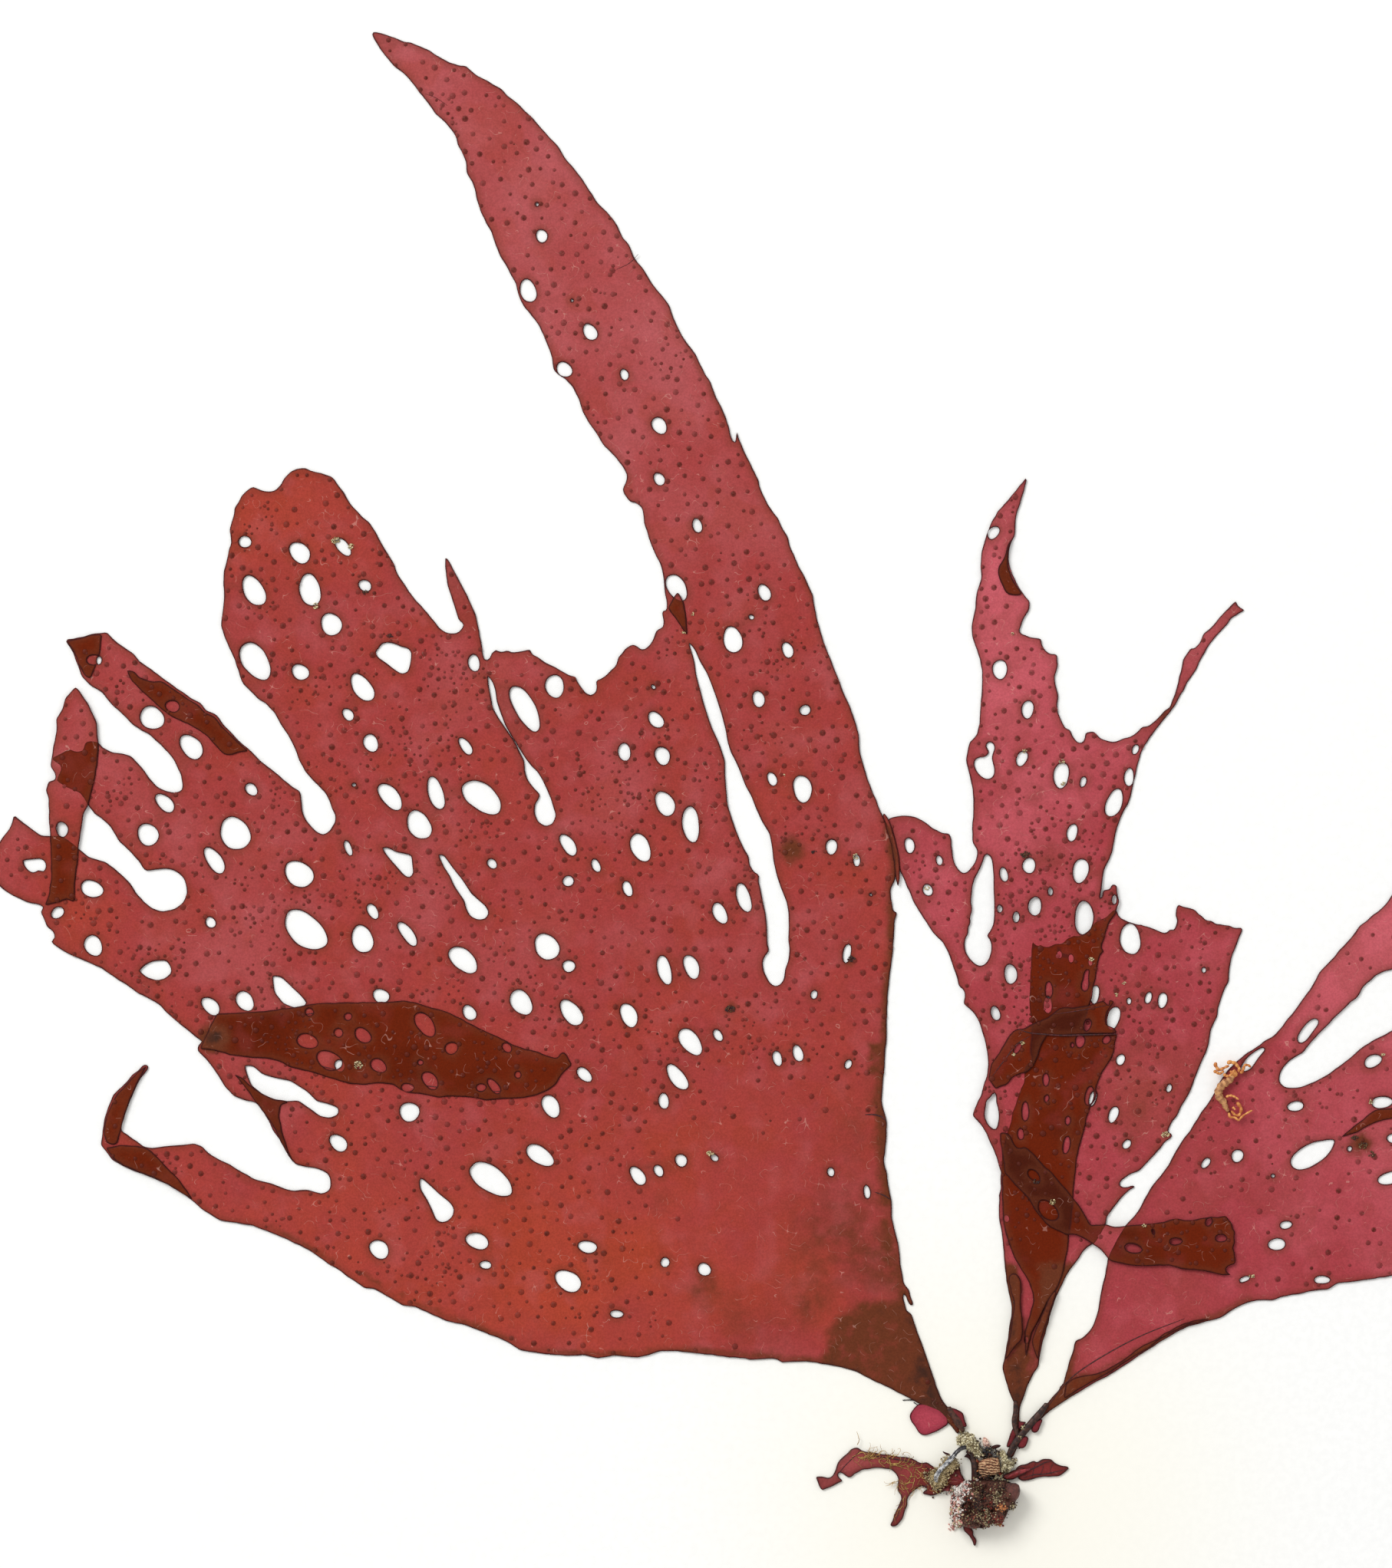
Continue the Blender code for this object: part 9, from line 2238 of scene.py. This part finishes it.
# ---------------------------------------------------------------- finishes of this plant, and its making

RED = BladeFinish("Red blade", (161, 61, 59), (187, 98, 102), (175, 68, 42))
PINK = BladeFinish(
    "Pink blade", (166, 63, 70), (203, 97, 107), (156, 70, 62), double=(104, 32, 8), triple=(72, 25, 12),
)
ROSE = BladeFinish("Rose leaf", (174, 66, 81), (190, 84, 96), (146, 46, 54), stained=(110, 30, 44))
CRIMSON = BladeFinish(
    "Crimson leaf", (130, 46, 54), (154, 70, 78), (112, 44, 40), stained=(88, 36, 36), stem=(56, 30, 28),
)
YOUNG = BladeFinish(
    "Young blade", (128, 42, 42), (170, 80, 80), (92, 34, 28),
    stained=(78, 36, 28), stem=(40, 24, 22), rim=(46, 18, 22), roughness=0.5, gloss=0.12,
)
# CORE, SMOOTH, SAND_CORE and SPONGE_CORE step by rise: painted shade at a mound's foot, painted light on
# top.
CORE = GrainFinish("Holdfast core", ((58, 30, 26), (92, 52, 40)), (24, 14, 14), 1400.0, 0.0003, key="rise")
GRIT = GrainFinish(
    "Holdfast grit",
    (
        (238, 230, 222), (218, 150, 140), (208, 194, 156), (168, 152, 112), (84, 52, 40), (30, 18, 18),
        (136, 52, 42), (208, 132, 80),
    ),
    (60, 40, 32),
)
SMOOTH = GrainFinish(
    "Smooth dark patch", ((66, 32, 28), (92, 48, 40)), (38, 20, 20), 700.0, 0.0001, 0.5, "rise"
)
SAND_CORE = GrainFinish(
    "Sand core", ((120, 104, 74), (150, 134, 98)), (60, 50, 36), 2200.0, 0.0002, key="rise"
)
SAND = GrainFinish(
    "Sand",
    ((216, 206, 168), (196, 184, 146), (232, 224, 194), (168, 158, 122), (112, 98, 74)), (116, 100, 72),
)
SHELL = GrainFinish(
    "Worn barnacle plate", ((50, 28, 22), (160, 102, 76), (210, 172, 132)), (64, 42, 34), 2400.0, 0.0001
)
CHIP = GrainFinish(
    "Worn chip", ((176, 122, 104), (220, 172, 154), (236, 204, 188)), (150, 106, 92), 2400.0, 0.0001
)
SPONGE_CORE = GrainFinish(
    "Sponge core", ((146, 126, 90), (172, 152, 112)), (92, 76, 52), 2400.0, 0.0002, key="rise"
)
CRUMB = GrainFinish(
    "Sponge crumbs", ((196, 178, 136), (166, 144, 102), (216, 200, 160), (108, 88, 62)), (110, 92, 64)
)
CRUST = GrainFinish(
    "Blade crusts",
    ((222, 206, 164), (196, 178, 128), (150, 126, 84), (96, 66, 44), (54, 36, 40)), (80, 58, 40),
)
# Its dark colours are painted shade in the creases and along fold edges.
WRINKLE = StrandFinish("Pressed wrinkles", (96, 34, 34), (52, 22, 24))
FILAMENT = StrandFinish("Yellow filaments", (188, 152, 84), (128, 92, 44))
# The grey is partly the fibres' own colour, partly painted shade between them.
FIBRE = StrandFinish("Pale grey fibres with painted shade", (232, 232, 230), (92, 94, 102))
DARK_FIBRE = StrandFinish("Dark fibres", (70, 66, 70), (24, 22, 26))
DARK_STIPE = StrandFinish("Dark stipe", (82, 46, 34), (40, 22, 18))
RED_STRAND = StrandFinish("Red strands", (150, 48, 52), (88, 24, 30))
SHRIMP_BODY = StrandFinish("Dried shrimp shell", (214, 158, 104), (142, 92, 58), 8.0)
SHRIMP_LIMB = StrandFinish("Dried shrimp limbs", (232, 166, 94), (186, 106, 50), 4.0)

LEFT = LeftFrond(
    "frond_left",
    "blade",
    RED,
    casts=(
        (-62, 190, 45, 0.45), (-88, 223, 14, 0.35), (-60, 90, 30, 0.05), (-108, 155, 13, -0.55),
        (-45, 55, 24, -0.15), (-80, 33, 26, -0.3), (-142, 115, 12, 0.35), (-62, 37, 14, -0.4),
        (-106, 42, 14, -0.2), (-118, 92, 18, 0.12), (-140, 92, 9, -0.2), (-28, 33, 8, -0.35),
        (-41, 32, 5, -0.3), (-54, 39, 5, -0.3),
    ),
    stains=(
        (-6, 14, 5, 0.9), (-9, 20, 5, 0.35), (-15, 36, 7, 0.35), (-25, 44, 9, 0.3), (-19, 60, 8, 0.35),
        (-38, 27, 6, 0.25), (-30, 101, 2.2, 1.1), (-50, 47, 3, 0.35), (-60, 38, 3, 0.35),
        (-27, 30, 3, 0.3), (-44, 33, 3, 0.35),
        (-32.7, 34.9, 2, 0.25), (-27.4, 38.9, 4, 0.16), (-26.4, 32.9, 3.2, 0.2), (-30.1, 27.2, 5, 0.2),
        (-39.1, 30.2, 4, 0.16), (-43.1, 33.2, 2.8, 0.25), (-20.7, 42.9, 4.3, 0.14), (-16, 37.2, 3, 0.16),
        (-22, 37, 12, 0.12), (-39.4, 76.4, 1.2, 0.8), (-21, 84, 1, 0.9), (-119.4, 72, 2.2, 1.7),
    ),
    # All but the short line at x -17.5 follow margins: painted shade where the margin curls, partly its own
    # colour.
    lines=(
        (
            "-14.9 47 -15.6 54 -15.8 61 -15.5 67 -15.2 74 -14.9 80 -14.2 86 -14.3 93 -13.9 99 -14.8 104",
            1.0, 0.85,
        ),
        ("-17.5 66.5 -17.4 71.2", 0.5, 0.9), ("-15.6 46 -14.9 40 -13 33", 0.8, 0.4),
        ("-12.2 32 -11 28 -9.4 23 -7.6 18 -6 14.6", 0.9, 0.6),
        ("-19 20 -24 21.6 -31 22.4 -44 23.4 -56 23 -66 23.2 -76 26 -88 31 -100 37 -112 43.5", 0.55, 0.6),
        ("-22 127 -26 139 -32 153 -39 166 -46 179", 0.5, 0.4),
    ),
    pools=(
        (
            """-26.6 18 -25 21.4 -24.7 23.2 -24.2 25.9 -22.3 28.9 -19.2 30.8 -12 30.8
            -9 31 -2 16 -3 8 -10 14 -20 17""", 1.1, 0.8,
        ),
    ),
    bare=((-36, 38, 19, 1.2), (-20, 28, 14, 1.2), (-22, 55, 12, 0.8), (-45, 55, 10, 0.4), (-95, 38, 8, 0.4)),
    crusts=(
        (-100.5, 149, 0.7, 0.2), (-98.2, 148.1, 0.5, 0.1), (-103.7, 138.9, 0.5, 0.2), (-42.5, 54, 0.6, 0.2),
        (-20, 100, 0.45, 0.1), (-92.2, 134.2, 0.5, 0.85), (-96, 141, 0.5, 0.85), (-39.4, 76.4, 0.8, 0.9),
        (-20.6, 84.2, 0.6, 0.95), (-26.4, 100.7, 0.4, 0.95), (-97, 67.7, 0.7, 0.15),
        (-45.2, 137.6, 0.35, 0.2), (-46.5, 134.8, 0.35, 0.2), (-31, 112.6, 0.2, 0.2), (-8.9, 95.1, 0.4, 0.1),
    ),
    creases=(
        ("-18.5 60 -17.2 60 -16 59.7 -15.2 59", 0.14), ("-17 48 -15.6 47.5 -14.5 46.8", 0.12),
        ("-116.8 74.2 -110 74.9 -103 75.8 -96 76.1 -90 76.2 -84 75", 0.1),
        ("-118 70.8 -111 70 -103 67.6 -96 66 -90 65 -84 64.2 -76 63.6 -69 64.6", 0.1),
        ("-121.2 70.4 -119.6 73 -117.2 75.2", 0.16), ("-66.4 65.6 -65.4 67 -64.6 68.6", 0.16),
        ("-86.6 218.2 -85 217.6 -83.2 216.4", 0.05), ("-57 191 -55 192 -53.6 193.4", 0.05),
        ("-141.9 124.6 -142.6 120 -143.2 114 -143.6 108 -143.6 100", 0.07),
    ),
    wart_cell=2.55,
    seed=50,
)
MIDDLE = MiddleFrond(
    "frond_middle",
    "blade_pink",
    PINK,
    casts=(
        (2, 140, 24, 0.8), (8, 108, 14, 0.25), (33, 135, 12, 0.5), (28, 66, 9, -0.45), (24, 60, 5, -0.4),
        (-9, 98, 8, 0.25), (33, 86, 8, 0.1),
    ),
    stains=(
        (4.5, 11, 5, 1.6), (5, 18, 4, 0.4), (8, 110, 3, 0.4), (10, 100, 3, 0.4), (24, 71, 2.5, 0.4),
        (23, 58, 3, 0.4), (24, 62, 2, 0.3), (30, 85, 2, 0.3), (8, 36, 7, 0.2), (28, 123, 3, 0.7),
    ),
    pools=(
        ("1 37 4.8 37 5.4 32 5.2 27 4.4 24 0 24", 0.6, 0.95),
        ("0 28.5 11 28.5 9 20 6.4 12 2.6 12", 1.2, 0.5),
        ("8.4 37 14 37 11 25 8.6 27", 0.6, 0.7),
    ),
    # Stipe line, its own dark colour; front blade's right margin line: painted shade, partly the margin's
    # own colour.
    lines=(("4.6 8 4.9 13 4.2 19 5.6 23", 1.2, 0.6), ("23.4 112 22 106 20 101 18.6 96", 0.4, 0.6)),
    bare=((7, 30, 11, 1.3), (5.5, 18, 8, 1.3), (34, 132, 8, 0.7)),
    crusts=(
        (6.2, 116.4, 0.35, 0.2), (12, 114.7, 0.45, 0.1), (12.2, 111.3, 0.4, 0.2), (16.5, 84.2, 0.5, 0.1),
        (5.8, 71.1, 0.35, 0.2), (4.5, 69.4, 0.35, 0.2), (10.5, 46.5, 0.55, 0.3), (28, 56.9, 0.6, 0.2),
        (24.7, 42.9, 0.4, 0.2), (27.2, 45.1, 0.3, 0.2), (35.9, 47.2, 0.4, 0.2), (39, 34.6, 0.4, 0.2),
        (20.4, 78.6, 0.3, 0.1), (21.6, 80.4, 0.3, 0.1), (20.5, 28.8, 0.3, 0.2), (4.3, 134.5, 0.3, 0.2),
        (6.3, 100.3, 0.8, 0.85), (8, 49.7, 0.5, 0.9), (4.7, 31, 0.3, 0.9), (4.6, 33.4, 0.25, 0.1),
    ),
    creases=(
        ("5.1 73.3 7 72.7 9 72.5 12 72.3 16 72.4 20.6 72.5", 0.14), ("1.2 66 3 68.4 5 70.9 7 72.2", 0.09),
        ("10.6 75.6 13 75.9 16 76.4 19 77", 0.08),
    ),
    wart_cell=2.3,
    seed=54,
)
RIGHT = RightFrond(
    "frond_right",
    "blade_pink",
    PINK,
    casts=((60, 88, 17, 1.0), (50, 45, 22, 0.1), (25, 30, 14, -0.15), (66, 55, 14, 0.4), (36, 60, 6, -0.2)),
    stains=((7.5, 12.8, 4, 1.9), (11, 17.5, 4, 0.9), (58.5, 55.5, 2.2, 0.9), (48, 68, 3, 0.25)),
    # Both lines follow margins, the second the folded lower one: painted shade, partly the margin's own
    # colour.
    lines=(("9 15.6 13 20 14 24.6", 0.7, 0.5), ("15 18.8 24 23.6 33 27.6 41 31.4", 0.7, 0.6)),
    bare=((25, 32, 14, 1.2), (10, 18, 9, 1.3), (38, 36, 9, 0.8), (57, 85, 12, 0.6), (60, 42, 10, 0.4)),
    crusts=(
        (41.4, 34.95, 0.45, 0.2), (61.7, 69.3, 0.35, 0.1), (59.9, 62, 0.4, 0.2), (57.4, 56.4, 0.6, 0.75),
        (58.6, 55.2, 0.7, 0.7), (60, 53.8, 0.6, 0.75),
    ),
    creases=(("9.5 14.4 13 18.8 17.4 22 24 25.6 31 28.4", 0.1),),
    wart_cell=3.3,
    seed=52,
)
FRILL_BLADELET = Bladelet(
    "bladelet_left",
    "young_blade",
    YOUNG,
    casts=(
        (-20.5, 6.6, 4, 0.7), (-24.5, 3, 2.5, 0.5), (-12.5, -1, 2.5, 0.35), (-15, 4.5, 4, 0.3),
        (-6, 3, 3, -0.4),
    ),
    creases=(
        ("-22.6 4.4 -21.6 5.6 -20.4 6.8 -19.4 7.8", 0.08), ("-17.6 7.2 -15 6.8 -12.4 6.4 -10 5.8", 0.12),
        ("-13 1.4 -12.8 0 -13.2 -1.6 -13.9 -3", 0.1), ("-9.6 2.2 -8.4 2.8 -7 3.2 -5.4 3.2", 0.14),
        ("-9.2 5.6 -8 4.4 -6.6 3.6", 0.14),
    ),
    outline=FRILL,
    seed=56,
)
SPINDLE_BLADELET = Bladelet(
    "bladelet_right",
    "young_blade",
    YOUNG,
    casts=((9, 5, 2, 0.2), (6, 4.4, 2, -0.4), (11, 5, 1.6, 0.1)),
    creases=(
        ("5.2 4.4 6.6 4.8 8 5.4 9.4 6.1 10.4 6.3", 0.12), ("6 3.7 7.6 4.2 9.2 4.3 10.8 4.6 12.6 5", 0.1),
        ("8.6 4.1 9 5 9.2 6.2", 0.07), ("10.4 4.2 10.2 5 10.6 6", 0.08), ("7.4 3.9 7.6 4.9 7.9 6", 0.07),
    ),
    outline=SPINDLE,
    seed=58,
)
STIPES = Strands(
    "base_stipes",
    "holdfast",
    (
        ("9.6 15.2 8.6 13.8 7.4 12.4 6.2 11 5 9.5 4.2 8.2 3.6 7", 0.62, 0.8),
        ("4.75 15.6 4.8 14 4.6 12.6 4.9 11 5.3 9.8", 0.46, 0.7),
        ("-5.6 14.6 -4.8 13.4 -4 12.2 -3.3 11", 0.62, 0.7),
        ("-2 7.9 -1.9 7 -1.6 6 -1.4 5 -1.3 3.9", 0.5, 1.0), ("-2.8 7.7 -2.1 7.9 -1.7 7.4", 0.4, 1.1),
    ),
)
RED_STRANDS = Strands(
    "base_red_strands",
    "holdfast",
    (
        ("-6.2 5.2 -5.2 4.8 -4.2 4.2 -3.4 3.4", 0.2, 0.8), ("-6 3.9 -5 3.6 -4 3.4 -3.2 3.1", 0.16, 0.7),
        ("3.4 3.7 4.4 4.3 5.6 4.7 7 5.1", 0.3, 0.9),
        ("-6.8 1.9 -5.8 2 -4.8 1.7", 0.3, 0.7),
    ),
)
MATS = (
    (FILAMENT, "bladelet_left_filaments", "young_blade", (
        Tangle(
            "-20 7.4 -17 6.9 -14 6.2 -11.5 5.4 -9.4 4",
            70, 0.55, (0.8, 2.6), (0.035, 0.075), 0.62, 90, 0.9, 0.6,
        ),
        Tangle(
            "-13.6 3.4 -13 2.2 -11.6 2.6 -10.4 2.4", 26, 0.4, (0.8, 2.4), (0.03, 0.06), 0.62, 91, 0.9, 1.2
        ),
        Tangle("-12.4 1.4 -12.8 -0.4 -13.4 -2", 8, 0.16, (1.0, 2.4), (0.03, 0.05), 0.6, 92, 0.5, 0.4),
        Tangle("-21.4 7 -18.6 6.8", 9, 0.3, (1.2, 3.0), (0.03, 0.05), 0.6, 93, 0.5, 0.4),
        Tangle("-8.6 2.6 -7 3.4 -5.4 5.4", 14, 0.6, (0.5, 1.4), (0.03, 0.06), 1.5, 94, 0.9, 1.4),
    )),
    (DARK_FIBRE, "holdfast_dark_fibres", "holdfast", (
        Tangle("-13 15.7 -12 15.75 -10.3 15.1", 3, 0.05, (1.4, 2.4), (0.06, 0.1), 0.1, 97, 0.1, 0.05),
        Tangle(
            "-2.3 9.3 -1.7 9 -1.2 8.5 -0.4 8.2 0.2 7.9 1 7.3 1.4 7.4",
            44, 0.22, (0.25, 0.6), (0.05, 0.12), 1.1, 98, 0.9, 1.5,
        ),
    )),
)


def main() -> None:
    """Builds the plant's parts in order, then the stage."""
    logging.basicConfig(level=logging.INFO, format="%(message)s")
    LEFT.build()
    RIGHT.sheets()
    MIDDLE.build(RIGHT.blade)
    RIGHT.build()
    FRILL_BLADELET.build()
    SPINDLE_BLADELET.build()
    Holdfast().build()
    GrainClump("sand_left", SAND_LEFT, 2.2, seed=70).build(SAND_CORE, SAND)
    GrainClump("sand_right", SAND_RIGHT, 2.6, seed=75).build(SAND_CORE, SAND)
    sponge = GrainClump("sponge_crust", SPONGE, 1.0, "sponge", 900, (0.07, 0.17), 0.9, 0.25, 80)
    sponge.build(SPONGE_CORE, CRUMB)
    ShellPlate("barnacle_plate", BARNACLE_PLATE, 2.0, 0.4, 0.16, 84).build(SHELL)
    ShellPlate("shell_chip", SHELL_CHIP, 0.9, 0.5, 0.05, 86).build(CHIP)
    Crumbs().build()
    Tuft().build()
    STIPES.build(DARK_STIPE)
    RED_STRANDS.build(RED_STRAND)
    Shrimp().build()
    for finish, name, slot, mats in MATS:
        gathered([mat.build() for mat in mats]).place(name, finish.material(), slot)
    Stage().build()


if __name__ == "__main__":
    main()
